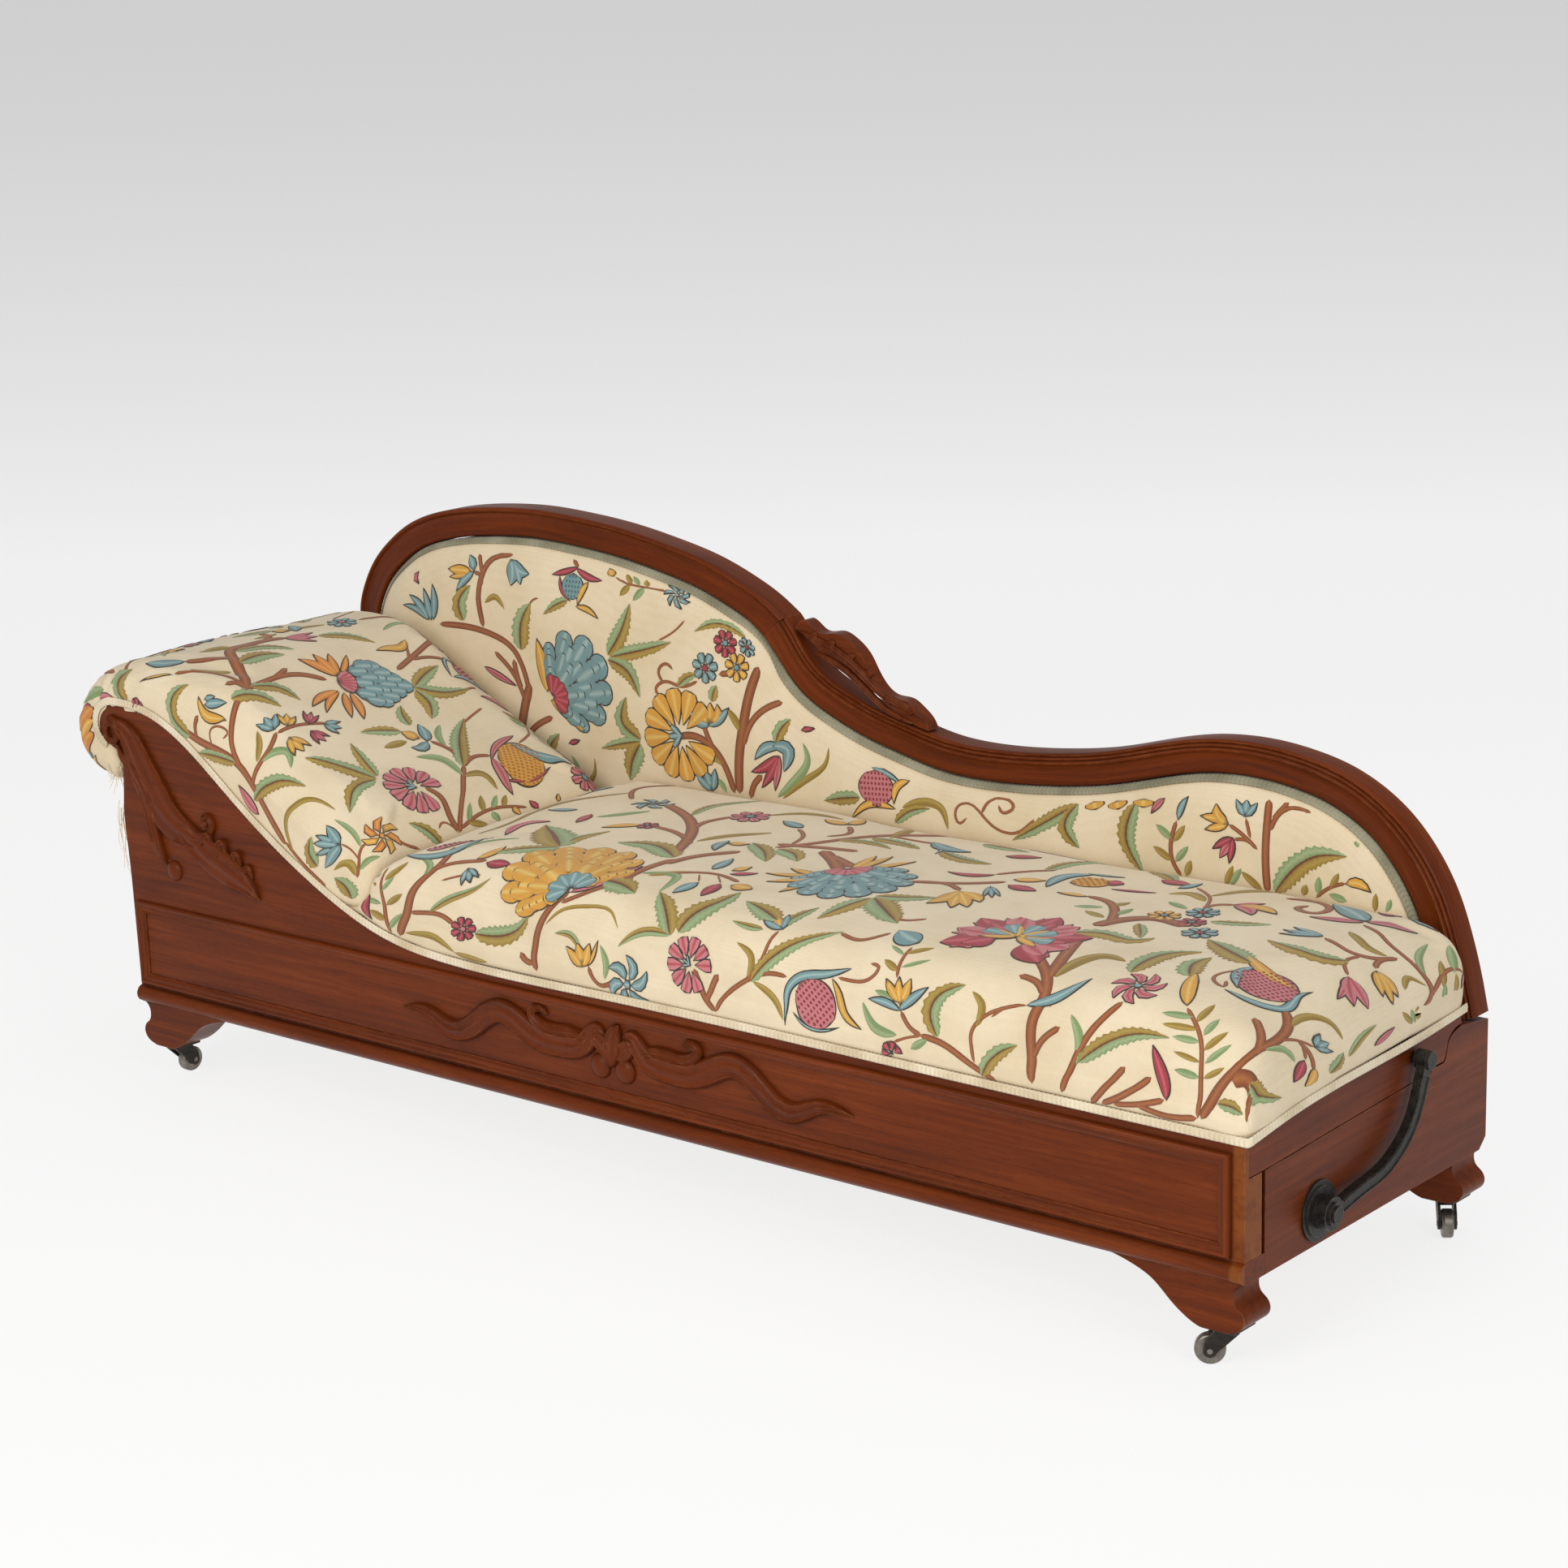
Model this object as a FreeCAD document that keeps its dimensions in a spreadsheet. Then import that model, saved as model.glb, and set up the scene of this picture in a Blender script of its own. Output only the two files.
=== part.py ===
import FreeCAD, Part

import math
import os
import re

from FreeCAD import Placement, Rotation, Vector

# A couch with a head roll, a serpentine back and a seat that swings out on two iron arms
# Lengths run in x from the head end, depths in y from the front board, heights in z from the floor
# Every piece is then moved so that the origin lies on the floor below the middle of the couch

# Driving dimensions in millimetres
SIZES = {
    "base_length": 1850,
    "base_depth": 552,
    "roll_overhang": 125,
    "arm_reach": 28,
    "foot_height": 62,
    "base_rail_height": 26,
    "front_board_height": 139.5,
    "front_board_thick": 35,
    "front_gap": 7,
    "board_thick": 25,
    "inner_board_thick": 20,
    "rail_thick": 22,
    "end_front_height": 123,
    "end_ledge_height": 137,
    "horn_height": 173,
    "horn_depth": 65,
    "ledge_depth": 43,
    "part_gap": 1.5,
    "fit_gap": 0.5,
    "run_gap": 0.05,
    "back_height": 777,
    "back_thick": 42,
    "back_rail_wide": 43,
    "back_foot_rail_high": 46,
    "back_pad_proud": 20,
    "gimp_recess": 12,
    "gimp_margin": 3,
    "pad_gap": 3.5,
    "seat_pad_rise": 32,
    "seat_pad_thick": 104,
    "head_pad_end": 505,
    "seat_pad_bulge": 7.5,
    "slat_thick": 12,
    "slat_wide": 70,
    "mattress_thick": 100,
    "eye_inset": 73,
    "eye_rise": 27,
    "arm_run": 216,
    "arm_rise": 123,
    "arm_thick": 12,
    "arm_wide": 15,
    "hub_radius": 20,
    "eye_radius": 12,
    "pin_radius": 7,
    "open_pin_gap": 1,
    "plate_radius": 36,
    "plate_thick": 5,
    "foot_thick": 55,
    "foot_inset": 38,
    "wheel_radius": 18,
    "crown_gap": 4,
    "crown_thick": 4.5,
    "caster_plate_thick": 3,
    "wheel_wide": 14,
    "axle_radius": 3,
    "stem_radius": 5,
    "caster_trail": 20,
    "gimp_wide": 13,
    "gimp_thick": 2,
    "moulding_proud": 10,
    "carving_proud": 9,
}

doc = FreeCAD.newDocument("fainting_couch")
sheet = doc.addObject("Spreadsheet::Sheet", "Sizes")
for row, (alias, value) in enumerate(SIZES.items(), start=1):
    sheet.set(f"A{row}", alias)
    sheet.set(f"B{row}", str(value))
    sheet.setAlias(f"B{row}", alias)
doc.recompute()


def size(alias):
    """One driving dimension, read back from the sheet."""
    return float(getattr(sheet, alias))


def linked(text):
    """A formula in the aliases, with each alias tied to its cell."""
    return re.sub(r"[a-z_]+", lambda word: "Sizes." + word.group(), text)


def worth(text):
    """The value of a formula in the aliases, for outlines that are drawn in code."""
    total = 0.0
    for sign, term in re.findall(r"([+-]?)\s*([^+-]+)", text):
        product = -1.0 if sign == "-" else 1.0
        for factor in term.split("*"):
            word = factor.strip()
            product *= size(word) if word in SIZES else float(word)
        total += product
    return total


# Heights that several pieces share, as formulas in the driving dimensions
CASTER_HEIGHT = "2 * wheel_radius + crown_gap + crown_thick + fit_gap + caster_plate_thick"
BASE_BOTTOM = CASTER_HEIGHT + " + foot_height"
FRONT_BOTTOM = BASE_BOTTOM + " + base_rail_height + fit_gap"
FRONT_TOP = FRONT_BOTTOM + " + front_board_height"
PANEL_DEPTH = "front_board_thick + front_gap"
LEDGE_TOP = BASE_BOTTOM + " + end_ledge_height"
HORN_TOP = BASE_BOTTOM + " + horn_height"
BACK_FRONT = "base_depth - back_thick"
BACK_PAD_FRONT = BACK_FRONT + " - back_pad_proud"
SEAT_BACK = BACK_PAD_FRONT + " - pad_gap"
PAD_LOW = FRONT_TOP + " + seat_pad_rise"
SEAT_TOP = PAD_LOW + " + seat_pad_thick"

# The outlines below are drawn for the couch at this length and height, and stretch with it
DRAWN_LENGTH = 1850.0
DRAWN_BACK = 777.0
DRAWN_FRONT_TOP = 276.0
DRAWN_HEAD_PAD = 505.0


def along(x):
    """A drawn x, stretched to the base length."""
    return x * size("base_length") / DRAWN_LENGTH


def up_back(z):
    """A drawn height on the back frame, between its ledge and its crest."""
    low = worth(HORN_TOP)
    return low + (z - 283.0) * (size("back_height") - low) / (DRAWN_BACK - 283.0)


def up_front(z):
    """A drawn height on the front board's curve, counted from the board's straight top."""
    return z - DRAWN_FRONT_TOP + worth(FRONT_TOP)


def head_point(x, z):
    """A drawn point of the head rest, which reaches its overhang one way and the seat pad the other."""
    reach = size("roll_overhang") / 125.0 if x < 0 else size("head_pad_end") / DRAWN_HEAD_PAD
    return (x * reach, up_front(z))


def bind(piece, prop, text):
    """Tie one property of a piece to a formula in the aliases."""
    piece.setExpression(prop, linked(text))


def put(piece, x="0", y="0", z="0"):
    """Place a piece by formulas, from the head end, the front face and the floor."""
    bind(piece, "Placement.Base.x", f"{x} + roll_overhang * 0.5 - base_length * 0.5 - arm_reach * 0.5")
    bind(piece, "Placement.Base.y", f"{y} - base_depth * 0.5")
    bind(piece, "Placement.Base.z", z)


def board(label, corner, sides):
    """A plain board from its low corner and its three sides, all formulas."""
    piece = doc.addObject("Part::Box", label)
    for prop, text in zip(("Length", "Width", "Height"), sides):
        bind(piece, prop, text)
    put(piece, *corner)
    return piece


def edges_of(runs):
    """Line, arc or smooth curve for each run of points, the next starting where the last ends."""
    edges = []
    for run in runs:
        points = [Vector(a, b, 0) for a, b in run]
        if len(points) == 2:
            edges.append(Part.LineSegment(*points))
            continue
        if len(points) == 3:
            edges.append(Part.Arc(*points))
            continue
        curve = Part.BSplineCurve()
        curve.interpolate(points)
        edges.append(curve)
    return edges


def origin_plane(body, role):
    """One of a body's own origin planes."""
    return next(item for item in body.Origin.OriginFeatures if item.Role == role)


def sketch_on(body, role, geometry, name):
    """A sketch on one origin plane of a body."""
    sketch = body.newObject("Sketcher::SketchObject", name)
    sketch.AttachmentSupport = [(origin_plane(body, role), "")]
    sketch.MapMode = "FlatFace"
    sketch.addGeometry(geometry, False)
    return sketch


def pad_on(body, sketch, length, reverse=False, middle=False):
    """A pad of one sketch, as thick as a formula says."""
    pad = body.newObject("PartDesign::Pad", sketch.Name + "_pad")
    pad.Profile = sketch
    bind(pad, "Length", length)
    pad.Reversed = reverse
    pad.Midplane = middle
    sketch.Visibility = False
    return pad


def pocket_on(body, sketch, length, reverse=False, middle=False):
    """A pocket of one sketch, checked to have taken something away."""
    before = body.Shape.Volume
    cut = body.newObject("PartDesign::Pocket", sketch.Name + "_cut")
    cut.Profile = sketch
    bind(cut, "Length", length)
    cut.Reversed = reverse
    cut.Midplane = middle
    doc.recompute()
    if body.Shape.Volume >= before:
        raise RuntimeError(f"{body.Label}: {cut.Label} removes nothing")
    return cut


def shaped(label, role, runs, length, corner, reverse=False):
    """A board cut to an outline, as one sketch and one pad."""
    body = doc.addObject("PartDesign::Body", label)
    sketch = sketch_on(body, role, edges_of(runs), label + "_outline")
    pad_on(body, sketch, length, reverse)
    put(body, *corner)
    return body


def upright(label, runs, thick, front):
    """A board parallel to the front, its outline in x and z."""
    return shaped(label, "XZ_Plane", runs, thick, ("0", front, "0"), reverse=True)


def crosswise(label, runs, thick, left):
    """A board parallel to the ends, its outline in y and z."""
    return shaped(label, "YZ_Plane", runs, thick, (left, "0", "0"))


def circle(x, y, radius):
    """A circle as sketch geometry."""
    return Part.Circle(Vector(x, y, 0), Vector(0, 0, 1), radius)


def joined(label, shapes, corner=("0", "0", "0")):
    """Several solids of one kind, kept as one node."""
    piece = doc.addObject("Part::Feature", label)
    piece.Shape = shapes[0] if len(shapes) == 1 else Part.makeCompound(shapes)
    put(piece, *corner)
    return piece


def polygon(*corners):
    """Straight runs round a closed outline."""
    return [[a, b] for a, b in zip(corners, corners[1:] + corners[:1])]


nodes = []


def keep(*pieces):
    """Note the pieces that are written out."""
    nodes.extend(pieces)


# Base box
INSIDE = "base_length - 2 * board_thick"
keep(
    board(
        "base_front_rail",
        ("0", "0", BASE_BOTTOM),
        ("base_length", PANEL_DEPTH + " - fit_gap", "base_rail_height"),
    ),
    board(
        "inner_front_board",
        ("board_thick", PANEL_DEPTH, BASE_BOTTOM),
        (INSIDE, "inner_board_thick", "end_front_height - 3"),
    ),
    board(
        "rear_board",
        ("board_thick", "base_depth - inner_board_thick", BASE_BOTTOM),
        (INSIDE, "inner_board_thick", "horn_height - 12"),
    ),
)

rail_low = worth(BASE_BOTTOM)
rail_high = rail_low + size("base_rail_height")
proud = size("moulding_proud")
moulding_runs = [
    [(0, rail_low + 1), (-proud, (rail_low + rail_high) / 2), (0, rail_high - 1)],
    [(0, rail_high - 1), (0, rail_low + 1)],
]
keep(crosswise("base_front_moulding", moulding_runs, "base_length", "0"))


def end_profile():
    """The end board's side view: sloping top, ledge, and the rear horn behind an S curve."""
    front = worth(PANEL_DEPTH)
    depth = size("base_depth")
    ledge = worth(LEDGE_TOP)
    horn = worth(HORN_TOP)
    horn_start = depth - size("horn_depth")
    curve_start = horn_start - size("ledge_depth")
    slope_high = ledge - 4
    return [
        [(front, rail_low), (front, rail_low + size("end_front_height"))],
        [(front, rail_low + size("end_front_height")), (curve_start - 68, slope_high)],
        [(curve_start - 68, slope_high), (curve_start - 48, slope_high - 7), (curve_start - 28, ledge)],
        [(curve_start - 28, ledge), (curve_start, ledge)],
        [
            (curve_start, ledge),
            (curve_start + 6, ledge + 8),
            (curve_start + 11, ledge + 24),
            (curve_start + 24, horn - 4),
            (horn_start, horn),
        ],
        [(horn_start, horn), (depth, horn - 9)],
        [(depth, horn - 9), (depth, rail_low + 14)],
        [(depth, rail_low + 14), (depth - 16, rail_low)],
        [(depth - 16, rail_low), (front, rail_low)],
    ]


def with_hole(body, role, x, y, radius, length, reverse=False):
    """A round hole right through a board."""
    doc.recompute()
    sketch = sketch_on(body, role, [circle(x, y, radius)], body.Label + "_hole")
    pocket_on(body, sketch, length, reverse)
    return body


ENDS = {"foot": "base_length - board_thick", "head": "0"}
knuckle = (worth("base_depth - horn_depth - ledge_depth - eye_inset"), worth(LEDGE_TOP + " + eye_rise"))
pivot = (knuckle[0] - size("arm_run"), knuckle[1] - size("arm_rise"))
pin_hole = size("pin_radius") + size("run_gap")
for end, left in ENDS.items():
    end_board = crosswise("end_board_" + end, end_profile(), "board_thick", left)
    keep(with_hole(end_board, "YZ_Plane", *pivot, pin_hole, "board_thick", reverse=True))

SLATS = 10
slat_bottom = BASE_BOTTOM + " + fit_gap"
slat_space = worth(INSIDE) - 2 * size("fit_gap") - size("slat_wide")
slat_depth = size("base_depth") - worth(PANEL_DEPTH) - 2 * size("inner_board_thick") - 2 * size("fit_gap")
slats = []
for number in range(SLATS):
    slat = Part.makeBox(size("slat_wide"), slat_depth, size("slat_thick"))
    slat.translate(Vector(number * slat_space / (SLATS - 1), 0, 0))
    slats.append(slat)
INNER_CORNER = ("board_thick + fit_gap", PANEL_DEPTH + " + inner_board_thick + fit_gap")
keep(joined("bed_slats", slats, (*INNER_CORNER, slat_bottom)))

mattress_sides = (
    INSIDE + " - 2 * fit_gap",
    "base_depth - front_board_thick - front_gap - 2 * inner_board_thick - 2 * fit_gap",
    "mattress_thick",
)
keep(board("bed_mattress", (*INNER_CORNER, slat_bottom + " + slat_thick + fit_gap"), mattress_sides))

# Feet and casters
SIDES = {"left": 1, "right": -1}
ROWS = {"front": "0", "rear": "base_depth - foot_thick"}
SWIVEL_ANGLES = {
    "front_left": 270.0,
    "front_right": 30.5,
    "rear_left": 70.0,
    "rear_right": 125.0,
}


def foot_outline(side):
    """A bracket foot with a knob scroll outside and a long ogee inside, in x and z."""
    end = 0.0 if side == "left" else size("base_length")
    turn = SIDES[side]
    low = worth(CASTER_HEIGHT)
    high = low + size("foot_height")

    def at(inward, drop):
        return (end + turn * inward, high - drop * size("foot_height") / 62.0)

    return [
        [at(6, 0), at(176, 0)],
        [at(176, 0), at(143, 9), at(120, 20), at(99, 38), at(80, 52), at(68, 58.5), at(58, 62)],
        [at(58, 62), at(24, 62)],
        [at(24, 62), at(16, 60), at(6, 55), at(0, 45), at(4, 33), at(12, 26), at(15, 18), at(6, 0)],
    ]


def caster_fork(label):
    """A yoke: a crown that turns on the stem and two cheeks that hold the axle."""
    body = doc.addObject("PartDesign::Body", label)
    trail = size("caster_trail")
    wheel = size("wheel_radius")
    crown = worth(CASTER_HEIGHT) - size("caster_plate_thick") - size("fit_gap")
    under = crown - size("crown_thick")
    side_view = edges_of(
        [
            [(-13, crown), (13, crown)],
            [(13, crown), (13, under)],
            [(13, under), (-trail + 8, wheel - 2)],
            [(-trail + 8, wheel - 2), (-trail, wheel - 8), (-trail - 8, wheel - 2)],
            [(-trail - 8, wheel - 2), (-trail - 6, wheel + 12)],
            [(-trail - 6, wheel + 12), (-13, crown)],
        ]
    )
    yoke = sketch_on(body, "XZ_Plane", side_view, label + "_cheeks")
    pad_on(body, yoke, "wheel_wide + 9", middle=True)
    doc.recompute()
    slot_view = edges_of(
        polygon(
            (-trail - 30, 0),
            (30, 0),
            (30, under),
            (-trail - 30, under),
        )
    )
    slot = sketch_on(body, "XZ_Plane", slot_view, label + "_slot")
    pocket_on(body, slot, "wheel_wide + 2", middle=True)
    axle_hole = circle(-trail, wheel, size("axle_radius") + 0.02)
    bored = sketch_on(body, "XZ_Plane", [axle_hole], label + "_axle_hole")
    pocket_on(body, bored, "wheel_wide + 12", middle=True)
    stem_hole = circle(0, 0, size("stem_radius") + size("run_gap"))
    stem = sketch_on(body, "XY_Plane", [stem_hole], label + "_stem_hole")
    pocket_on(body, stem, CASTER_HEIGHT, reverse=True)
    return body


def caster_wheel(label):
    """A small rimmed wheel with a bore for its axle."""
    body = doc.addObject("PartDesign::Body", label)
    trail = size("caster_trail")
    height = size("wheel_radius")
    disc = [
        circle(-trail, height, height),
        circle(-trail, height, size("axle_radius") + size("run_gap")),
    ]
    side_view = sketch_on(body, "XZ_Plane", disc, label + "_disc")
    pad = pad_on(body, side_view, "wheel_wide", middle=True)
    doc.recompute()
    rims = []
    for number, edge in enumerate(pad.Shape.Edges, start=1):
        if isinstance(edge.Curve, Part.Circle) and abs(edge.Curve.Radius - height) < 0.01:
            rims.append(f"Edge{number}")
    rounded = body.newObject("PartDesign::Fillet", label + "_rim")
    rounded.Base = (pad, rims)
    rounded.Radius = 3.0
    return body


def turned(piece, angle, x, y):
    """Put a caster piece on its stem axis, swung round to its angle."""
    piece.Placement = Placement(Vector(), Rotation(Vector(0, 0, 1), angle))
    put(piece, x, y)


for row_name, foot_front in ROWS.items():
    for side in SIDES:
        name = f"{row_name}_{side}"
        keep(upright("foot_" + name, foot_outline(side), "foot_thick", foot_front))
        stem_x = "foot_inset" if side == "left" else "base_length - foot_inset"
        stem_y = foot_front + " + foot_thick * 0.5"
        plate_thick = size("caster_plate_thick")
        stem_high = worth("caster_plate_thick + fit_gap + crown_thick")
        stem_low = worth(CASTER_HEIGHT) - stem_high
        socket = Part.makeBox(44, 44, plate_thick, Vector(-22, -22, worth(CASTER_HEIGHT) - plate_thick))
        post = Part.makeCylinder(size("stem_radius"), stem_high, Vector(0, 0, stem_low))
        keep(joined("caster_plate_" + name, [socket.fuse(post)], (stem_x, stem_y, "0")))
        fork = caster_fork("caster_fork_" + name)
        wheel = caster_wheel("caster_wheel_" + name)
        axle = doc.addObject("PartDesign::Body", "caster_axle_" + name)
        axle_end = circle(-size("caster_trail"), size("wheel_radius"), size("axle_radius"))
        axle_sketch = sketch_on(axle, "XZ_Plane", [axle_end], axle.Label + "_end")
        pad_on(axle, axle_sketch, "wheel_wide + 11", middle=True)
        for piece in (fork, wheel, axle):
            turned(piece, SWIVEL_ANGLES[name], stem_x, stem_y)
            keep(piece)

# Back frame
# The outer line of the back, from the head ledge over the crest to the foot ledge
HEAD_STILE_OUTER = [(0, 283), (0, 350), (-14, 425), (-34, 500), (-46, 560), (-46, 600)]
CREST_OUTER = [
    (-46, 600),
    (-34, 634),
    (-11, 671),
    (27, 707),
    (66, 733),
    (132, 757),
    (199, 769),
    (265, 775),
    (331, 777),
    (395, 774),
    (488, 765),
    (579, 749),
    (650, 732),
    (712, 709),
    (757, 687),
    (790, 665),
]
SERPENTINE_OUTER = [
    (790, 665),
    (806, 645),
    (822, 622),
    (846, 598),
    (885, 577),
    (947, 554),
    (1002, 540),
    (1058, 528),
    (1112, 524),
    (1191, 527),
    (1255, 534),
    (1319, 545),
    (1392, 564),
    (1466, 580),
    (1514, 584),
    (1561, 583),
    (1607, 577),
    (1653, 566),
    (1699, 546),
    (1744, 514),
    (1778, 476),
    (1806, 430),
    (1826, 378),
    (1840, 329),
    (1850, 283),
]


def drawn(points):
    """Drawn points of the back, stretched to the length and the height."""
    return [(along(x), up_back(z)) for x, z in points]


def offset(points, distance):
    """The line that runs beside a smooth line, to its right."""
    shifted = []
    last = len(points) - 1
    for number, (x, z) in enumerate(points):
        before = points[max(number - 1, 0)]
        after = points[min(number + 1, last)]
        run = after[0] - before[0]
        rise = after[1] - before[1]
        span = math.hypot(run, rise)
        shifted.append((x + distance * rise / span, z - distance * run / span))
    return shifted


rail_wide = size("back_rail_wide")
back_low = worth(HORN_TOP) + size("fit_gap")
upper_outer = drawn(HEAD_STILE_OUTER[:-1] + CREST_OUTER)
upper_inner = offset(upper_outer, rail_wide)
lower_outer = drawn(SERPENTINE_OUTER)
lower_inner = offset(lower_outer, rail_wide)
upper_outer[0] = (upper_outer[0][0], back_low)
upper_inner[0] = (upper_outer[0][0] + rail_wide, back_low)
lower_outer[-1] = (lower_outer[-1][0], back_low)
lower_inner[-1] = (lower_outer[-1][0] - rail_wide, back_low)

# The two rails meet on the line from the outer corner to the inner corner of the mitre
mitre_out = drawn([(790, 665)])[0]
mitre_in = drawn([(754, 634)])[0]
upper_inner[-1] = mitre_in
lower_inner[0] = mitre_in
lower_inner = [lower_inner[0]] + [p for p in lower_inner[1:] if p[1] < mitre_in[1] - 12]
upper_inner = [p for p in upper_inner[:-1] if p[0] < mitre_in[0] - 25] + [mitre_in]


def rail_runs(outer, inner):
    """A curved rail's closed outline from its outer and inner lines."""
    return [
        outer,
        [outer[-1], inner[-1]],
        inner[::-1],
        [inner[0], outer[0]],
    ]


keep(
    upright("back_crest_rail", rail_runs(upper_outer, upper_inner), "back_thick", BACK_FRONT),
    upright("back_serpentine_rail", rail_runs(lower_outer, lower_inner), "back_thick", BACK_FRONT),
)

rail_gap = size("fit_gap")
foot_rail_top = back_low + size("back_foot_rail_high")
RAIL_BULGE = 2.5


def line_at(points, height):
    """Where a line, given from the top down, crosses a height."""
    above, below = next(pair for pair in zip(points, points[1:]) if pair[1][1] <= height)
    share = (height - below[1]) / (above[1] - below[1])
    return below[0] + share * (above[0] - below[0])


foot_rail_left = upper_inner[0][0] + rail_gap + RAIL_BULGE
foot_rail_low_right = lower_inner[-1][0] - rail_gap - RAIL_BULGE
foot_rail_high_right = line_at(lower_inner[-4:], foot_rail_top) - rail_gap - RAIL_BULGE
foot_rail_runs = polygon(
    (foot_rail_left, back_low),
    (foot_rail_low_right, back_low),
    (foot_rail_high_right, foot_rail_top),
    (foot_rail_left, foot_rail_top),
)
keep(upright("back_foot_rail", foot_rail_runs, "back_thick", BACK_FRONT))


def back_field(gap):
    """The opening of the back frame, drawn in by a gap on every side."""
    upper = offset(upper_inner[1:], gap)
    lower = offset(lower_inner[:-1], gap)
    corner = ((upper[-1][0] + lower[0][0]) / 2, (upper[-1][1] + lower[0][1]) / 2 - gap)
    upper = [p for p in upper if p[1] > foot_rail_top + 20 and p[0] < corner[0] - 10] + [corner]
    lower = [corner] + [p for p in lower if foot_rail_top + 20 < p[1] < corner[1] - 10]
    low = foot_rail_top + gap
    start = (upper[0][0] + 2, low)
    end = (lower[-1][0] + 8, low)
    return [
        [start, upper[0]],
        upper,
        lower,
        [lower[-1], end],
        [end, start],
    ]


# The pad has a ledge round its edge for the braid, and stands proud of the rails inside it
field_gap = 1.0 + 2 * rail_gap
back_pad = upright("back_pad", back_field(field_gap), "back_thick - gimp_recess - 14", BACK_FRONT + " + gimp_recess")
crown_gap = field_gap + size("gimp_wide") + size("gimp_margin")
crown_sketch = sketch_on(back_pad, "XZ_Plane", edges_of(back_field(crown_gap)), "back_pad_crown")
pad_on(back_pad, crown_sketch, "back_pad_proud + gimp_recess")
keep(
    back_pad,
    upright("outside_back_cloth", back_field(field_gap), "2", "base_depth - 8"),
)


def band_runs(line, wide):
    """A narrow band along a line, on its right side."""
    beside = offset(line, wide)
    return [line, [line[-1], beside[-1]], beside[::-1], [beside[0], line[0]]]


gimp_wide = size("gimp_wide")
gimp_lines = back_field(field_gap)[1:3]
gimp_solids = []
for line in gimp_lines:
    wire = Part.Wire([edge.toShape() for edge in edges_of(band_runs(line, gimp_wide))])
    face = Part.Face(wire)
    gimp_solids.append(face.extrude(Vector(0, 0, size("gimp_thick") - 0.2)))
stand = Placement(Vector(), Rotation(Vector(1, 0, 0), 90))
for solid in gimp_solids:
    solid.Placement = stand
whole_gimp = gimp_solids[0].fuse(gimp_solids[1]).removeSplitter()
keep(joined("back_gimp", [whole_gimp], ("0", BACK_FRONT + " + gimp_recess - 0.2", "0")))

# The leaf scroll that fills the hollow of the serpentine, from the mitre to its foot
CREST_LEAF = [
    (806, 652),
    (824, 664),
    (848, 650),
    (876, 652),
    (898, 644),
    (920, 626),
    (934, 604),
    (968, 574),
    (992, 572),
    (1010, 562),
    (1026, 548),
    (1032, 536),
]
LEAF_THICK = 22
leaf_top = drawn(CREST_LEAF)
leaf_under = drawn([(1032, 536), (1004, 543), (972, 560), (920, 588), (870, 612), (834, 636), (806, 652)])
leaf = upright("crest_carving", [leaf_top, leaf_under], str(LEAF_THICK), BACK_FRONT + " + 8")
keep(leaf)

# Seat unit
front_low = worth(FRONT_BOTTOM)
front_top = worth(FRONT_TOP)
length = size("base_length")
S_CURVE = [
    (-22, 547),
    (20, 546),
    (60, 539),
    (119, 514),
    (182, 472),
    (244, 427),
    (306, 386),
    (367, 351),
    (428, 321),
    (489, 298),
    (550, 284),
    (640, 276),
]
HEAD_EDGE = [(-10, 476), (-6, 456), (-10, 400), (-7, 330), (-3, 234)]
s_curve = [head_point(x, z) for x, z in S_CURVE]
head_edge = [head_point(x, z) for x, z in HEAD_EDGE]
SCROLL_LEFT = head_point(-53, 516)
SCROLL_LOW = head_point(-34, 487)
notch_top = rail_low + size("end_front_height") + size("part_gap")
END_LIP = 8
front_runs = [
    s_curve,
    [s_curve[-1], (length, front_top)],
    [(length, front_top), (length, front_low)],
    [(length, front_low), (0, front_low)],
    [(0, front_low), *head_edge[::-1]],
    [head_edge[0], SCROLL_LOW],
    [SCROLL_LOW, SCROLL_LEFT, s_curve[0]],
]
front_board = upright("front_board", front_runs, "front_board_thick", "0")
doc.recompute()
lap_plane = edges_of(
    polygon(
        (END_LIP, notch_top - size("part_gap")),
        (size("front_board_thick") + 5, notch_top - size("part_gap")),
        (size("front_board_thick") + 5, front_top + 5),
        (END_LIP, front_top + 5),
    )
)
lap = sketch_on(front_board, "YZ_Plane", lap_plane, "front_board_lap")
lap.AttachmentOffset = Placement(Vector(0, 0, length - size("rail_thick") - size("fit_gap")), Rotation())
pocket_on(front_board, lap, "rail_thick + 5", reverse=True)
keep(front_board)


def seat_rail_profile():
    """A seat end rail's side view: it lies on the end board with a thin parting gap."""
    gap = size("part_gap")
    depth = size("base_depth")
    ledge = worth(LEDGE_TOP) + gap
    horn = worth(HORN_TOP) + gap
    curve_start = depth - size("horn_depth") - size("ledge_depth")
    back = worth(SEAT_BACK) - 2
    front = END_LIP + size("fit_gap")
    panel = worth(PANEL_DEPTH)
    low_front = rail_low + size("end_front_height") + gap
    return [
        [(front, low_front), (front, front_top)],
        [
            (front, front_top),
            (front + 90, front_top + 12),
            (curve_start - 60, front_top + 22),
            (back, front_top + 30),
        ],
        [(back, front_top + 30), (back, horn + 1)],
        [
            (back, horn + 1),
            (curve_start + 22, horn - 2),
            (curve_start + 9, ledge + 24),
            (curve_start + 4, ledge + 9),
            (curve_start - 2, ledge + 1),
        ],
        [(curve_start - 2, ledge + 1), (curve_start - 30, ledge + 1)],
        [(curve_start - 30, ledge + 1), (curve_start - 68, ledge - 4)],
        [(curve_start - 68, ledge - 4), (panel, low_front)],
        [(panel, low_front), (front, low_front)],
    ]


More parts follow.
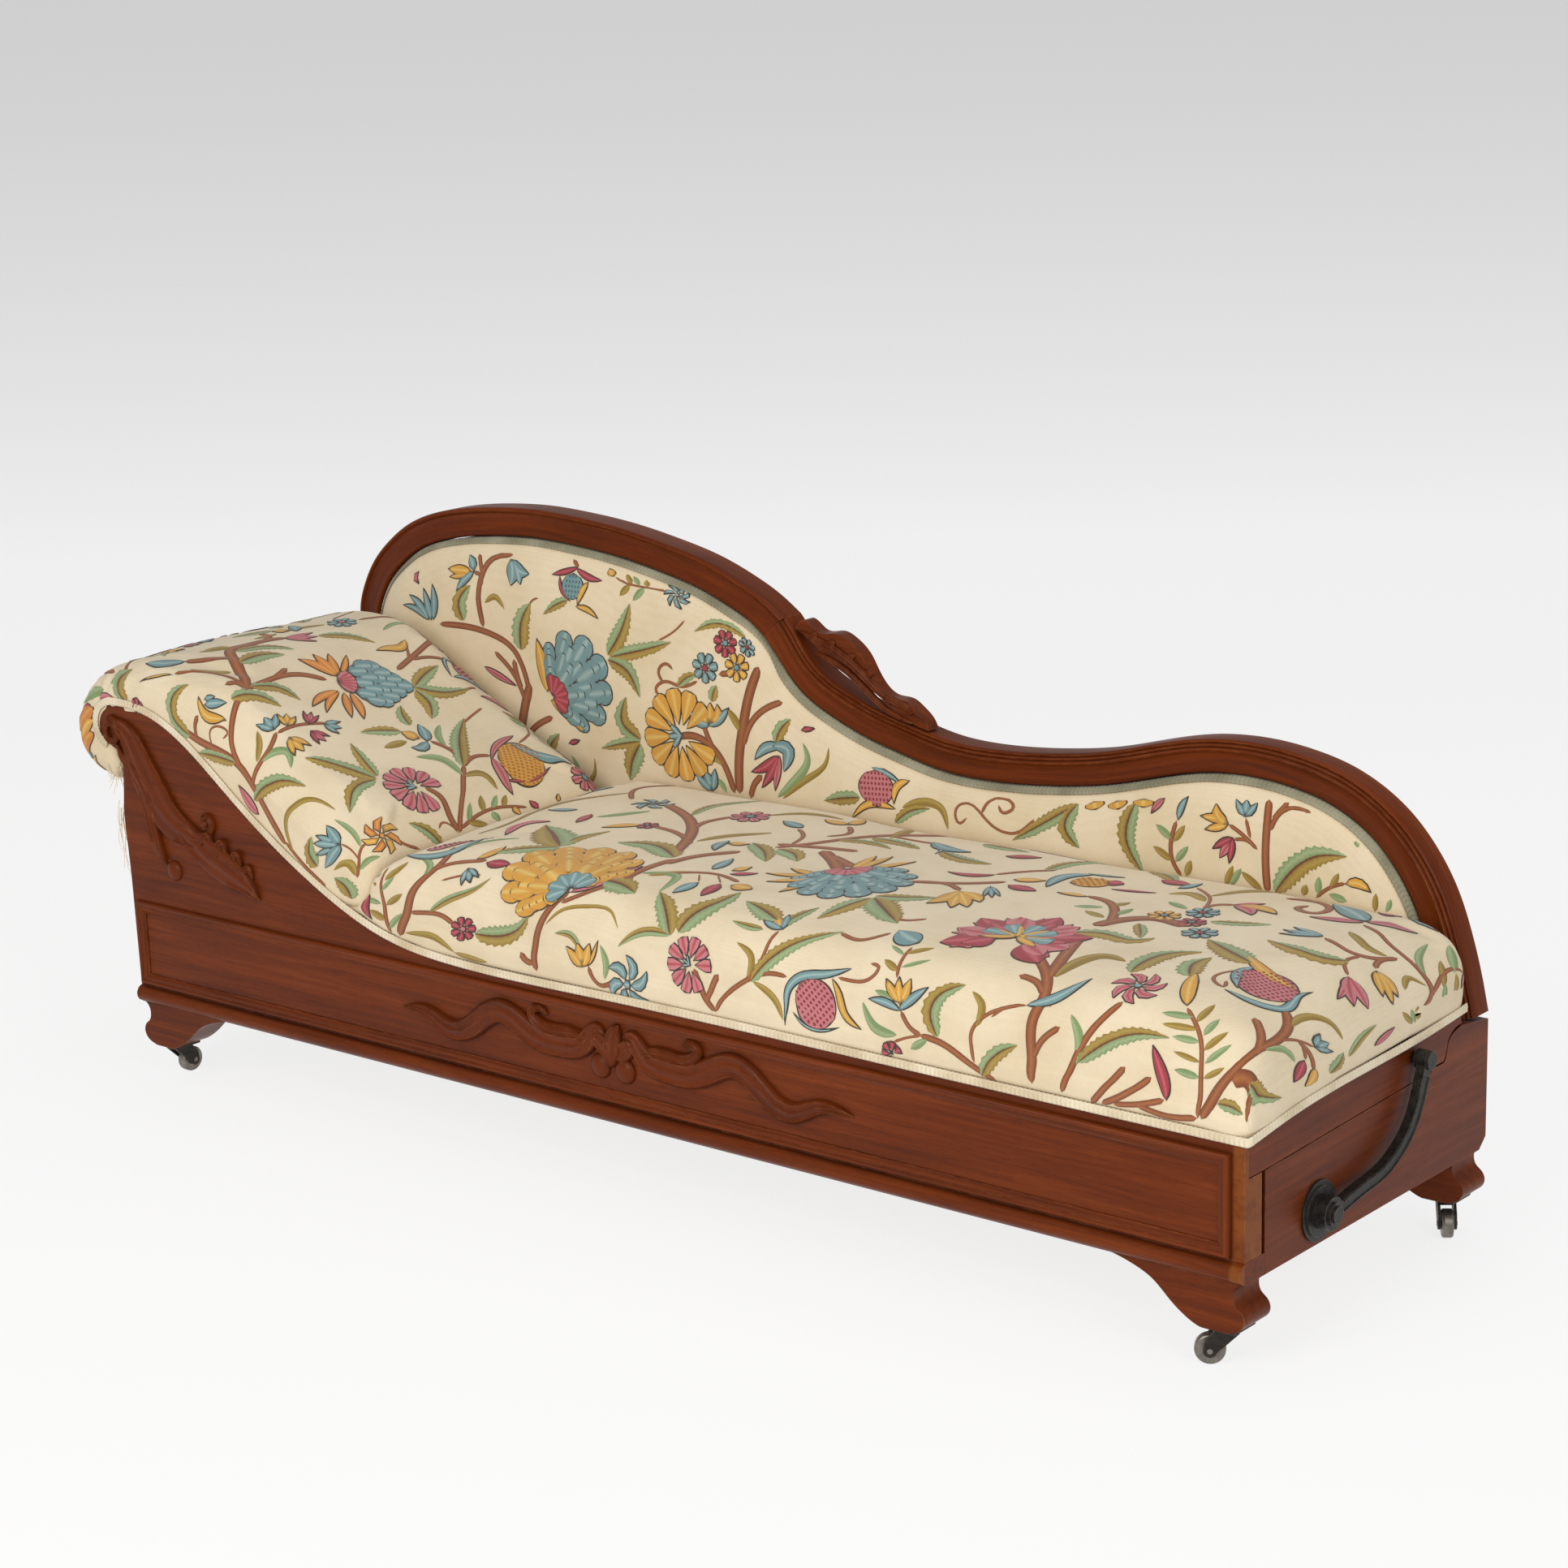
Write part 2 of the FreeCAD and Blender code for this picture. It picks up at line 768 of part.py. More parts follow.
def head_rail_profile():
    """The head end's rail stops behind the front board."""
    runs = seat_rail_profile()
    behind = size("front_board_thick") + size("fit_gap")
    low_front = runs[0][0][1]
    top = runs[1]
    runs[0] = [(behind, low_front), (behind, front_top + 4)]
    runs[1] = [(behind, front_top + 4), *top[1:]]
    runs[-1] = [runs[-1][0], (behind, low_front)]
    return runs


foot_rail = crosswise("seat_rail_foot", seat_rail_profile(), "rail_thick", "base_length - rail_thick")
keep(with_hole(foot_rail, "YZ_Plane", *knuckle, pin_hole, "rail_thick", reverse=True))
head_rail = crosswise("seat_rail_head", head_rail_profile(), "rail_thick", "0")
keep(with_hole(head_rail, "YZ_Plane", *knuckle, pin_hole, "rail_thick", reverse=True))

RAIL_INSIDE = "base_length - 2 * rail_thick - 2 * fit_gap"
RAIL_START = "rail_thick + fit_gap"
WEB_LEVEL = LEDGE_TOP + " + part_gap + 3"
REAR_RAIL_HIGH = (
    "base_rail_height + fit_gap + front_board_height + seat_pad_rise - end_ledge_height - part_gap - 9.5"
)
REAR_RAIL_FRONT = "base_depth - horn_depth - ledge_depth - part_gap - rail_thick"
keep(
    board(
        "seat_rear_rail",
        (RAIL_START, REAR_RAIL_FRONT, WEB_LEVEL),
        (RAIL_INSIDE, "rail_thick", REAR_RAIL_HIGH),
    )
)

WEB_WIDE = 50
WEB_THICK = 2
WEBS = 13
web_depth = worth(REAR_RAIL_FRONT) - size("front_board_thick") - 2 * size("fit_gap")
web_space = worth(RAIL_INSIDE) - WEB_WIDE - 2 * size("fit_gap")
webs = []
springs = []
SPRING_ROWS = 3
SPRING_COILS = 4
SPRING_RADIUS = 34
SPRING_WAIST = 22
spring_high = worth(PAD_LOW) - worth(WEB_LEVEL) - WEB_THICK - 4
for number in range(WEBS):
    x = size("fit_gap") + number * web_space / (WEBS - 1)
    webs.append(Part.makeBox(WEB_WIDE, web_depth, WEB_THICK, Vector(x, 0, 0)))
    if number % 2:
        for line_number in range(SPRING_ROWS):
            y = (line_number + 0.5) * web_depth / SPRING_ROWS
            foot = Vector(x + WEB_WIDE / 2, y, WEB_THICK)
            half = spring_high / 2
            low_cone = Part.makeCone(SPRING_RADIUS, SPRING_WAIST, half, foot)
            high_cone = Part.makeCone(SPRING_WAIST, SPRING_RADIUS, half, foot + Vector(0, 0, half))
            springs.append(low_cone.fuse(high_cone))
WEB_CORNER = (RAIL_START, "front_board_thick + fit_gap", WEB_LEVEL)
keep(joined("seat_webbing", webs, WEB_CORNER), joined("seat_springs", springs, WEB_CORNER))

keep(
    board(
        "seat_hessian",
        (RAIL_START, "front_board_thick + fit_gap", PAD_LOW + " - 3"),
        (RAIL_INSIDE, REAR_RAIL_FRONT + " - front_board_thick - 2 * fit_gap", "1.5"),
    )
)

seat_high = worth(SEAT_TOP)
pad_low = worth(PAD_LOW)
EDGE_ROUND = 38
pad_back = worth(SEAT_BACK)
LIP_BACK = size("front_board_thick")
lip_low = front_top + 28
seat_pad_runs = [
    [(-2, lip_low), (-2, seat_high - EDGE_ROUND)],
    [
        (-2, seat_high - EDGE_ROUND),
        (EDGE_ROUND * 0.3 - 2, seat_high - EDGE_ROUND * 0.3),
        (EDGE_ROUND - 2, seat_high),
    ],
    [(EDGE_ROUND - 2, seat_high), (pad_back, seat_high)],
    [(pad_back, seat_high), (pad_back, pad_low)],
    [(pad_back, pad_low), (LIP_BACK, pad_low)],
    [(LIP_BACK, pad_low), (LIP_BACK, lip_low)],
    [(LIP_BACK, lip_low), (-2, lip_low)],
]
seat_pad = doc.addObject("PartDesign::Body", "seat_pad")
seat_sketch = sketch_on(seat_pad, "YZ_Plane", edges_of(seat_pad_runs), "seat_pad_section")
pad_on(seat_pad, seat_sketch, "base_length + seat_pad_bulge - head_pad_end - pad_gap")
put(seat_pad, "head_pad_end + pad_gap")
keep(seat_pad)

HEAD_TOP = [
    (505, 410),
    (475, 427),
    (441, 444),
    (348, 487),
    (253, 538),
    (157, 590),
    (100, 606),
    (45, 612),
    (-5, 606),
    (-55, 588),
    (-97, 556),
    (-122, 518),
    (-124, 488),
    (-106, 452),
    (-72, 430),
    (-38, 424),
]
HEAD_UNDER = [(-38, 424), (0, 434), (50, 456), (105, 462), (160, 450), (300, 384), (400, 336), (478, 308)]


head_top = [head_point(x, z) for x, z in HEAD_TOP]
head_under = [head_point(x, z) for x, z in HEAD_UNDER]
head_top[0] = (size("head_pad_end"), seat_high - 2)
head_under[-1] = (head_under[-1][0], pad_low)
head_low = (size("head_pad_end"), pad_low)
head_runs = [head_top, head_under, [head_under[-1], head_low], [head_low, head_top[0]]]
REAR_BOARD_FRONT = SEAT_BACK + " - rail_thick"
keep(
    upright(
        "head_pad",
        head_runs,
        REAR_BOARD_FRONT + " - front_board_thick - 2 * fit_gap",
        "front_board_thick + fit_gap",
    )
)

# The rear board of the head rest repeats the front curve, and stands on the head rail
rear_curve = [(x, z - 3) for x, z in s_curve[1:9]]
rear_low = front_top + 34
rear_runs = [
    rear_curve,
    [rear_curve[-1], (rear_curve[-1][0], rear_low)],
    [(rear_curve[-1][0], rear_low), (0, rear_low)],
    [(0, rear_low), rear_curve[0]],
]
keep(upright("head_rear_board", rear_runs, "rail_thick", REAR_BOARD_FRONT))

head_slats = []
HEAD_SLATS = 5
SLAT_DROP = 9
slat_run = worth(REAR_BOARD_FRONT) - size("front_board_thick") - 2 * size("fit_gap")
for number in range(HEAD_SLATS):
    share = (number + 0.5) / HEAD_SLATS
    start = head_under[4]
    stop = head_under[6]
    x = start[0] + share * (stop[0] - start[0])
    z = start[1] + share * (stop[1] - start[1])
    tilt = math.degrees(math.atan2(stop[1] - start[1], stop[0] - start[0]))
    slat = Part.makeBox(34, slat_run, 9, Vector(-17, 0, -9 - SLAT_DROP))
    slat.Placement = Placement(Vector(x, 0, z), Rotation(Vector(0, 1, 0), -tilt))
    head_slats.append(slat)
keep(joined("head_slats", head_slats, ("0", "front_board_thick + fit_gap", "0")))

# Trim on the front: the panel's frame moulding, the carvings and the braid
PANEL_RIM = 16


def panel_loop(inward):
    """A rectangle on the front board, drawn in from the panel's outer edge."""
    left = 6 + inward
    right = length - 17 - inward
    low = front_low + 2 + inward
    high = front_top - 14 - inward
    return polygon((left, low), (right, low), (right, high), (left, high))


outer_panel = panel_loop(0)
inner_panel = panel_loop(PANEL_RIM)
panel = doc.addObject("PartDesign::Body", "front_panel_moulding")
panel_sketch = sketch_on(panel, "XZ_Plane", edges_of(outer_panel + inner_panel), "panel_rim")
pad_on(panel, panel_sketch, "moulding_proud - 2")
put(panel)
keep(panel)

carve = size("carving_proud")


def relief(label, loops):
    """Flat pieces of a carving, glued to the front board's face."""
    solids = []
    for runs in loops:
        wire = Part.Wire([edge.toShape() for edge in edges_of(runs)])
        solid = Part.Face(wire).extrude(Vector(0, 0, carve))
        solid.Placement = stand
        solids.append(solid)
    return joined(label, solids)


def drawn_front(points):
    """Drawn points on the front board."""
    return [(along(x), up_front(z)) for x, z in points]


LEFT_BRANCH = [
    (540, 212),
    (600, 222),
    (660, 214),
    (700, 188),
    (745, 202),
    (770, 236),
    (815, 232),
    (842, 206),
]
LEFT_RETURN = [(842, 206), (830, 180), (770, 172), (690, 168), (640, 190), (590, 206), (540, 212)]
RIGHT_BRANCH = [
    (1300, 204),
    (1250, 214),
    (1200, 190),
    (1150, 186),
    (1110, 210),
    (1060, 236),
    (1000, 224),
    (946, 214),
]
RIGHT_RETURN = [(946, 214), (950, 184), (1010, 196), (1070, 204), (1120, 170), (1200, 176), (1300, 204)]
keep(
    relief(
        "centre_carving",
        [
            [drawn_front(LEFT_BRANCH), drawn_front(LEFT_RETURN)],
            [drawn_front(RIGHT_BRANCH), drawn_front(RIGHT_RETURN)],
        ],
    )
)
HEAD_CARVING_OUT = [
    (-40, 505),
    (-22, 540),
    (20, 532),
    (70, 470),
    (120, 410),
    (160, 392),
    (190, 380),
    (230, 350),
    (268, 302),
]
HEAD_CARVING_BACK = [(268, 302), (200, 322), (130, 345), (96, 300), (70, 372), (40, 460), (4, 496), (-40, 505)]
head_carving_runs = [[head_point(x, z) for x, z in line] for line in (HEAD_CARVING_OUT, HEAD_CARVING_BACK)]
keep(relief("head_carving", [head_carving_runs]))

GIMP_DROP = 4
braid_low = [(x, z - GIMP_DROP) for x, z in s_curve[1:]]
braid_low.append((length, front_top - GIMP_DROP))
braid_high = [(x, z + gimp_wide) for x, z in braid_low]
braid_runs = [
    braid_low[:-1],
    [braid_low[-2], braid_low[-1]],
    [braid_low[-1], braid_high[-1]],
    [braid_high[-1], braid_high[-2]],
    braid_high[:-1][::-1],
    [braid_high[0], braid_low[0]],
]
braid_face = Part.Face(Part.Wire([edge.toShape() for edge in edges_of(braid_runs)]))
braid = braid_face.extrude(Vector(0, 0, size("gimp_thick")))
braid.Placement = stand
keep(joined("seat_gimp", [braid]))

# Swing arms, their round plates and pins
ARM_SHOULDER = "plate_thick + fit_gap"
BAR_OUT = 4
BOW = [
    (0.0, 0.0),
    (0.13, -0.05),
    (0.26, -0.1),
    (0.43, -0.17),
    (0.59, -0.19),
    (0.74, -0.168),
    (0.86, -0.102),
    (0.94, -0.04),
    (1.0, 0.0),
]


def arm_line():
    """The bowed middle line of an arm, from the lower pivot to the upper one."""
    run = size("arm_run")
    rise = size("arm_rise")
    return [
        (pivot[0] + share * run - sag * rise, pivot[1] + share * rise + sag * run)
        for share, sag in BOW
    ]


def faced(end, outwards):
    """The formula for a place outside one end, counted outwards from the end's face."""
    return f"base_length + {outwards}" if end == "foot" else f"0 - {outwards}".replace(" + ", " - ")


def disc_on(body, centre, radius, length, name, reverse):
    """A round boss on an arm."""
    sketch = sketch_on(body, "YZ_Plane", [circle(*centre, radius)], body.Label + name)
    return pad_on(body, sketch, length, reverse)


def swing_arm(end):
    """A bowed iron bar with a stepped hub below and an eye above."""
    out = end == "head"
    body = doc.addObject("PartDesign::Body", "swing_arm_" + end)
    line = arm_line()
    half = size("arm_wide") / 2
    low_side = offset(line, half)
    high_side = offset(line, -half)
    bar = [
        high_side,
        [high_side[-1], low_side[-1]],
        low_side[::-1],
        [low_side[0], high_side[0]],
    ]
    sketch = sketch_on(body, "YZ_Plane", edges_of(bar), body.Label + "_bar")
    sketch.AttachmentOffset = Placement(Vector(0, 0, -BAR_OUT if out else BAR_OUT), Rotation())
    pad_on(body, sketch, "arm_thick", out)
    disc_on(body, pivot, size("hub_radius"), "arm_thick + 4", "_hub", out)
    disc_on(body, pivot, size("hub_radius") - 6, "arm_thick + 7", "_hub_step", out)
    disc_on(body, knuckle, size("eye_radius"), "arm_thick + 4", "_eye", out)
    doc.recompute()
    lower = sketch_on(body, "YZ_Plane", [circle(*pivot, pin_hole)], body.Label + "_lower_hole")
    pocket_on(body, lower, "arm_reach + 20", middle=True)
    slack = size("open_pin_gap") if out else size("run_gap")
    upper = [circle(*knuckle, size("pin_radius") + slack)]
    upper_hole = sketch_on(body, "YZ_Plane", upper, body.Label + "_upper_hole")
    pocket_on(body, upper_hole, "arm_reach + 20", middle=True)
    put(body, faced(end, ARM_SHOULDER))
    return body


def pin(label, end, centre, inside, shank, head_radius, head_thick):
    """A pivot pin: shank through the wood and the iron, and a flat head outside."""
    sign = 1 if end == "foot" else -1
    face = length if end == "foot" else 0.0
    start = Vector(face - sign * inside, centre[0], centre[1])
    axis = Vector(sign, 0, 0)
    shaft = Part.makeCylinder(size("pin_radius"), inside + shank, start, axis)
    head_at = Vector(face + sign * shank, centre[0], centre[1])
    head = Part.makeCylinder(head_radius, head_thick, head_at, axis)
    return joined(label, [shaft.fuse(head).removeSplitter()])


def escutcheon(end):
    """A round cast plate with a raised ring, bored for the lower pin."""
    sign = 1 if end == "foot" else -1
    face = length if end == "foot" else 0.0
    centre = Vector(face, *pivot)
    axis = Vector(sign, 0, 0)
    thick = size("plate_thick")
    plate = Part.makeCylinder(size("plate_radius"), thick * 0.6, centre, axis)
    ring = Part.makeCylinder(size("plate_radius") - 6, thick, centre, axis)
    bore = Part.makeCylinder(pin_hole, thick * 2, centre - axis, axis)
    return joined("escutcheon_" + end, [plate.fuse(ring).cut(bore).removeSplitter()])


for end in ENDS:
    keep(swing_arm(end), escutcheon(end))
    sign = 1 if end == "foot" else -1
    lower_reach = worth(ARM_SHOULDER + " + arm_thick + 7") + size("fit_gap")
    upper_reach = worth(ARM_SHOULDER + " + arm_thick + 4") + size("fit_gap")
    lower_head = size("arm_reach") - lower_reach
    keep(
        pin("lower_pin_" + end, end, pivot, size("board_thick"), lower_reach, 10, lower_head),
        pin("upper_pin_" + end, end, knuckle, size("rail_thick"), upper_reach, 11, 3),
    )

# Check every piece, then write it
doc.recompute()
for item in doc.Objects:
    if "Invalid" in item.State or "Error" in item.State:
        raise RuntimeError(f"{item.Label} failed: {item.State}")
os.makedirs("parts", exist_ok=True)
low = Vector(1e6, 1e6, 1e6)
high = Vector(-1e6, -1e6, -1e6)
for piece in nodes:
    shape = piece.Shape
    if shape.isNull() or not shape.isValid() or not shape.Solids:
        raise RuntimeError(f"{piece.Label} has no valid solid")
    shape.exportStep(f"parts/{piece.Label}.step")
    bounds = shape.BoundBox
    low = Vector(min(low.x, bounds.XMin), min(low.y, bounds.YMin), min(low.z, bounds.ZMin))
    high = Vector(max(high.x, bounds.XMax), max(high.y, bounds.YMax), max(high.z, bounds.ZMax))
print(len(nodes), "pieces from", tuple(round(v, 1) for v in low), "to", tuple(round(v, 1) for v in high))
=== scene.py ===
# %% [markdown]
# A fainting couch, made around its CAD frame. The couch is a long box on four bracket feet with
# casters, a carved and moulded back, and a sprung seat with a head roll that swings forward on two
# iron arms. Everything soft is covered in crewel work: wool vines and flowers stitched on cream
# cotton. The CAD gives each piece its place; this lesson gives each piece its looks.

# %% Load the frame
import math
import random

import bmesh
import bpy
import numpy as np
from mathutils import Matrix, Vector
from mathutils.bvhtree import BVHTree


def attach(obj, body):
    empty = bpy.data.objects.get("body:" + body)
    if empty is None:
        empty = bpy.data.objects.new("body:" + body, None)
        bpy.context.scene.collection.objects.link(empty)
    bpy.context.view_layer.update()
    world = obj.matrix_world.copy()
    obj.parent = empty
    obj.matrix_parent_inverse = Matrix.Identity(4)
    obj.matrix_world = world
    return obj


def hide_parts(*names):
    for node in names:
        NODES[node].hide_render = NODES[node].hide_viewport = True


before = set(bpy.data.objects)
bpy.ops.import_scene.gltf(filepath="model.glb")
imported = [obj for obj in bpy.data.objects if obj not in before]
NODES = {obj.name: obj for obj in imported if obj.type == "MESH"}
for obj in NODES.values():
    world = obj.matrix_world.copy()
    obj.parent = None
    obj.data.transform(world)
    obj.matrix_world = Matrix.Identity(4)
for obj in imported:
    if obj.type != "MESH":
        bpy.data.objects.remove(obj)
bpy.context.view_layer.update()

# %% [markdown]
# All sizes below are in millimetres, measured as the maker of the couch would: x from the head end
# of the base box, y back from the front board's face, and z up from the floor. One helper turns
# them into the frame's metres. Working in real millimetres keeps every moulding and stitch honest.

# %% Millimetres to the frame
MM = 1000.0
HEAD_END = 876.5
FRONT_FACE = 276.0
ORIGIN = np.array((HEAD_END, FRONT_FACE, 0.0))


def at(x, y, z):
    """A point of the couch in the frame, in metres."""
    return Vector(((x - HEAD_END) / MM, (y - FRONT_FACE) / MM, z / MM))


print("the base box starts at", tuple(at(0, 0, 0)), "in the frame")


# %% [markdown]
# The camera stands about four and a half metres away, to the right of the foot end and a little
# above the couch, with a long lens. Its place came from fitting the lines of the base box, so it is
# given as one point, two angles and a small roll. A camera matrix is built from the three
# directions it holds: right, up and back.

# %% The camera
CAMERA_PLACE = (2.8641, -3.3194, 1.5715)
CAMERA_AZIMUTH = math.radians(39.75)
CAMERA_ELEVATION = math.radians(13.86)
CAMERA_ROLL = math.radians(-1.61)
LENS_MM = 78.94

camera_data = bpy.data.cameras.new("photo_camera")
camera_data.lens = LENS_MM
camera_data.sensor_width = 36.0
camera_data.clip_end = 100.0
camera = bpy.data.objects.new("photo_camera", camera_data)
bpy.context.scene.collection.objects.link(camera)
back = Vector(
    (
        math.sin(CAMERA_AZIMUTH) * math.cos(CAMERA_ELEVATION),
        -math.cos(CAMERA_AZIMUTH) * math.cos(CAMERA_ELEVATION),
        math.sin(CAMERA_ELEVATION),
    )
)
level = Vector((math.cos(CAMERA_AZIMUTH), math.sin(CAMERA_AZIMUTH), 0))
upward = back.cross(level)
right = level * math.cos(CAMERA_ROLL) + upward * math.sin(CAMERA_ROLL)
up = upward * math.cos(CAMERA_ROLL) - level * math.sin(CAMERA_ROLL)
camera.matrix_world = Matrix.Translation(CAMERA_PLACE) @ Matrix((right, up, back)).transposed().to_4x4()
bpy.context.scene.camera = camera
print("camera", tuple(round(v, 3) for v in camera.location), "lens", LENS_MM)

# %% [markdown]
# A colour is written as the sRGB hex value that the eye sees, and one function turns it into the
# linear light that the renderer adds up. A second small function adds any node: it sets the node's
# sockets by name, and where a value is another node's output it makes the link.

# %% Colours and nodes


def hue(code):
    """An sRGB hex colour as linear light."""
    parts = [int(code[i : i + 2], 16) / 255 for i in (1, 3, 5)]
    linear = [c / 12.92 if c <= 0.04045 else ((c + 0.055) / 1.055) ** 2.4 for c in parts]
    return (*linear, 1.0)


def feed(tree, socket, value):
    """Link another node's output to a socket, or set a plain value on it."""
    if isinstance(value, bpy.types.NodeSocket):
        tree.links.new(value, socket)
    else:
        socket.default_value = value


def node(tree, kind, settings=None, **inputs):
    """Add one node: settings are its own properties, inputs are values or other nodes' outputs."""
    made = tree.nodes.new("ShaderNode" + kind)
    for name, value in (settings or {}).items():
        setattr(made, name, value)
    for name, value in inputs.items():
        place = int(name[1:]) if name[0] == "i" and name[1:].isdigit() else name.replace("_", " ")
        feed(tree, made.inputs[place], value)
    return made


def new_finish(name):
    """An empty material and its tree, with the shader that every finish ends in."""
    finish = bpy.data.materials.new(name)
    finish.use_nodes = True
    tree = finish.node_tree
    tree.nodes.clear()
    shader = tree.nodes.new("ShaderNodeBsdfPrincipled")
    output = tree.nodes.new("ShaderNodeOutputMaterial")
    tree.links.new(shader.outputs[0], output.inputs[0])
    return finish, tree, shader


def paint(tree, shader, **inputs):
    """Feed the shader's own sockets, an underscore for each space in a name."""
    for name, value in inputs.items():
        feed(tree, shader.inputs[name.replace("_", " ")], value)


print("mid grey is", round(hue("#808080")[0], 3), "in linear light")

# %% [markdown]
# Patterns are built from the same few steps: a ramp turns a number into a colour, a mix lays one
# colour on another, and noise gives soft blotches whose size is told in millimetres. A bump only
# bends the light, so it is kept for what is finer than the mesh.

# %% Steps of a pattern


def ramp(tree, factor, *stops):
    """A colour ramp from (place, hex) stops."""
    made = node(tree, "ValToRGB", Fac=factor)
    band = made.color_ramp.elements
    while len(band) < len(stops):
        band.new(0.5)
    for element, (place, code) in zip(band, stops):
        element.position = place
        element.color = hue(code)
    return made.outputs[0]


def blend_of(tree, share, under, over, how="MIX"):
    """Two colours mixed."""
    return node(tree, "Mix", {"data_type": "RGBA", "blend_type": how}, i0=share, i6=under, i7=over).outputs[2]


def sums(tree, operation, first, second=0.0, clamp=False):
    """One step of arithmetic."""
    return node(tree, "Math", {"operation": operation, "use_clamp": clamp}, i0=first, i1=second).outputs[0]


def stretched(tree, source, scale, turn=(0, 0, 0)):
    """Coordinates scaled, and turned if the pattern needs it."""
    return node(tree, "Mapping", Vector=source, Scale=scale, Rotation=turn).outputs[0]


def noise(tree, source, size_mm, detail=2.0, rough=0.5, distortion=0.0):
    """Soft noise whose features are about so many millimetres wide."""
    settings = {"Scale": MM / size_mm, "Detail": detail, "Roughness": rough, "Distortion": distortion}
    return node(tree, "TexNoise", Vector=source, **settings).outputs[0]


def finish_bump(tree, shader, *layers):
    """Stack bumps, each given as (height, depth in millimetres)."""
    normal = None
    for height, depth in layers:
        made = node(tree, "Bump", Height=height, Distance=depth / MM, Strength=1.0)
        if normal is not None:
            tree.links.new(normal, made.inputs["Normal"])
        normal = made.outputs[0]
    paint(tree, shader, Normal=normal)


# %% [markdown]
# The show wood is cherry, stained red brown and polished over a century. Three things make it read
# as wood: long grain streaks that run with each board, fine open pores, and its age, which is bare,
# orange wood where hands and feet rubbed the edges. Its corners are darkened almost to black, which
# is painted shade, and made a little rougher. The Bevel node finds the edges, because it compares
# the rounded and the true surface; Ambient Occlusion finds the corners. Both look at the shape only,
# so they hold from every side.

# %% Stained wood
AXES = {"x": (0, 0, 0), "y": (0, 0, math.pi / 2)}
BARE_WOOD = "#93561F"


def edge_wear(tree, radius_mm):
    """1 on sharp edges and 0 on flat ground."""
    soft = node(tree, "Bevel", {"samples": 4}, Radius=radius_mm / MM).outputs[0]
    true = node(tree, "NewGeometry").outputs["Normal"]
    same = node(tree, "VectorMath", {"operation": "DOT_PRODUCT"}, i0=soft, i1=true).outputs["Value"]
    return sums(tree, "MULTIPLY", sums(tree, "SUBTRACT", 1.0, same), 6.0, clamp=True)


# Ambient occlusion as a mask: the wood, the cloth and the gimp use it for painted shade in their corners and
# hollows, the metals for rust in their hollows.
def corner_shade_and_rust(tree, reach_mm):
    """1 in deep corners and 0 in the open."""
    open_air = node(tree, "AmbientOcclusion", {"samples": 4}, Distance=reach_mm / MM).outputs["AO"]
    hidden = sums(tree, "SUBTRACT", 1.0, open_air, clamp=True)
    return sums(tree, "POWER", hidden, 1.4)


def stained_wood(
    name, grain, deep, middle, light, worn, corner_shade, along_uv=False, gloss=0.36, coat=0.04, bare_end=None
):
    """Polished wood with its grain along one axis, or along the first UV direction.
    bare_end is the x in the frame, in metres, where its polish has worn off."""
    finish, tree, shader = new_finish(name)
    place = node(tree, "TexCoord").outputs["UV" if along_uv else "Object"]
    run = stretched(tree, place, (1, 1, 1), (0, 0, 0) if along_uv else AXES[grain])
    lengthwise = stretched(tree, run, (0.045, 1, 1))
    streaks = noise(tree, lengthwise, 9.0, detail=5, rough=0.62, distortion=0.5)
    bands = noise(tree, stretched(tree, run, (0.12, 1, 1)), 70.0, detail=2, distortion=0.8)
    figure = sums(tree, "ADD", sums(tree, "MULTIPLY", streaks, 0.62), sums(tree, "MULTIPLY", bands, 0.38))
    tone = ramp(tree, figure, (0.32, deep), (0.5, middle), (0.68, light))
    pores = noise(tree, stretched(tree, run, (0.06, 1, 1)), 1.1, detail=2, rough=0.6)
    pits = ramp(tree, pores, (0.36, "#000000"), (0.46, "#FFFFFF"))
    tone = blend_of(tree, 0.22, tone, blend_of(tree, 1.0, tone, pits, "MULTIPLY"))
    handled = noise(tree, place, 160.0, detail=3, rough=0.6)
    tone = blend_of(tree, sums(tree, "MULTIPLY", handled, 0.35), tone, hue(deep))
    scuffs = noise(tree, place, 22.0, detail=5, rough=0.72)
    scuffed = ramp(tree, scuffs, (0.44, "#000000"), (0.6, "#FFFFFF"))
    rubbed = sums(tree, "MULTIPLY", edge_wear(tree, 1.6), scuffed)
    tone = blend_of(tree, sums(tree, "MULTIPLY", rubbed, 0.75), tone, hue(worn))
    if bare_end:
        along = node(tree, "SeparateXYZ", Vector=place).outputs["X"]
        from_end = node(tree, "MapRange", Value=along, i1=bare_end, i2=bare_end + 0.004).outputs[0]
        bare = sums(tree, "MULTIPLY", from_end, ramp(tree, scuffs, (0.3, "#404040"), (0.55, "#FFFFFF")))
        tone = blend_of(tree, sums(tree, "MULTIPLY", bare, 0.5), tone, hue(BARE_WOOD))
    # Painted shade: the corners, found by ambient occlusion, are darkened towards the last colour, and they
    # are made rougher too.
    shaded_corners = corner_shade_and_rust(tree, 14.0)
    tone = blend_of(tree, sums(tree, "MULTIPLY", shaded_corners, 0.85, clamp=True), tone, hue(corner_shade))
    wear_gloss = sums(tree, "ADD", sums(tree, "MULTIPLY", scuffs, 0.16), gloss - 0.06)
    rough = sums(tree, "ADD", wear_gloss, sums(tree, "MULTIPLY", shaded_corners, 0.25))
    paint(tree, shader, Base_Color=tone, Roughness=rough, Specular_IOR_Level=0.12)
    paint(tree, shader, Coat_Weight=coat, Coat_Roughness=0.2)
    finish_bump(tree, shader, (streaks, 0.16), (pores, 0.05), (scuffs, 0.1))
    return finish
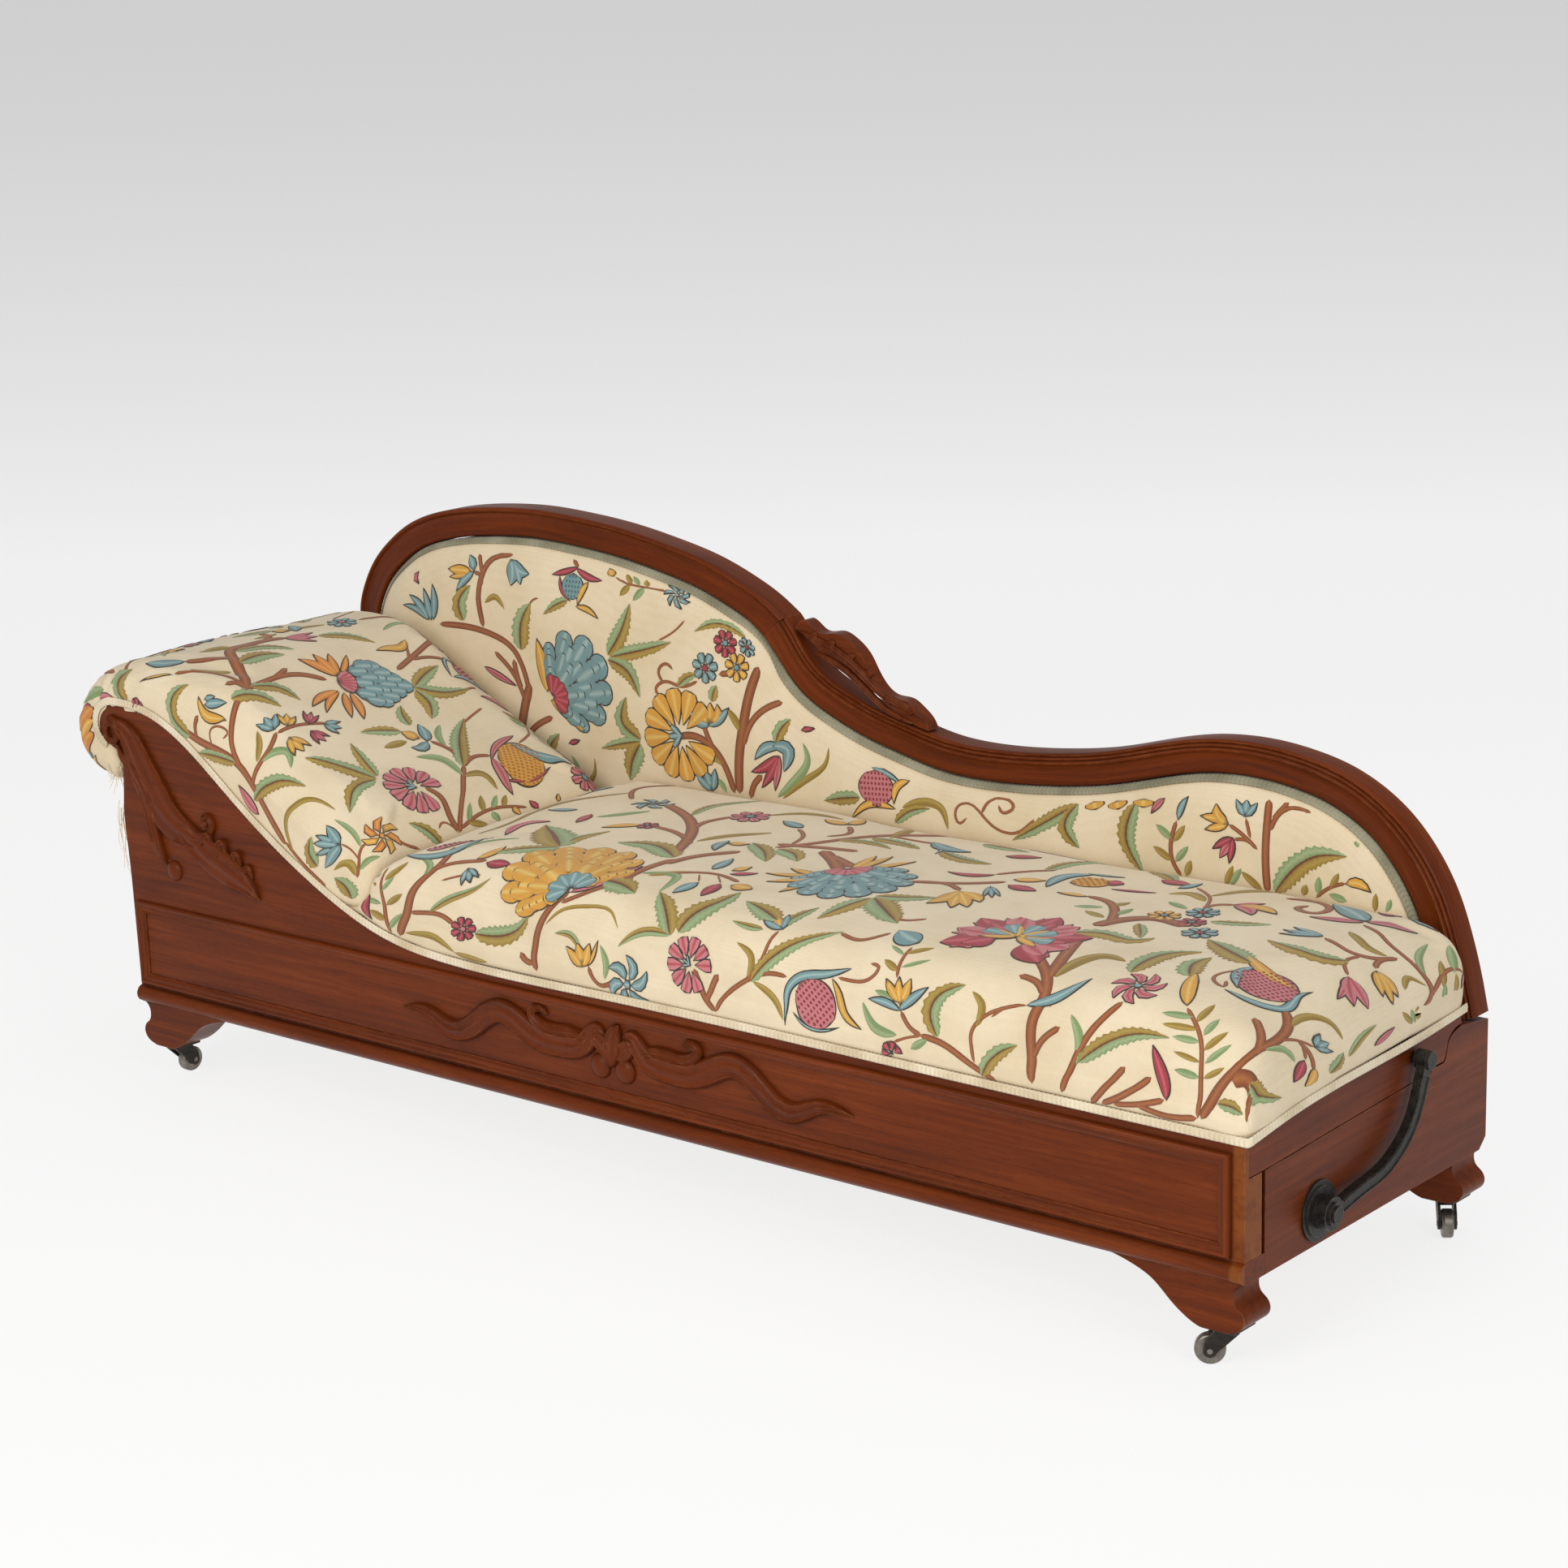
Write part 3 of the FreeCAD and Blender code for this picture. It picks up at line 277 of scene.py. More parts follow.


# The last colour of each wood is the painted shade in its corners.
CHERRY = {
    "deep": "#4E1F09",
    "middle": "#6A2C07",
    "light": "#803A10",
    "worn": "#A8683A",
    "corner_shade": "#1E0D08",
}
wood_long = stained_wood("stained_cherry_lengthwise", "x", **CHERRY)
wood_front = stained_wood("stained_cherry_worn_end", "x", bare_end=0.957, **CHERRY)
wood_deep = stained_wood("stained_cherry_crosswise", "y", **CHERRY)
wood_swept = stained_wood("stained_cherry_moulded", "x", along_uv=True, **CHERRY)
print("cherry finishes:", len(bpy.data.materials))

# %% [markdown]
# Inside, the frame is plain pine, sawn and never polished: paler, coarser, without a coat, and
# gone brown and dusty with age.

# %% Sawn pine
# The last colour of each wood is the painted shade in its corners.
PINE = {
    "deep": "#8A6238",
    "middle": "#A98050",
    "light": "#BE9868",
    "worn": "#CDA878",
    "corner_shade": "#4A3420",
}
pine_long = stained_wood("sawn_pine_lengthwise", "x", gloss=0.72, coat=0.0, **PINE)
pine_deep = stained_wood("sawn_pine_crosswise", "y", gloss=0.72, coat=0.0, **PINE)
print("with the pine:", len(bpy.data.materials))

# %% [markdown]
# The arms and their plates are grey cast iron: the sand of the mould left a pebbled skin, and years
# of oil and hands made it dark gunmetal, with a little rust in the hollows and bare metal on the
# ridges. The casters' plates and forks are iron too, and their wheels are steel, worn bright.

# %% Iron and steel


def worn_metal(name, dark, bright, rust, pebble_mm, depth_mm, rough, metallic, shine):
    """Cast or turned metal, bright on its edges and rusty in its hollows."""
    finish, tree, shader = new_finish(name)
    place = node(tree, "TexCoord").outputs["Object"]
    mottle = noise(tree, place, 9.0, detail=5, rough=0.65)
    round_cells = {"feature": "SMOOTH_F1"}
    pebbles = node(tree, "TexVoronoi", round_cells, Vector=place, Scale=MM / pebble_mm, Smoothness=0.8)
    tone = ramp(tree, mottle, (0.35, dark), (0.7, bright))
    wear = sums(tree, "MULTIPLY", edge_wear(tree, 1.2), shine, clamp=True)
    tone = blend_of(tree, wear, tone, hue("#A8A49A"))
    hollow = sums(tree, "MULTIPLY", corner_shade_and_rust(tree, 8.0), 0.7)
    tone = blend_of(tree, hollow, tone, hue(rust))
    uneven = sums(tree, "ADD", sums(tree, "MULTIPLY", mottle, 0.25), rough)
    paint(tree, shader, Base_Color=tone, Metallic=metallic, Roughness=uneven)
    finish_bump(tree, shader, (pebbles.outputs["Distance"], depth_mm), (mottle, 0.15))
    return finish


cast_iron = worn_metal("aged_cast_iron", "#1C1B19", "#3A3833", "#2A1A10", 2.2, 0.35, 0.34, 0.55, 0.35)
caster_iron = worn_metal("cast_iron_fittings", "#1E1A17", "#38322C", "#3A2214", 1.6, 0.15, 0.38, 0.55, 0.3)
wheel_steel = worn_metal("worn_wheel_steel", "#6A655D", "#8E8981", "#4A3626", 3.0, 0.08, 0.26, 0.85, 0.8)
wire_steel = worn_metal("drawn_spring_wire", "#4A4038", "#6C6054", "#3C2A1C", 3.0, 0.05, 0.32, 0.8, 0.3)
print("finishes so far:", len(bpy.data.materials))

# %% [markdown]
# The couch stands on a pale studio floor that sweeps up behind it into a backdrop. To the eye of
# the camera the sweep is nearly white below and grey above, which a part of its own glow gives;
# the grey further back is painted shade, the light falling off over the sweep. The rest is plain
# matt paint, so that it still takes the couch's shadow. The light is soft: an even sky, one wide
# lamp in front, a weaker one from the foot end and a faint one overhead.

# %% Floor and backdrop
FLOOR_HALF = 9.0
FLOOR_SIDE = 14.0
BACKDROP_HIGH = 9.0
SWEEP_START = 3.2
SWEEP_RADIUS = 5.0
SWEEP_STEPS = 12
stage_mesh = bmesh.new()
front_edge = [stage_mesh.verts.new((x, -FLOOR_HALF, 0)) for x in (-FLOOR_SIDE, FLOOR_SIDE)]
edge = stage_mesh.edges.new(front_edge)
turns = [(SWEEP_START, 0.0)]
for step in range(1, SWEEP_STEPS + 1):
    angle = math.pi / 2 * step / SWEEP_STEPS
    turns.append((SWEEP_START + SWEEP_RADIUS * math.sin(angle), SWEEP_RADIUS * (1 - math.cos(angle))))
turns.append((SWEEP_START + SWEEP_RADIUS, BACKDROP_HIGH))
for y, z in turns:
    grown = bmesh.ops.extrude_edge_only(stage_mesh, edges=[edge])["geom"]
    fresh = [v for v in grown if isinstance(v, bmesh.types.BMVert)]
    for v in fresh:
        v.co = (v.co.x, y, z)
    edge = next(e for e in grown if isinstance(e, bmesh.types.BMEdge) and set(e.verts) == set(fresh))
bmesh.ops.recalc_face_normals(stage_mesh, faces=stage_mesh.faces)
if stage_mesh.faces[:][0].normal.z < 0:
    bmesh.ops.reverse_faces(stage_mesh, faces=stage_mesh.faces)
floor_data = bpy.data.meshes.new("studio_floor")
stage_mesh.to_mesh(floor_data)
stage_mesh.free()
floor_data.shade_smooth()
floor = bpy.data.objects.new("studio_floor", floor_data)
turn_to_camera = Matrix.Rotation(CAMERA_AZIMUTH, 4, "Z")
floor.data.transform(turn_to_camera)
bpy.context.scene.collection.objects.link(floor)

print("the floor sweeps up over", len(turns), "steps")

# %% Its paint and glow
GLOW_SHARE = 0.82
matt_paint, tree, shader = new_finish("matt_studio_paint")
paint_place = node(tree, "TexCoord").outputs["Object"]
about_z = {"rotation_type": "Z_AXIS"}
turned = node(tree, "VectorRotate", about_z, Vector=paint_place, Angle=-CAMERA_AZIMUTH).outputs[0]
apart = node(tree, "SeparateXYZ", Vector=turned)
reach = node(tree, "MapRange", Value=apart.outputs["Y"], i1=0.8, i2=8.2).outputs[0]
# The paint goes from near white in front to grey at the back: painted shade, standing in for the light
# falling off over the sweep.
tone = ramp(tree, reach, (0.0, "#FDFDFD"), (0.45, "#FAFAFA"), (0.75, "#DBDBDB"), (1.0, "#C8C8C8"))
paint(tree, shader, Base_Color=tone, Roughness=0.9)
glow = node(tree, "Emission", Color=tone, Strength=1.0)
seen = node(tree, "LightPath")
straight = sums(tree, "ADD", seen.outputs["Is Camera Ray"], seen.outputs["Is Glossy Ray"], clamp=True)
straight = sums(tree, "ADD", straight, seen.outputs["Is Transmission Ray"], clamp=True)
mixed = node(tree, "MixShader", i0=sums(tree, "MULTIPLY", straight, GLOW_SHARE), i1=shader.outputs[0])
tree.links.new(glow.outputs[0], mixed.inputs[2])
tree.links.new(mixed.outputs[0], tree.nodes["Material Output"].inputs[0])
floor.data.materials.append(matt_paint)
print("glow for the camera:", GLOW_SHARE)

# %% Lights
SKY_STRENGTH = 0.46
world = bpy.data.worlds.new("soft_sky")
bpy.context.scene.world = world
world.use_nodes = True
sky = world.node_tree.nodes["Background"]
sky.inputs[0].default_value = hue("#F4F4F6")
sky.inputs[1].default_value = SKY_STRENGTH


def lamp(name, place, aim, wide, power, tint="#FFFFFF"):
    """A square soft lamp at a place, turned to what it lights."""
    data = bpy.data.lights.new(name, "AREA")
    data.size = wide
    data.energy = power
    data.color = hue(tint)[:3]
    made = bpy.data.objects.new(name, data)
    made.location = place
    made.rotation_euler = (Vector(aim) - Vector(place)).to_track_quat("-Z", "Y").to_euler()
    bpy.context.scene.collection.objects.link(made)
    return made


lamp("key_lamp", (0.5, -4.2, 2.5), (0.0, 0.0, 0.3), 2.6, 104.0, "#FFFAF2")
lamp("fill_lamp", (4.0, -1.8, 2.4), (0.4, 0.0, 0.3), 2.2, 54.0, "#FFFCF6")
lamp("top_lamp", (0.6, 0.6, 3.6), (0.4, 0.0, 0.4), 2.2, 12.0)
bpy.context.scene.view_settings.view_transform = "Standard"
print("lamps:", len(bpy.data.lights))

# %% [markdown]
# Many CAD pieces already have their true shape, above all the plain boards inside, and only need a
# finish. Each is given the wood whose grain runs along its board.

# %% Finishes for the pieces that stay as they are


def coat(finish, *names):
    """Give CAD pieces one finish."""
    for name in names:
        slots = NODES[name].data.materials
        slots.clear()
        slots.append(finish)


coat(wood_long, "base_front_rail", "front_panel_moulding")
coat(wood_front, "base_front_moulding", "front_board")
coat(wood_long, "centre_carving", "head_carving", "crest_carving", "back_crest_rail", "back_serpentine_rail")
coat(wood_deep, "end_board_foot", "end_board_head", "seat_rail_foot", "seat_rail_head")
for row in ("front", "rear"):
    for side in ("left", "right"):
        corner = f"{row}_{side}"
        coat(wood_long, "foot_" + corner)
        coat(caster_iron, "caster_plate_" + corner, "caster_fork_" + corner)
        coat(wheel_steel, "caster_wheel_" + corner, "caster_axle_" + corner)
coat(pine_long, "inner_front_board", "rear_board", "back_foot_rail", "seat_rear_rail", "head_rear_board")
coat(pine_deep, "bed_slats", "head_slats")
for end in ("foot", "head"):
    coat(cast_iron, "swing_arm_" + end, "escutcheon_" + end, "lower_pin_" + end, "upper_pin_" + end)
print("finishes on CAD pieces are set")

# %% [markdown]
# Nearly every piece of wood, braid and iron here is one cross section carried along a line. The
# line is a smooth curve through a few measured points. The section is a ring of vertices, and the
# bmesh extrude operator carries it on from one station to the next, as a plane carries a moulding
# along a board. Each vertex keeps its distance along and across, which becomes the piece's own UV
# map, so that grain and weave follow the curve.

# %% Smooth lines


def smooth_line(points, count):
    """A natural cubic curve through the points, as evenly spaced samples."""
    given = np.array(points, float)
    gaps = np.linalg.norm(np.diff(given, axis=0), axis=1)
    when = np.concatenate([[0], np.cumsum(gaps)])
    last = len(given) - 1
    system = np.eye(last + 1)
    target = np.zeros_like(given)
    for i in range(1, last):
        before, after = gaps[i - 1], gaps[i]
        system[i, i - 1 : i + 2] = before, 2 * (before + after), after
        target[i] = 6 * ((given[i + 1] - given[i]) / after - (given[i] - given[i - 1]) / before)
    bend = np.linalg.solve(system, target)
    t = np.linspace(0, when[-1], count * 6)
    k = np.clip(np.searchsorted(when, t, side="right") - 1, 0, last - 1)
    h, ahead, past = gaps[k][:, None], (when[k + 1] - t)[:, None], (t - when[k])[:, None]
    curve = bend[k] * ahead**3 / (6 * h) + bend[k + 1] * past**3 / (6 * h)
    curve += (given[k] / h - bend[k] * h / 6) * ahead + (given[k + 1] / h - bend[k + 1] * h / 6) * past
    return even_line(curve, count)


def even_line(points, count):
    """The same line with its points evenly spaced."""
    given = np.array(points, float)
    walked = np.concatenate([[0], np.cumsum(np.linalg.norm(np.diff(given, axis=0), axis=1))])
    places = np.linspace(0, walked[-1], count)
    return np.stack([np.interp(places, walked, given[:, i]) for i in range(given.shape[1])], axis=1)


def sideways(points):
    """The unit direction to the right of a flat line, at each of its points."""
    run = np.gradient(np.array(points, float), axis=0)
    run /= np.linalg.norm(run, axis=1)[:, None] + 1e-12
    return np.stack([run[:, 1], -run[:, 0]], axis=1)


def beside(points, distance):
    """The line that runs beside a flat line, to its right."""
    return np.array(points, float) + sideways(points) * distance


print("a line through 3 points:", smooth_line([(0, 0), (50, 20), (100, 0)], 5).round(1).tolist())

# %% Carry a section along stations


def carry(bm, rings, marks=None, caps=True):
    """Extrude a ring of vertices through the stations. marks gets each vertex's (along, across)."""
    first = [bm.verts.new(p) for p in rings[0]]
    edges = [bm.edges.new(pair) for pair in zip(first, first[1:] + first[:1])]
    across = np.concatenate([[0], np.cumsum([(b.co - a.co).length for a, b in zip(first, first[1:])])])
    along = 0.0
    ring = first
    if marks is not None:
        marks.update({v: (0.0, across[i]) for i, v in enumerate(first)})
    for station in rings[1:]:
        made = bmesh.ops.extrude_edge_only(bm, edges=edges)["geom"]
        fresh = {v for v in made if isinstance(v, bmesh.types.BMVert)}
        follow = [next(e.other_vert(v) for e in v.link_edges if e.other_vert(v) in fresh) for v in ring]
        along += (Vector(station[0]) - ring[0].co).length
        for i, (v, place) in enumerate(zip(follow, station)):
            v.co = place
            if marks is not None:
                marks[v] = (along, across[i])
        edges = [e for e in made if isinstance(e, bmesh.types.BMEdge) and set(e.verts) <= fresh]
        ring = follow
    if caps:
        bm.faces.new(first)
        bm.faces.new(ring)


# %% From a mesh to a named piece


def mesh_object(name, bm, finish):
    """A mesh object with one finish."""
    data = bpy.data.meshes.new(name)
    bm.to_mesh(data)
    bm.free()
    made = bpy.data.objects.new(name, data)
    bpy.context.scene.collection.objects.link(made)
    data.materials.append(finish)
    return made


def piece(name, bm, finish, body, slot, marks=None, smooth=40, outward=True, replaces=()):
    """Turn a bmesh into a named piece that rides on a CAD body. smooth is the sharpest smooth angle."""
    if outward:
        bmesh.ops.recalc_face_normals(bm, faces=bm.faces)
    if marks:
        layer = bm.loops.layers.uv.new("lengthwise")
        for face in bm.faces:
            for loop in face.loops:
                loop[layer].uv = marks.get(loop.vert, (0.0, 0.0))
    made = mesh_object(name, bm, finish)
    if smooth:
        made.data.shade_smooth()
        made.data.set_sharp_from_angle(angle=math.radians(smooth))
    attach(made, body)
    if replaces:
        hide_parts(*replaces)
    print(name, len(made.data.polygons), "faces")
    return made


# %% Mouldings between two lines


def ruled(outer, inner, section, front):
    """Stations whose section runs from an outer line to an inner one, all in x and z.
    A section point is (share of the way across, millimetres back from the front)."""
    rings = []
    for (ox, oz), (ix, iz) in zip(outer, inner):
        rings.append([at(ox + (ix - ox) * s, front + y, oz + (iz - oz) * s) for s, y in section])
    return rings


# %% [markdown]
# The back's frame is two moulded rails that meet in a mitre at the shoulder. The upper one has a
# thin bead along its outer edge and a broad, slightly hollow face. The lower one adds three
# stepped reeds. Their outer lines are the CAD's; the inner line runs 43 mm beside, and at the
# mitre both bend to meet on one line.

# %% The back's moulded rails
RAIL_WIDE = 43.0
RAIL_FRONT = 510.0
MITRE_SHARE = 0.06
UPPER_LINE = [(0, 283.5), (0, 350), (-14, 425), (-34, 500), (-46, 560), (-46, 600), (-34, 634), (-11, 671)]
UPPER_LINE += [(27, 707), (66, 733), (132, 757), (199, 769), (265, 775), (331, 777), (395, 774), (488, 765)]
UPPER_LINE += [(579, 749), (650, 732), (712, 709), (757, 687), (790, 665)]
LOWER_LINE = [(790, 665), (806, 645), (822, 622), (846, 598), (885, 577), (947, 554), (1002, 540)]
LOWER_LINE += [(1058, 528), (1112, 524), (1191, 527), (1255, 534), (1319, 545), (1392, 564)]
LOWER_LINE += [(1466, 580), (1514, 584)]
LOWER_LINE += [(1561, 583), (1607, 577), (1653, 566), (1699, 546), (1744, 514), (1778, 476), (1806, 430)]
LOWER_LINE += [(1826, 378), (1840, 329), (1850, 283.5)]
MITRE_INNER = np.array((754.0, 634.0))
UPPER_SECTION = [(0, 42), (0, 6), (0.5, 3), (2, 1), (4.4, 0), (6.4, 0.9), (7.6, 2.6), (9, 4.4), (12, 5.0)]
UPPER_SECTION += [(18, 4.7), (25, 3.7), (31, 2.4), (35, 1.3), (38.4, 1.2), (41, 2.6), (42.5, 6), (43, 10)]
UPPER_SECTION += [(43, 42)]
LOWER_SECTION = [(0, 42), (0, 10), (0.8, 7.6), (2.8, 6.2), (4.6, 7.0), (5.0, 8.2), (5.4, 5.6), (7.2, 3.6)]
LOWER_SECTION += [(9.2, 4.2), (9.8, 5.6), (10.2, 2.4), (12.2, 0.4), (14.4, 1.0), (15.4, 2.8), (17, 3.9)]
LOWER_SECTION += [(24, 3.8), (31, 2.6), (36, 1.4), (39.4, 1.6), (41.6, 3.4), (42.8, 6.5), (43, 12), (43, 42)]


def eased(values):
    """A smooth step from 0 to 1."""
    values = np.clip(values, 0, 1)
    return values * values * (3 - 2 * values)


def rail_lines(points, count, mitre_at_end):
    """A rail's outer and inner lines, the inner one bent to the mitre."""
    outer = smooth_line(points, count)
    inner = beside(outer, RAIL_WIDE)
    place = np.linspace(0, 1, count)
    from_mitre = 1 - place if mitre_at_end else place
    near = eased((MITRE_SHARE - from_mitre) / MITRE_SHARE)
    inner += near[:, None] * (MITRE_INNER - inner[-1 if mitre_at_end else 0])
    return outer, inner


upper_outer, upper_inner = rail_lines(UPPER_LINE, 150, True)
lower_outer, lower_inner = rail_lines(LOWER_LINE, 170, False)
for name, stands_for, outer, inner, section in (
    ("back_crest_moulding", "back_crest_rail", upper_outer, upper_inner, UPPER_SECTION),
    ("back_serpentine_moulding", "back_serpentine_rail", lower_outer, lower_inner, LOWER_SECTION),
):
    shares = [(wide / RAIL_WIDE, deep) for wide, deep in section]
    bm, marks = bmesh.new(), {}
    carry(bm, ruled(outer, inner, shares, RAIL_FRONT), marks)
    piece(name, bm, wood_swept, "base", "polished_wood", marks, replaces=[stands_for])

# %% [markdown]
# The front panel is framed by a small ogee moulding, mitred at the corners. The same carrying tool
# makes it: four corners, and the first one again to close the frame.

# %% The front panel's frame
PANEL_LEFT, PANEL_RIGHT, PANEL_LOW, PANEL_HIGH = 6.0, 1833.0, 138.5, 262.0
PANEL_RIM = 16.0
OGEE = [(0, 0), (0, -3.4), (0.07, -5.6), (0.18, -7.6), (0.32, -7.9), (0.42, -6.8), (0.47, -5.2), (0.56, -4.9)]
OGEE += [(0.68, -5.3), (0.78, -4.4), (0.86, -2.6), (0.95, -1.9), (1, -1.5), (1, 0)]


def corners(inset):
    """The panel's corners, drawn in and back to the start."""
    left, right_side = PANEL_LEFT + inset, PANEL_RIGHT - inset
    low, high = PANEL_LOW + inset, PANEL_HIGH - inset
    return [(left, low), (right_side, low), (right_side, high), (left, high), (left, low)]


bm, marks = bmesh.new(), {}
carry(bm, ruled(corners(0), corners(PANEL_RIM), OGEE, 0.0), marks, caps=False)
stands_for = ["front_panel_moulding"]
piece("front_panel_frame", bm, wood_swept, "seat", "polished_wood", marks, 50, replaces=stands_for)

# %% [markdown]
# The covers are cream cotton twill, closely woven, a little yellow with age and worn thin in
# places. Its real threads are half a millimetre apart; they are drawn four times as coarse here, so
# that the weave still shows at this distance. Soft sheen at grazing angles comes from the fuzz of
# the cotton. The wave texture takes the sine of twenty times the place, so the scale allows for it.

# %% Cream cotton twill
THREAD_MM = 2.1
WAVE_FACTOR = 20


def woven(name, colour, shade, stain_and_shade, thread_mm, depth_mm, rough=0.85, stripes=None):
    """Woven cloth with uneven threads, slight stains, painted shade in its folds and corners, and a soft
    sheen.
    stripes are (distance apart, width, colour)."""
    finish, tree, shader = new_finish(name)
    place = node(tree, "TexCoord").outputs["Object"]
    ripple = noise(tree, place, 38.0, detail=2)
    threads = []
    bands = {"Scale": 2 * math.pi * MM / thread_mm / WAVE_FACTOR, "Distortion": 1.2}
    for direction in ("X", "Y", "Z"):
        settings = {"wave_type": "BANDS", "bands_direction": direction}
        wave = node(tree, "TexWave", settings, Vector=place, Detail=1.0, Detail_Scale=0.4, **bands)
        threads.append(wave.outputs["Fac"])
    weave = sums(tree, "MULTIPLY", sums(tree, "ADD", sums(tree, "ADD", *threads[:2]), threads[2]), 0.33)
    slubs = noise(tree, stretched(tree, place, (1, 0.25, 0.4)), 3.4, detail=3)
    cloudy = noise(tree, place, 120.0, detail=4, rough=0.6)
    tone = ramp(tree, cloudy, (0.36, shade), (0.62, colour))
    gaps = sums(tree, "MULTIPLY", sums(tree, "SUBTRACT", 1.0, weave), 0.14)
    tone = blend_of(tree, gaps, tone, hue(stain_and_shade), "MULTIPLY")
    tone = blend_of(tree, sums(tree, "MULTIPLY", slubs, 0.12), tone, hue(shade), "MULTIPLY")
    blots = noise(tree, place, 60.0, detail=5, rough=0.7)
    spots = ramp(tree, blots, (0.60, "#000000"), (0.80, "#FFFFFF"))
    tone = blend_of(tree, sums(tree, "MULTIPLY", spots, 0.16), tone, hue(stain_and_shade))
    # Painted shade: the cloth is darkened in the stain colour in its folds and where it meets other parts,
    # found by ambient occlusion.
    fold_shade = corner_shade_and_rust(tree, 26.0)
    tone = blend_of(tree, sums(tree, "MULTIPLY", fold_shade, 0.45, clamp=True), tone, hue(stain_and_shade), "MULTIPLY")
    if stripes:
        apart, wide, code = stripes
        band = node(tree, "SeparateXYZ", Vector=place).outputs["X"]
        beat = sums(tree, "FRACT", sums(tree, "MULTIPLY", band, MM / apart))
        inside = sums(tree, "LESS_THAN", beat, wide / apart)
        tone = blend_of(tree, sums(tree, "MULTIPLY", inside, 0.85), tone, hue(code))
    paint(tree, shader, Base_Color=tone, Roughness=rough, Sheen_Weight=0.2, Sheen_Roughness=0.5)
    finish_bump(tree, shader, (weave, depth_mm), (slubs, depth_mm * 0.8), (ripple, 0.6))
    return finish


cream_cotton = woven("cream_cotton_twill", "#E9DBBF", "#E0D0B0", "#C0A67E", THREAD_MM, 0.22)
print("cotton drawn with threads", THREAD_MM, "mm apart")

# %% [markdown]
# Each seat and head cushion starts as rings of points carried from one end to the other. A ring
# begins at the tacked seam along the front board, goes up the flank, over a round shoulder, back
# across the top and down to the underside. Three lines steer the rings: the top, the seam and the
# underside, each given in x and z.

# %% Rings for a stuffed pad
SEAM_TURN = 8.0
UNDERSIDE_FRONT = 32.0


def pad_rings(rows, count, front, rear, front_round, rear_round):
    """Rings of a pad. A row holds top x, z, seam x, z and underside x, z."""
    rings = []
    for row in smooth_line(rows, count):
        top, seam, low = row[:2], row[2:4], row[4:]
        rise = np.linalg.norm(top - seam)
        bend = min(front_round, 0.78 * rise)
        ring = [(seam + (top - seam) * s * (rise - bend) / rise, front) for s in (0.0, 0.35, 0.7)]
        ring[0] = (seam - (top - seam) / rise * SEAM_TURN, front)
        for turn in np.radians(np.linspace(0, 90, 8)):
            part = (rise - bend + bend * math.sin(turn)) / rise
            ring.append((seam + (top - seam) * part, front + bend * (1 - math.cos(turn))))
        back = rear - rear_round
        ring += [(top, y) for y in np.linspace(front + bend, back, 14)[1:]]
        deep = np.linalg.norm(low - top)
        bend = min(rear_round, 0.45 * deep)
        for turn in np.radians((30, 60, 90)):
            part = bend * (1 - math.cos(turn)) / deep
            ring.append((top + (low - top) * part, back + rear_round * math.sin(turn)))
        ring += [(low, rear), (low, (rear + 30) / 2), (low, UNDERSIDE_FRONT)]
        ring.append((seam * 0.7 + low * 0.3 - (0, 9), 10.0))
        rings.append([at(p[0], y, p[1]) for p, y in ring])
    return rings


# %% [markdown]
# Then a voxel remesh gives the pad an even skin, the Cloth modifier blows it up a little with
# pressure while its tacked edges are held, and no point may move further than a cap. What comes
# out has the tight, slightly uneven swell of real stuffing.

# %% A pad's skin


def evenly_skinned(name, bm, finish, voxel_mm):
    """Make a closed shape an object and remesh it into even faces."""
    bmesh.ops.recalc_face_normals(bm, faces=bm.faces)
    made = mesh_object(name, bm, finish)
    change = made.modifiers.new("skin", "REMESH")
    change.mode = "VOXEL"
    change.voxel_size = voxel_mm / MM
    bpy.context.view_layer.update()
    baked = bpy.data.meshes.new_from_object(made.evaluated_get(bpy.context.evaluated_depsgraph_get()))
    made.modifiers.clear()
    made.data = baked
    return made


def points_of(data):
    """A mesh's vertices as an array in the couch's millimetres."""
    place = np.empty(len(data.vertices) * 3)
    data.vertices.foreach_get("co", place)
    return place.reshape(-1, 3) * MM + ORIGIN


def set_points(data, place):
    """Move a mesh's vertices, given in the couch's millimetres."""
    data.vertices.foreach_set("co", np.ascontiguousarray((place - ORIGIN) / MM, float).ravel())
    data.update()


def relaxed(made, times, share=0.5):
    """Even out a skin a little."""
    bm = bmesh.new()
    bm.from_mesh(made.data)
    every_way = {"use_axis_x": True, "use_axis_y": True, "use_axis_z": True}
    for _ in range(times):
        bmesh.ops.smooth_vert(bm, verts=bm.verts, factor=share, **every_way)
    bm.to_mesh(made.data)
    bm.free()


# %% Stuffing a pad
STUFFING_FRAMES = 20
CLOTH_SETTINGS = {
    "quality": 4,
    "mass": 0.3,
    "tension_stiffness": 12,
    "compression_stiffness": 12,
    "bending_stiffness": 0.6,
    "use_pressure": True,
    "vertex_group_mass": "held",
}


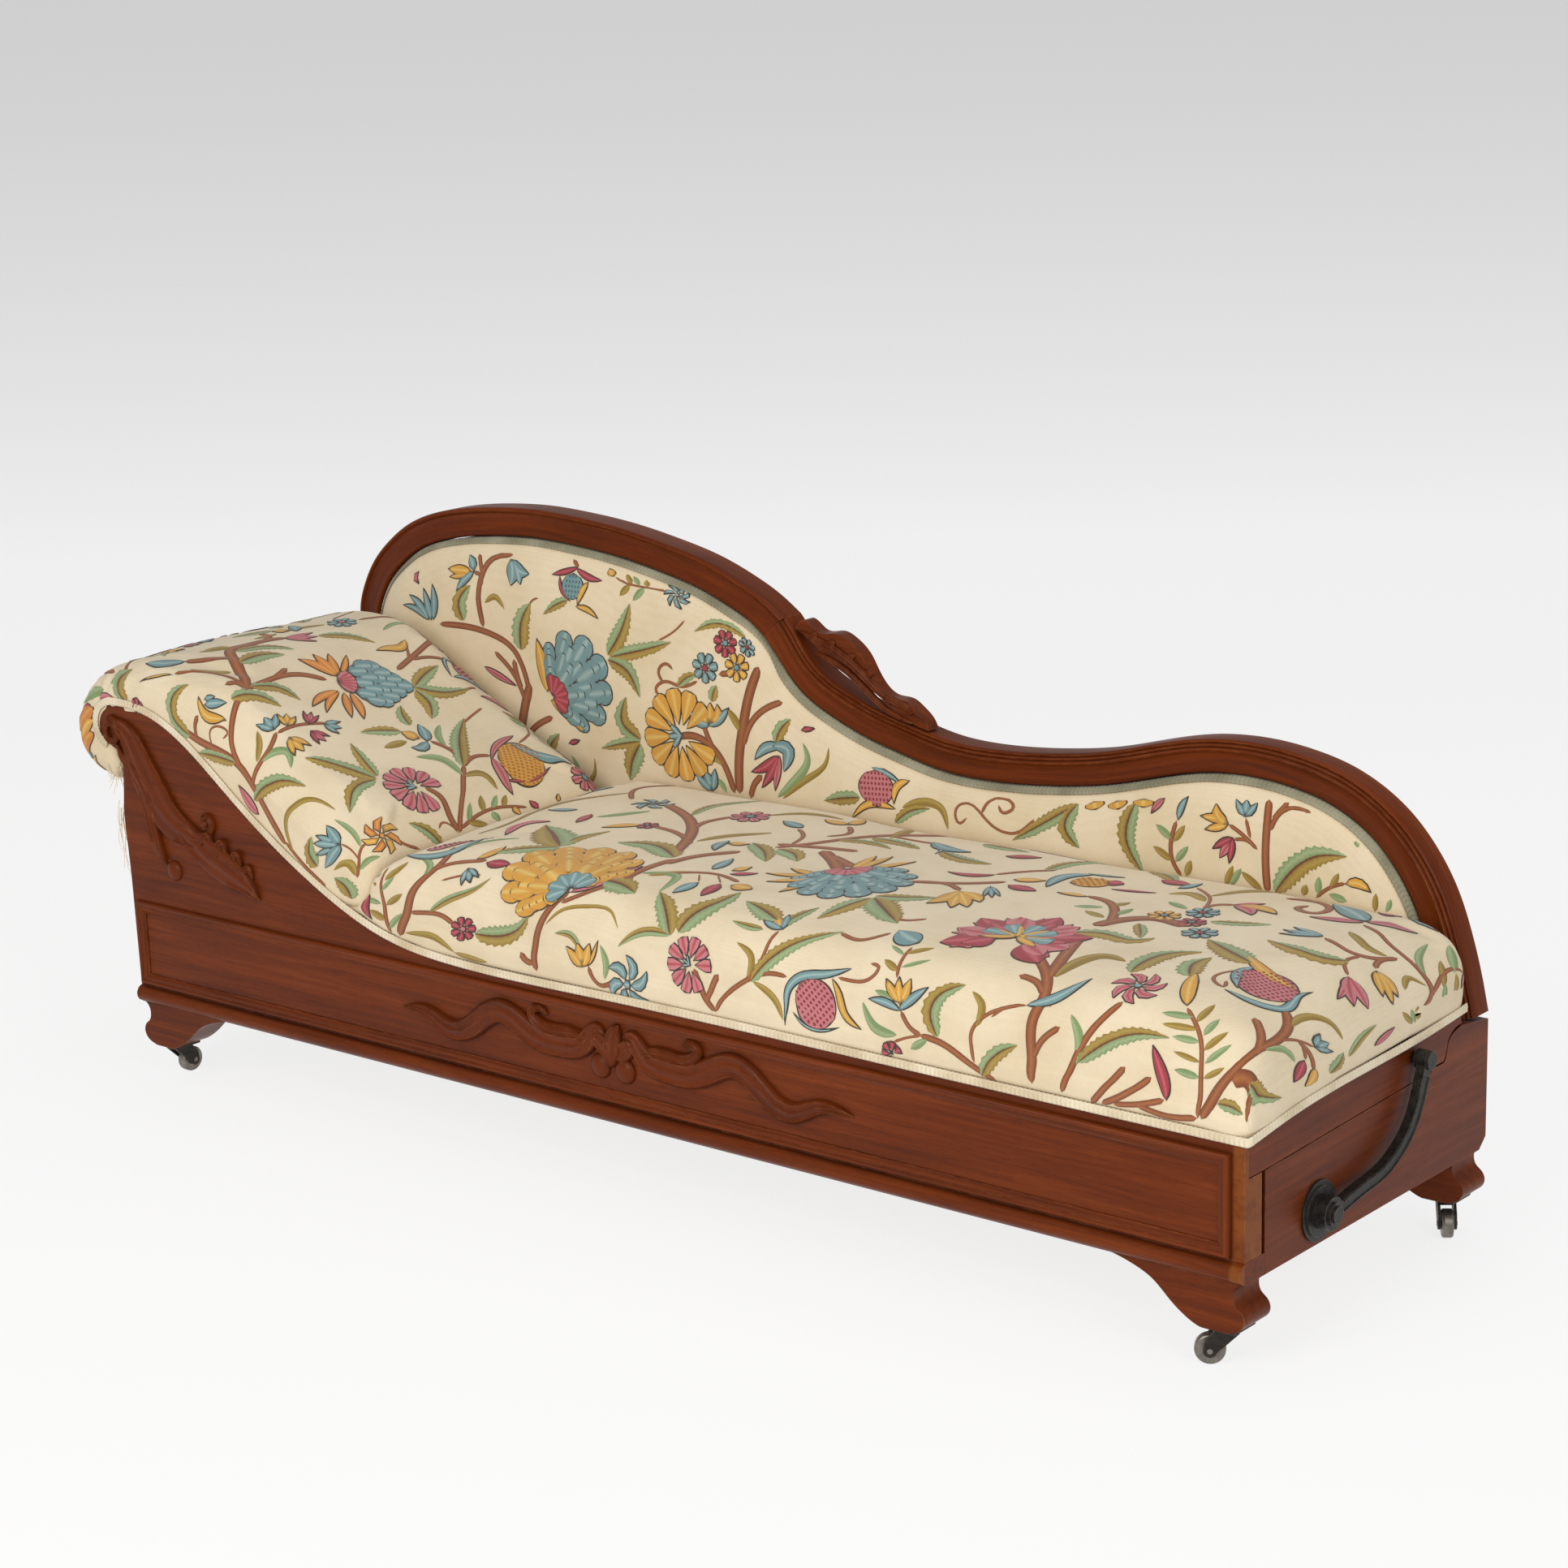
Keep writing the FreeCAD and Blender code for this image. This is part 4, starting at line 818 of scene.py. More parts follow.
def stuffed(made, freedom, cap_mm, pressure):
    """Blow a pad up with the Cloth modifier. freedom is 0 where it is held and 1 where it is free."""
    start = points_of(made.data)
    held = made.vertex_groups.new(name="held")
    steps = np.round(1 - freedom, 1)
    for step in np.unique(steps):
        if step > 0:
            held.add([int(i) for i in np.flatnonzero(steps == step)], float(step), "REPLACE")
    cloth = made.modifiers.new("stuffing", "CLOTH")
    for name, value in CLOTH_SETTINGS.items():
        setattr(cloth.settings, name, value)
    cloth.settings.uniform_pressure_force = pressure
    cloth.settings.effector_weights.gravity = 0.0
    for number in range(1, STUFFING_FRAMES + 1):
        bpy.context.scene.frame_set(number)
    moved = points_of(made.evaluated_get(bpy.context.evaluated_depsgraph_get()).data)
    made.modifiers.clear()
    made.vertex_groups.clear()
    bpy.context.scene.frame_set(1)
    shift = moved - start
    far = np.linalg.norm(shift, axis=1, keepdims=True)
    shift *= np.minimum(1.0, cap_mm / np.maximum(far, 1e-9)) * freedom[:, None]
    set_points(made.data, start + shift)
    print(made.name, "swelled by up to", round(float(np.linalg.norm(shift, axis=1).max()), 1), "mm")


def finished_pad(made, body, stands_for):
    """Smooth shading, one subdivision, and the pad's place in the frame."""
    made.data.shade_smooth()
    layer = made.modifiers.new("finer", "SUBSURF")
    layer.levels = layer.render_levels = 1
    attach(made, body)
    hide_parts(*stands_for)
    print(made.name, len(made.data.polygons), "faces")


def spot_gap(place, spots):
    """How far each point lies from the nearest of some spots."""
    gap = np.full(len(place), np.inf)
    for spot in spots:
        gap = np.minimum(gap, np.linalg.norm(place - spot, axis=1))
    return gap


# %% [markdown]
# The seat is a long loaf: nearly upright in front, full at the shoulder, flat and a little crowned
# on top. Its cover is tacked along the front board's top edge, which rises in an S at the head end,
# and along the end rail. Where it meets the head rest the crease leans back over the flank.

# %% The seat cushion
S_CURVE = [(-22, 547), (20, 546), (60, 539), (119, 514), (182, 472), (244, 427), (306, 386), (367, 351)]
S_CURVE += [(428, 321), (489, 298), (550, 284), (640, 276)]
s_line = smooth_line(S_CURVE, 160)
SEAT_ROWS = [
    (498, 335, 414, 330, 503, 307),
    (501, 372, 416, 330, 504, 307),
    (508, 393, 420, 327, 506, 307),
    (524, 404, 430, 323, 510, 307),
    (552, 409, 452, 315, 530, 307),
    (600, 411, 520, 293, 590, 307),
    (680, 412, 640, 279, 680, 307),
    *[(x, z, x, 279, x, 307) for x, z in ((820, 412), (1000, 411), (1180, 410))],
    *[(x, 409, x, 279, x, 307) for x in (1360, 1540, 1700)],
    (1782, 409, 1790, 279, 1770, 307),
    (1818, 404, 1828, 279, 1800, 307),
    (1842, 390, 1844, 279, 1812, 307),
    (1856, 366, 1852, 280, 1820, 308),
    (1860, 338, 1856, 281, 1824, 309),
    (1858, 312, 1857, 284, 1826, 310),
]
seat_rings = pad_rings(SEAT_ROWS, 190, -2.0, 486.0, 54.0, 16.0)
bm = bmesh.new()
carry(bm, seat_rings)
seat_cushion = evenly_skinned("seat_cushion", bm, cream_cotton, 8.0)
print("seat cushion's skin:", len(seat_cushion.data.vertices), "points")

# %% Its swell and tucks
place = points_of(seat_cushion.data)
x, y, z = place.T
upper = eased((z - 318) / 60)
front_in = np.clip((y + 2) / 488, 0, 1)
z += upper * (5.0 * np.sin(math.pi * front_in) + 1.7 * np.sin(x / 117 + 1.3) * np.cos(y / 83))
z += upper * 1.3 * np.sin(x / 53 + y / 47)
y -= 3.5 * np.sin(math.pi * np.clip((z - 282) / 105, 0, 1)) * (y < 12) * eased((x - 440) / 80)
y -= 1.3 * np.sin(x / 41 + z / 60) * (y < 12) * eased((z - 290) / 30)
set_points(seat_cushion.data, place)
relaxed(seat_cushion, 3)
place = points_of(seat_cushion.data)
x, y, z = place.T
seam = np.where(y < 30, 12 + np.interp(x, s_line[:, 0], s_line[:, 1], right=276), 312)
free = eased((z - seam) / 34) * eased((486 - y + 6) / 40)
stuffed(seat_cushion, free, 6.0, 3.0)
relaxed(seat_cushion, 1)
place = points_of(seat_cushion.data)
x, y, z = place.T
tucked = eased((x - 1790) / 40) * eased((350 - z) / 50)
z -= 13 * tucked * (0.35 + 0.65 * eased((y - 4) / 30))
set_points(seat_cushion.data, place)
finished_pad(seat_cushion, "seat", ["seat_pad"])

# %% [markdown]
# The head rest climbs from the seat to a fat roll that curls right over. Its rings turn with the
# slope and fan round the roll's centre, so that the same cloth goes up, over and back under. At the
# roll's front the cloth is gathered in pleats round the scroll of the board.

# %% The head rest
HEAD_ROWS = [
    (491, 335, 408, 332, 486, 309),
    (495, 368, 406, 333, 484, 309),
    (495, 392, 403, 335, 482, 310),
    (487, 409, 397, 338, 478, 311),
    (468, 424, 388, 343, 468, 316),
    (438, 441, 370, 352, 440, 326),
    (348, 486, 305, 389, 350, 364),
    (253, 537, 222, 445, 270, 400),
    (157, 589, 145, 500, 190, 440),
    (100, 606, 98, 526, 140, 457),
    (45, 612, 52, 542, 104, 463),
    (-5, 606, 18, 548, 74, 462),
    (-55, 588, -18, 549, 52, 458),
    (-97, 556, -44, 538, 38, 453),
    (-121, 518, -56, 517, 26, 447),
    (-124, 484, -48, 498, 14, 441),
    (-106, 452, -36, 486, 2, 437),
    (-72, 432, -20, 470, -8, 434),
    (-40, 427, -12, 452, -16, 432),
]
head_rings = pad_rings(HEAD_ROWS, 150, -1.0, 466.0, 46.0, 30.0)
bm = bmesh.new()
carry(bm, head_rings)
head_cushion = evenly_skinned("head_cushion", bm, cream_cotton, 7.0)
print("head cushion's skin:", len(head_cushion.data.vertices), "points")

# %% Its swell and pleats
ROLL_X, ROLL_Z = -35.0, 512.0
place = points_of(head_cushion.data)
x, y, z = place.T
slope_in = np.clip((y + 1) / 467, 0, 1)
swell = np.sin(math.pi * slope_in) * 3.0 + 1.5 * np.sin(x / 67 + y / 71) + 1.1 * np.sin(x / 29 - y / 43 + 1.0)
out_x, out_z = x - 90, z - 430
size = np.hypot(out_x, out_z) + 1e-9
outer = eased((y - 24) / 60)
x += outer * swell * np.where(x < 60, out_x / size, 0.4)
z += outer * swell * np.where(x < 60, out_z / size, 0.9) * eased((z - 400) / 20)
set_points(head_cushion.data, place)
relaxed(head_cushion, 3)
place = points_of(head_cushion.data)
seam_line = [np.array((row[2], -1.0, row[3])) for row in smooth_line(HEAD_ROWS, 90)]
below = spot_gap(place[:, [0, 2]], smooth_line(HEAD_ROWS, 60)[:, 4:])
free = eased((spot_gap(place, seam_line) - 8) / 38) * eased((below - 22) / 40)
stuffed(head_cushion, free, 6.0, 3.0)
place = points_of(head_cushion.data)
x, y, z = place.T
angle = np.arctan2(z - ROLL_Z, x - ROLL_X)
reach = np.hypot(x - ROLL_X, z - ROLL_Z)
gather = eased((reach - 22) / 16) * eased((96 - reach) / 34 + 0.35) * eased((40 - y) / 30)
gather *= eased((np.abs(np.degrees(angle) - 165) < 140).astype(float)) * (x < 60)
y += 2.4 * gather * np.cos(angle * 17 + 0.8 * np.sin(angle * 5))
z -= 11 * eased((x - 230) / 60) * eased((60 - y) / 40) * eased((390 - z) / 50)
set_points(head_cushion.data, place)
relaxed(head_cushion, 1, 0.3)
finished_pad(head_cushion, "seat", ["head_pad"])

# %% [markdown]
# The back is upholstered between the rails: a shallow cushion, flat against the back cloth at its
# edges, full in the middle, and drawn down behind the seat. It is made as a slab in the shape of
# the opening, whose front is then crowned by how far each point lies from the edge.

# %% The back cushion
BACK_EDGE_Y = 519.0
BACK_CROWN_Y = 492.0
BACK_REAR_Y = 537.0
BACK_FOOT_Z = 333.0
upper_edge = beside(upper_outer, RAIL_WIDE + 1.0)[:-6]
lower_edge = beside(lower_outer, RAIL_WIDE + 1.0)[6:]
upper_edge = upper_edge[(upper_edge[:, 1] > 340) & (upper_edge[:, 0] < 745)]
lower_edge = lower_edge[(lower_edge[:, 1] > 340) & (lower_edge[:, 0] > 762)]
opening = even_line(np.vstack([upper_edge, lower_edge]), 320)
opening = np.vstack([[opening[0, 0], BACK_FOOT_Z], opening, [opening[-1, 0], BACK_FOOT_Z]])
bm = bmesh.new()
rim = [bm.verts.new(at(px, BACK_EDGE_Y - 12, pz)) for px, pz in opening]
slab = [bm.faces.new(rim)]
made = bmesh.ops.extrude_face_region(bm, geom=slab)["geom"]
rear = [v for v in made if isinstance(v, bmesh.types.BMVert)]
bmesh.ops.translate(bm, vec=(0, 30 / MM, 0), verts=rear)
back_cushion = evenly_skinned("back_cushion", bm, cream_cotton, 7.0)
print("back cushion's skin:", len(back_cushion.data.vertices), "points")

# %% Its crown


def edge_gap(place, line):
    """How far each point lies from a line in x and z."""
    spots = place[:, [0, 2]]
    gap = np.full(len(spots), 1e9)
    for a, b in zip(line[:-1], line[1:]):
        along = b - a
        share = np.clip((spots - a) @ along / (along @ along + 1e-12), 0, 1)
        gap = np.minimum(gap, np.linalg.norm(spots - a - share[:, None] * along, axis=1))
    return gap


place = points_of(back_cushion.data)
gap = edge_gap(place, opening[1:-1])
x, y, z = place.T
fullness = np.sqrt(np.clip(1 - (1 - np.clip(gap / 80, 0, 1)) ** 2.2, 0, 1))
ripples = 1.4 * np.sin(x / 71 + z / 53) + 0.9 * np.sin(x / 37 - z / 31 + 2)
is_front = y < BACK_EDGE_Y - 2
depth = BACK_EDGE_Y + 1.0 - (BACK_EDGE_Y - BACK_CROWN_Y) * fullness + ripples * fullness
depth += 8.0 * eased((400 - z) / 60)
y[:] = np.where(is_front, depth, np.clip(y, BACK_EDGE_Y + 5, BACK_REAR_Y))
set_points(back_cushion.data, place)
relaxed(back_cushion, 2)
place = points_of(back_cushion.data)
free = eased((edge_gap(place, opening[1:-1]) - 6) / 36) * (place[:, 1] < BACK_EDGE_Y + 2)
free *= eased((place[:, 2] - 340) / 30)
stuffed(back_cushion, free, 4.5, 3.0)
relaxed(back_cushion, 1)
finished_pad(back_cushion, "base", ["back_pad"])

# %% [markdown]
# Every cut edge of the cover is hidden by gimp, a narrow braid of twisted cord. A band of points is
# carried along the edge, and its height follows the twist: two rows of little slanting humps that
# meet in the middle. The front braid is cream; the one round the back has aged to grey green.

# %% Gimp braid


def gimp_finish(name, light, deep):
    """Twisted rayon cord, silky, with painted shade between its turns."""
    finish, tree, shader = new_finish(name)
    place = node(tree, "TexCoord").outputs["Object"]
    fibres = noise(tree, place, 1.6, detail=3)
    patches = noise(tree, place, 60.0, detail=3)
    tone = ramp(tree, patches, (0.35, deep), (0.65, light))
    tone = blend_of(tree, sums(tree, "MULTIPLY", fibres, 0.35), tone, hue(deep), "MULTIPLY")
    # Painted shade: the cord is darkened between its turns and along the cloth, found by ambient occlusion.
    corner_shade = sums(tree, "MULTIPLY", corner_shade_and_rust(tree, 3.0), 0.8, clamp=True)
    tone = blend_of(tree, corner_shade, tone, hue("#7A6A50"), "MULTIPLY")
    paint(tree, shader, Base_Color=tone, Roughness=0.62, Sheen_Weight=0.25)
    finish_bump(tree, shader, (fibres, 0.25))
    return finish


cream_gimp = gimp_finish("cream_gimp_cord", "#EFE4CC", "#D6C6A6")
grey_gimp = gimp_finish("grey_green_gimp_cord", "#ABA78E", "#8B866C")


TWIST_MM = 6.4
STATION_MM = 1.6


def braid(name, path, facing, wide, thick, body, finish, stands_for, slot):
    """Carry a gimp braid along a path. facing points away from the cloth at each step."""
    both = np.hstack([path, facing])
    walked = np.concatenate([[0], np.cumsum(np.linalg.norm(np.diff(path, axis=0), axis=1))])
    spots = np.linspace(0, walked[-1], int(walked[-1] / STATION_MM))
    both = np.stack([np.interp(spots, walked, both[:, i]) for i in range(6)], axis=1)
    path, facing = both[:, :3], both[:, 3:] / np.linalg.norm(both[:, 3:], axis=1, keepdims=True)
    run = np.gradient(path, axis=0)
    run /= np.linalg.norm(run, axis=1, keepdims=True)
    across = np.cross(facing, run)
    shares = np.linspace(-0.5, 0.5, 9)
    rings = []
    for spot, out, side, far in zip(path, facing, across, spots):
        beat = np.cos(2 * math.pi * (far / TWIST_MM - 0.9 * np.abs(shares)))
        edge = wide * (1 + 0.05 * math.cos(2 * math.pi * far / TWIST_MM))
        high = thick * (0.62 + 0.34 * beat) * np.sqrt(1 - np.abs(shares * 1.9) ** 5)
        ring = [at(*(spot + side * s * edge + out * h)) for s, h in zip(shares, high)]
        ring += [at(*(spot + side * s * edge * 0.8 - out * 0.6)) for s in (0.5, -0.5)]
        rings.append(ring)
    bm, marks = bmesh.new(), {}
    carry(bm, rings, marks)
    made = piece(name, bm, finish, body, slot, marks, smooth=0, replaces=stands_for)
    made.data.shade_smooth()


def flat_path(line, depth):
    """A line in x and z laid at one depth."""
    return np.stack([line[:, 0], np.full(len(line), float(depth)), line[:, 1]], axis=1)


# %% The seat's braid
seam_along = beside(smooth_line(S_CURVE + [(900, 276), (1400, 276), (1853, 276)], 400), -2.5)
scroll = smooth_line([(-34, 485), (-46, 492), (-55, 505), (-55, 523), (-45, 539), (-24, 549)], 40)
front_run = flat_path(np.vstack([scroll, seam_along[2:]]), -1.8)
end_heights = [(2, 279.5), (94, 290), (383, 300), (486, 307)]
end_run = np.array([(1856.2, y, z) for y, z in smooth_line(end_heights, 60)])
front_faces = np.tile((0.0, -1.0, 0.0), (len(front_run), 1))
end_faces = np.tile((1.0, 0.0, 0.0), (len(end_run), 1))
corner_path = np.array([(1854.6, -1.0, 278.8), (1855.7, 0.4, 279.2)])
corner_faces = np.array([(0.4, -0.9, 0.0), (0.9, -0.4, 0.0)])
path = np.vstack([front_run, corner_path, end_run])
facing = np.vstack([front_faces, corner_faces, end_faces])
braid("seat_braid", path, facing, 11.5, 2.6, "seat", cream_gimp, ["seat_gimp"], "cream_gimp")

# %% [markdown]
# The back's braid lies on the stuffed cloth, so its depth and its tilt are found by looking back
# through the couch at the cushion, and are then averaged over a few steps, as a stiff cord bends.

# %% The back's braid
CORD_INSET = RAIL_WIDE + 5.5
back_run = np.vstack([beside(upper_outer, CORD_INSET)[:-4], beside(lower_outer, CORD_INSET)[4:]])
back_run = back_run[(back_run[:, 1] > 352)]
back_path = flat_path(even_line(back_run, 500), 518.0)
back_faces = np.tile((0.0, -1.0, 0.0), (len(back_path), 1))
back_skin = BVHTree.FromObject(back_cushion, bpy.context.evaluated_depsgraph_get())
for i, (x, _, z) in enumerate(back_path):
    found, normal, _, _ = back_skin.ray_cast(at(x, 400, z), Vector((0, 1, 0)))
    if found:
        back_path[i, 1] = found.y * MM + FRONT_FACE - 0.5
        back_faces[i] = normal if normal.y < 0 else -normal


def averaged(values, reach=6):
    """Each value as the mean of those round it."""
    return np.convolve(np.pad(values, reach, "edge"), np.ones(2 * reach + 1) / (2 * reach + 1), "valid")


back_faces = np.stack([averaged(values) for values in back_faces.T], axis=1)
back_path[:, 1] = averaged(back_path[:, 1])
print("back braid depth", back_path[:, 1].min().round(1), back_path[:, 1].max().round(1))
braid("back_braid", back_path, back_faces, 13.5, 2.6, "base", grey_gimp, ["back_gimp"], "grey_gimp")

# %% [markdown]
# The vines and flowers are crewel work, which is thick wool yarn sewn in close rows on the cotton.
# Every motif is built of one kind of thing: a raised strip with a bent axis, a width that changes
# along it, and colours that change across it, as a petal has a dark outline, a body and a darker
# heart. The strips are drawn flat in millimetres on the unfolded cloth, and then laid on the
# cushion. Each strip is a grid from bmesh, stamped and bent by its measures, because there are
# thousands of them.

# %% Wool colours
# Brown, olive, green, blue, pink, red, yellow and amber: each with its dark, body and light shade.
WOOL = {
    "n": ("#6E3412", "#924A1E", "#A9652F"),
    "o": ("#6E5A14", "#94781F", "#B39A45"),
    "g": ("#5C7A48", "#7C9A62", "#A2B78A"),
    "b": ("#11181F", "#6E98A0", "#A3C2C4"),
    "k": ("#2A1218", "#CE7A84", "#B02C42"),
    "r": ("#240E14", "#A2233C", "#CC5A6C"),
    "y": ("#2A1C10", "#DDA236", "#EBC96E"),
    "a": ("#2A1A10", "#D8842A", "#EAA94E"),
}
WOOL_RIM_MM = 1.7
crewel_wool, tree, shader = new_finish("crewel_wool_yarn")
yarn_colour = node(tree, "Attribute", {"attribute_name": "wool"}).outputs["Color"]
place = node(tree, "TexCoord").outputs["Object"]
plies = noise(tree, place, 2.4, detail=3, rough=0.65)
faded = noise(tree, place, 34.0, detail=3)
tone = blend_of(tree, sums(tree, "MULTIPLY", faded, 0.08), yarn_colour, hue("#E4D6B8"))
tone = blend_of(tree, sums(tree, "MULTIPLY", plies, 0.55), tone, hue("#B8A898"), "MULTIPLY")
paint(tree, shader, Base_Color=tone, Roughness=0.9, Sheen_Weight=0.15, Sheen_Roughness=0.6)
finish_bump(tree, shader, (plies, 0.5))
print("wools:", " ".join(WOOL))

# %% Shapes of a strip, from base to tip


def shape_of(kind, t):
    """Half the width of a strip along its length, from 0 to 1."""
    t = np.clip(t, 0.0, 1.0)
    wide = {
        "stem": lambda: np.sqrt(np.clip(1 - np.abs(2 * t - 1) ** 14, 0, 1)),
        "round": lambda: np.sin(math.pi * t) ** 0.5,
        "petal": lambda: np.sin(math.pi * t**0.85) ** 0.75,
        "drop": lambda: t**0.55 * np.sqrt(np.clip(1 - t**5, 0, 1)) * 1.1,
        "flare": lambda: t**0.75 * np.sqrt(np.clip(1 - t**9, 0, 1)) * 1.12,
        "scallop": lambda: np.minimum(1, (t / 0.55) ** 0.5) * np.sqrt(np.clip(1 - t**5, 0, 1)),
        "blade": lambda: np.sin(math.pi * t**0.9) ** 0.6,
        "leaf": lambda: np.sin(math.pi * t**0.72) ** 0.7,
    }[kind]()
    return np.clip(wide, 0.03, 1.2)


GRIDS = {}


def stamp(length_steps, cross_steps):
    """The corner numbers of the faces of a grid, and each point's place from 0 to 1."""
    if (length_steps, cross_steps) not in GRIDS:
        bm = bmesh.new()
        bmesh.ops.create_grid(bm, x_segments=length_steps - 1, y_segments=cross_steps - 1, size=0.5)
        spots = np.array([(v.co.x + 0.5, v.co.y + 0.5) for v in bm.verts])
        faces = np.array([[v.index for v in f.verts] for f in bm.faces])
        bm.free()
        GRIDS[(length_steps, cross_steps)] = spots, faces
    return GRIDS[(length_steps, cross_steps)]


print("a grid of 3 x 2 points has", len(stamp(3, 2)[1]), "faces")

# %% One stitched strip
STITCH_MM = 4.5
TOOTH_STITCH_MM = 3.0
FINE = 160


class Needlework:
    """Collects strips in cloth millimetres: points, heights, colours and faces."""

    def __init__(self, seed):
        self.points, self.colours, self.faces = [], [], []
        self.count = 0
        self.luck = random.Random(seed)

    def strip(self, axis, wide, kind, columns, lift=0.0, teeth=0.0):
        """columns are (place across from -1 to 1, colour); teeth notches the sides."""
        axis = np.array(axis, float).reshape(-1, 2)
        length = np.linalg.norm(np.diff(axis, axis=0), axis=1).sum()
        steps = int(np.clip(length / (TOOTH_STITCH_MM if teeth else STITCH_MM), 6, 60))
        when = np.linspace(0, 1, steps)
        outlined = len(columns) > 8
        if outlined:
            tip = min(0.25, WOOL_RIM_MM / length)
            when = np.concatenate([np.linspace(0, 1 - 1.3 * tip, steps - 2), [1 - tip, 1.0]])
        fine = smooth_line(axis, FINE) if len(axis) > 2 else even_line(axis, FINE)
        line = np.stack([np.interp(when, np.linspace(0, 1, FINE), fine[:, k]) for k in (0, 1)], axis=1)
        side = sideways(line)
        spots, faces = stamp(steps, len(columns))
        along = np.round(spots[:, 0] * (steps - 1)).astype(int)
        across = np.round(spots[:, 1] * (len(columns) - 1)).astype(int)
        half = wide / 2 * shape_of(kind, when)
        place = np.array([c[0] for c in columns], float)[across]
        if teeth:
            beat = (np.linspace(0, length, steps) / teeth) % 1.0
            half = half * np.where(np.linspace(0, 1, steps) < 0.9, 0.8 + 0.42 * (1 - beat), 0.9)
        share = place.copy()
        outline = np.clip(1 - WOOL_RIM_MM / np.maximum(half, 0.1), 0.3, 0.94)[along]
        inner = (np.abs(place) < 0.99) & (np.abs(place) > 0.75)
        step_in = np.where(np.abs(place[inner]) > 0.88, 0, 0.04)
        share[inner] = np.sign(place[inner]) * (outline[inner] - step_in)
        flat = line[along] + side[along] * (share * half[along])[:, None]
        pad = min(0.9, 0.3 + wide * 0.02)
        height = 0.25 + lift + pad * np.sqrt(np.clip(1 - np.abs(share) ** 3, 0, 1))
        tints = np.array([hue(c[1])[:3] for c in columns])[across]
        thin = outlined & ((half[along] < 1.9) | (along >= steps - 2))
        tints[thin] = hue(columns[0][1])[:3]
        tints = tints * (1 + 0.12 * (self.luck.random() - 0.5))
        self.points.append(np.column_stack([flat, height]))
        self.colours.append(tints)
        self.faces.append(faces + self.count)
        self.count += len(flat)

    def petal(self, colour, wide, axis, kind="petal", lift=0.35, heart=True):
        """An outlined strip with a heart of another shade."""
        rim, body, core = WOOL[colour]
        middle = core if heart else body
        places = [-1, -0.9, -0.8, -0.35, 0, 0.35, 0.8, 0.9, 1]
        shades = [rim, rim, body, body, middle, body, body, rim, rim]
        self.strip(axis, wide, kind, list(zip(places, shades)), lift)

    def stem(self, wide, axis):
        """A brown stem."""
        deep, body, light = WOOL["n"]
        columns = [(-1, deep), (-0.5, body), (0, light), (0.5, body), (1, deep)]
        self.strip(axis, wide * 0.8, "stem", columns, 0.1)

    def blade(self, wide, colour, axis):
        """A small leaf of one colour."""
        _, body, light = WOOL[colour]
        self.strip(axis, wide, "blade", [(-1, body), (-0.4, light), (0.3, body), (1, body)])

    def leaf(self, wide, pair, axis):
        """A notched leaf with a brown rib, one colour on each side."""
        left, right = WOOL[pair[0]], WOOL[pair[1]]
        places = (-1, -0.55, -0.12, -0.11, 0.11, 0.12, 0.55, 1)
        shades = (left[1], left[2], left[1], WOOL["n"][0], WOOL["n"][0], right[1], right[2], right[1])
        teeth = 9.0 if wide > 15 else 0.0
        self.strip(axis, wide * 0.88, "leaf", list(zip(places, shades)), 0.15, teeth)


def towards(spot, angle, far):
    """A point at a distance and angle from a spot."""
    return (spot[0] + far * math.cos(angle), spot[1] + far * math.sin(angle))


print("a stitch is", STITCH_MM, "mm long, or", TOOTH_STITCH_MM, "mm on a notched leaf")

# %% [markdown]
# Bigger motifs are made of petals set round a point: daisies, swirling wheels, half-open fans,
# tulips, pods with a basket check, and the great cones of overlapping scallops.

# %% Flowers


def lean_of(base, tip):
    """The direction from a motif's base to its tip."""
    return math.atan2(tip[1] - base[1], tip[0] - base[0])


def eye(work, colour, spot, size, heart=True):
    """A round middle."""
    work.petal(colour, 2 * size, [(spot[0] - size, spot[1]), (spot[0] + size, spot[1])], "round", 0.8, heart)


def daisy(work, colour, heart, count, spot, rim):
    """A round flower of equal petals."""
    reach = math.dist(spot, rim)
    for i in range(count):
        angle = 2 * math.pi * (i + 0.25) / count
        wide = 2 * reach * math.sin(math.pi / count) * 0.92
        work.petal(colour, wide, [towards(spot, angle, 0.2 * reach), towards(spot, angle, reach)], "drop")
    eye(work, heart, spot, 0.26 * reach, False)


def wheel(work, colour, heart, count, spot, rim):
    """Petals that swirl round a small middle."""
    reach = math.dist(spot, rim)
    for i in range(count):
        angle = 2 * math.pi * i / count
        axis = [towards(spot, angle, 0.15 * reach), towards(spot, angle + 0.15, 0.62 * reach)]
        axis.append(towards(spot, angle + 0.62, reach))
        shade = colour if colour != "y" or i % 2 else "a"
        work.petal(shade, 0.44 * reach, axis, "petal")
    eye(work, "b" if heart == "r" else heart, spot, 0.17 * reach)


def fan(work, colour, heart, count, spread, spot, tip):
    """Petals that open on one side of a cup."""
    reach = math.dist(spot, tip)
    lean = lean_of(spot, tip)
    step = math.radians(spread) / (count - 1)
    for i in sorted(range(count), key=lambda k: -abs(k - (count - 1) / 2)):
        angle = lean + (i - (count - 1) / 2) * step
        far = reach * (1.0 - 0.1 * abs(i - (count - 1) / 2) / count)
        axis = [towards(spot, angle, 0.22 * reach), towards(spot, angle, far)]
        work.petal(colour, 2 * reach * math.sin(step / 2), axis, "flare")
    for i in (-1, 0, 1):
        root = towards(spot, lean + i * 0.8 + math.pi, 0.08 * reach)
        axis = [root, towards(spot, lean + i * 0.75, 0.33 * reach)]
        work.petal(heart, 0.2 * reach, axis, "drop", 0.8)


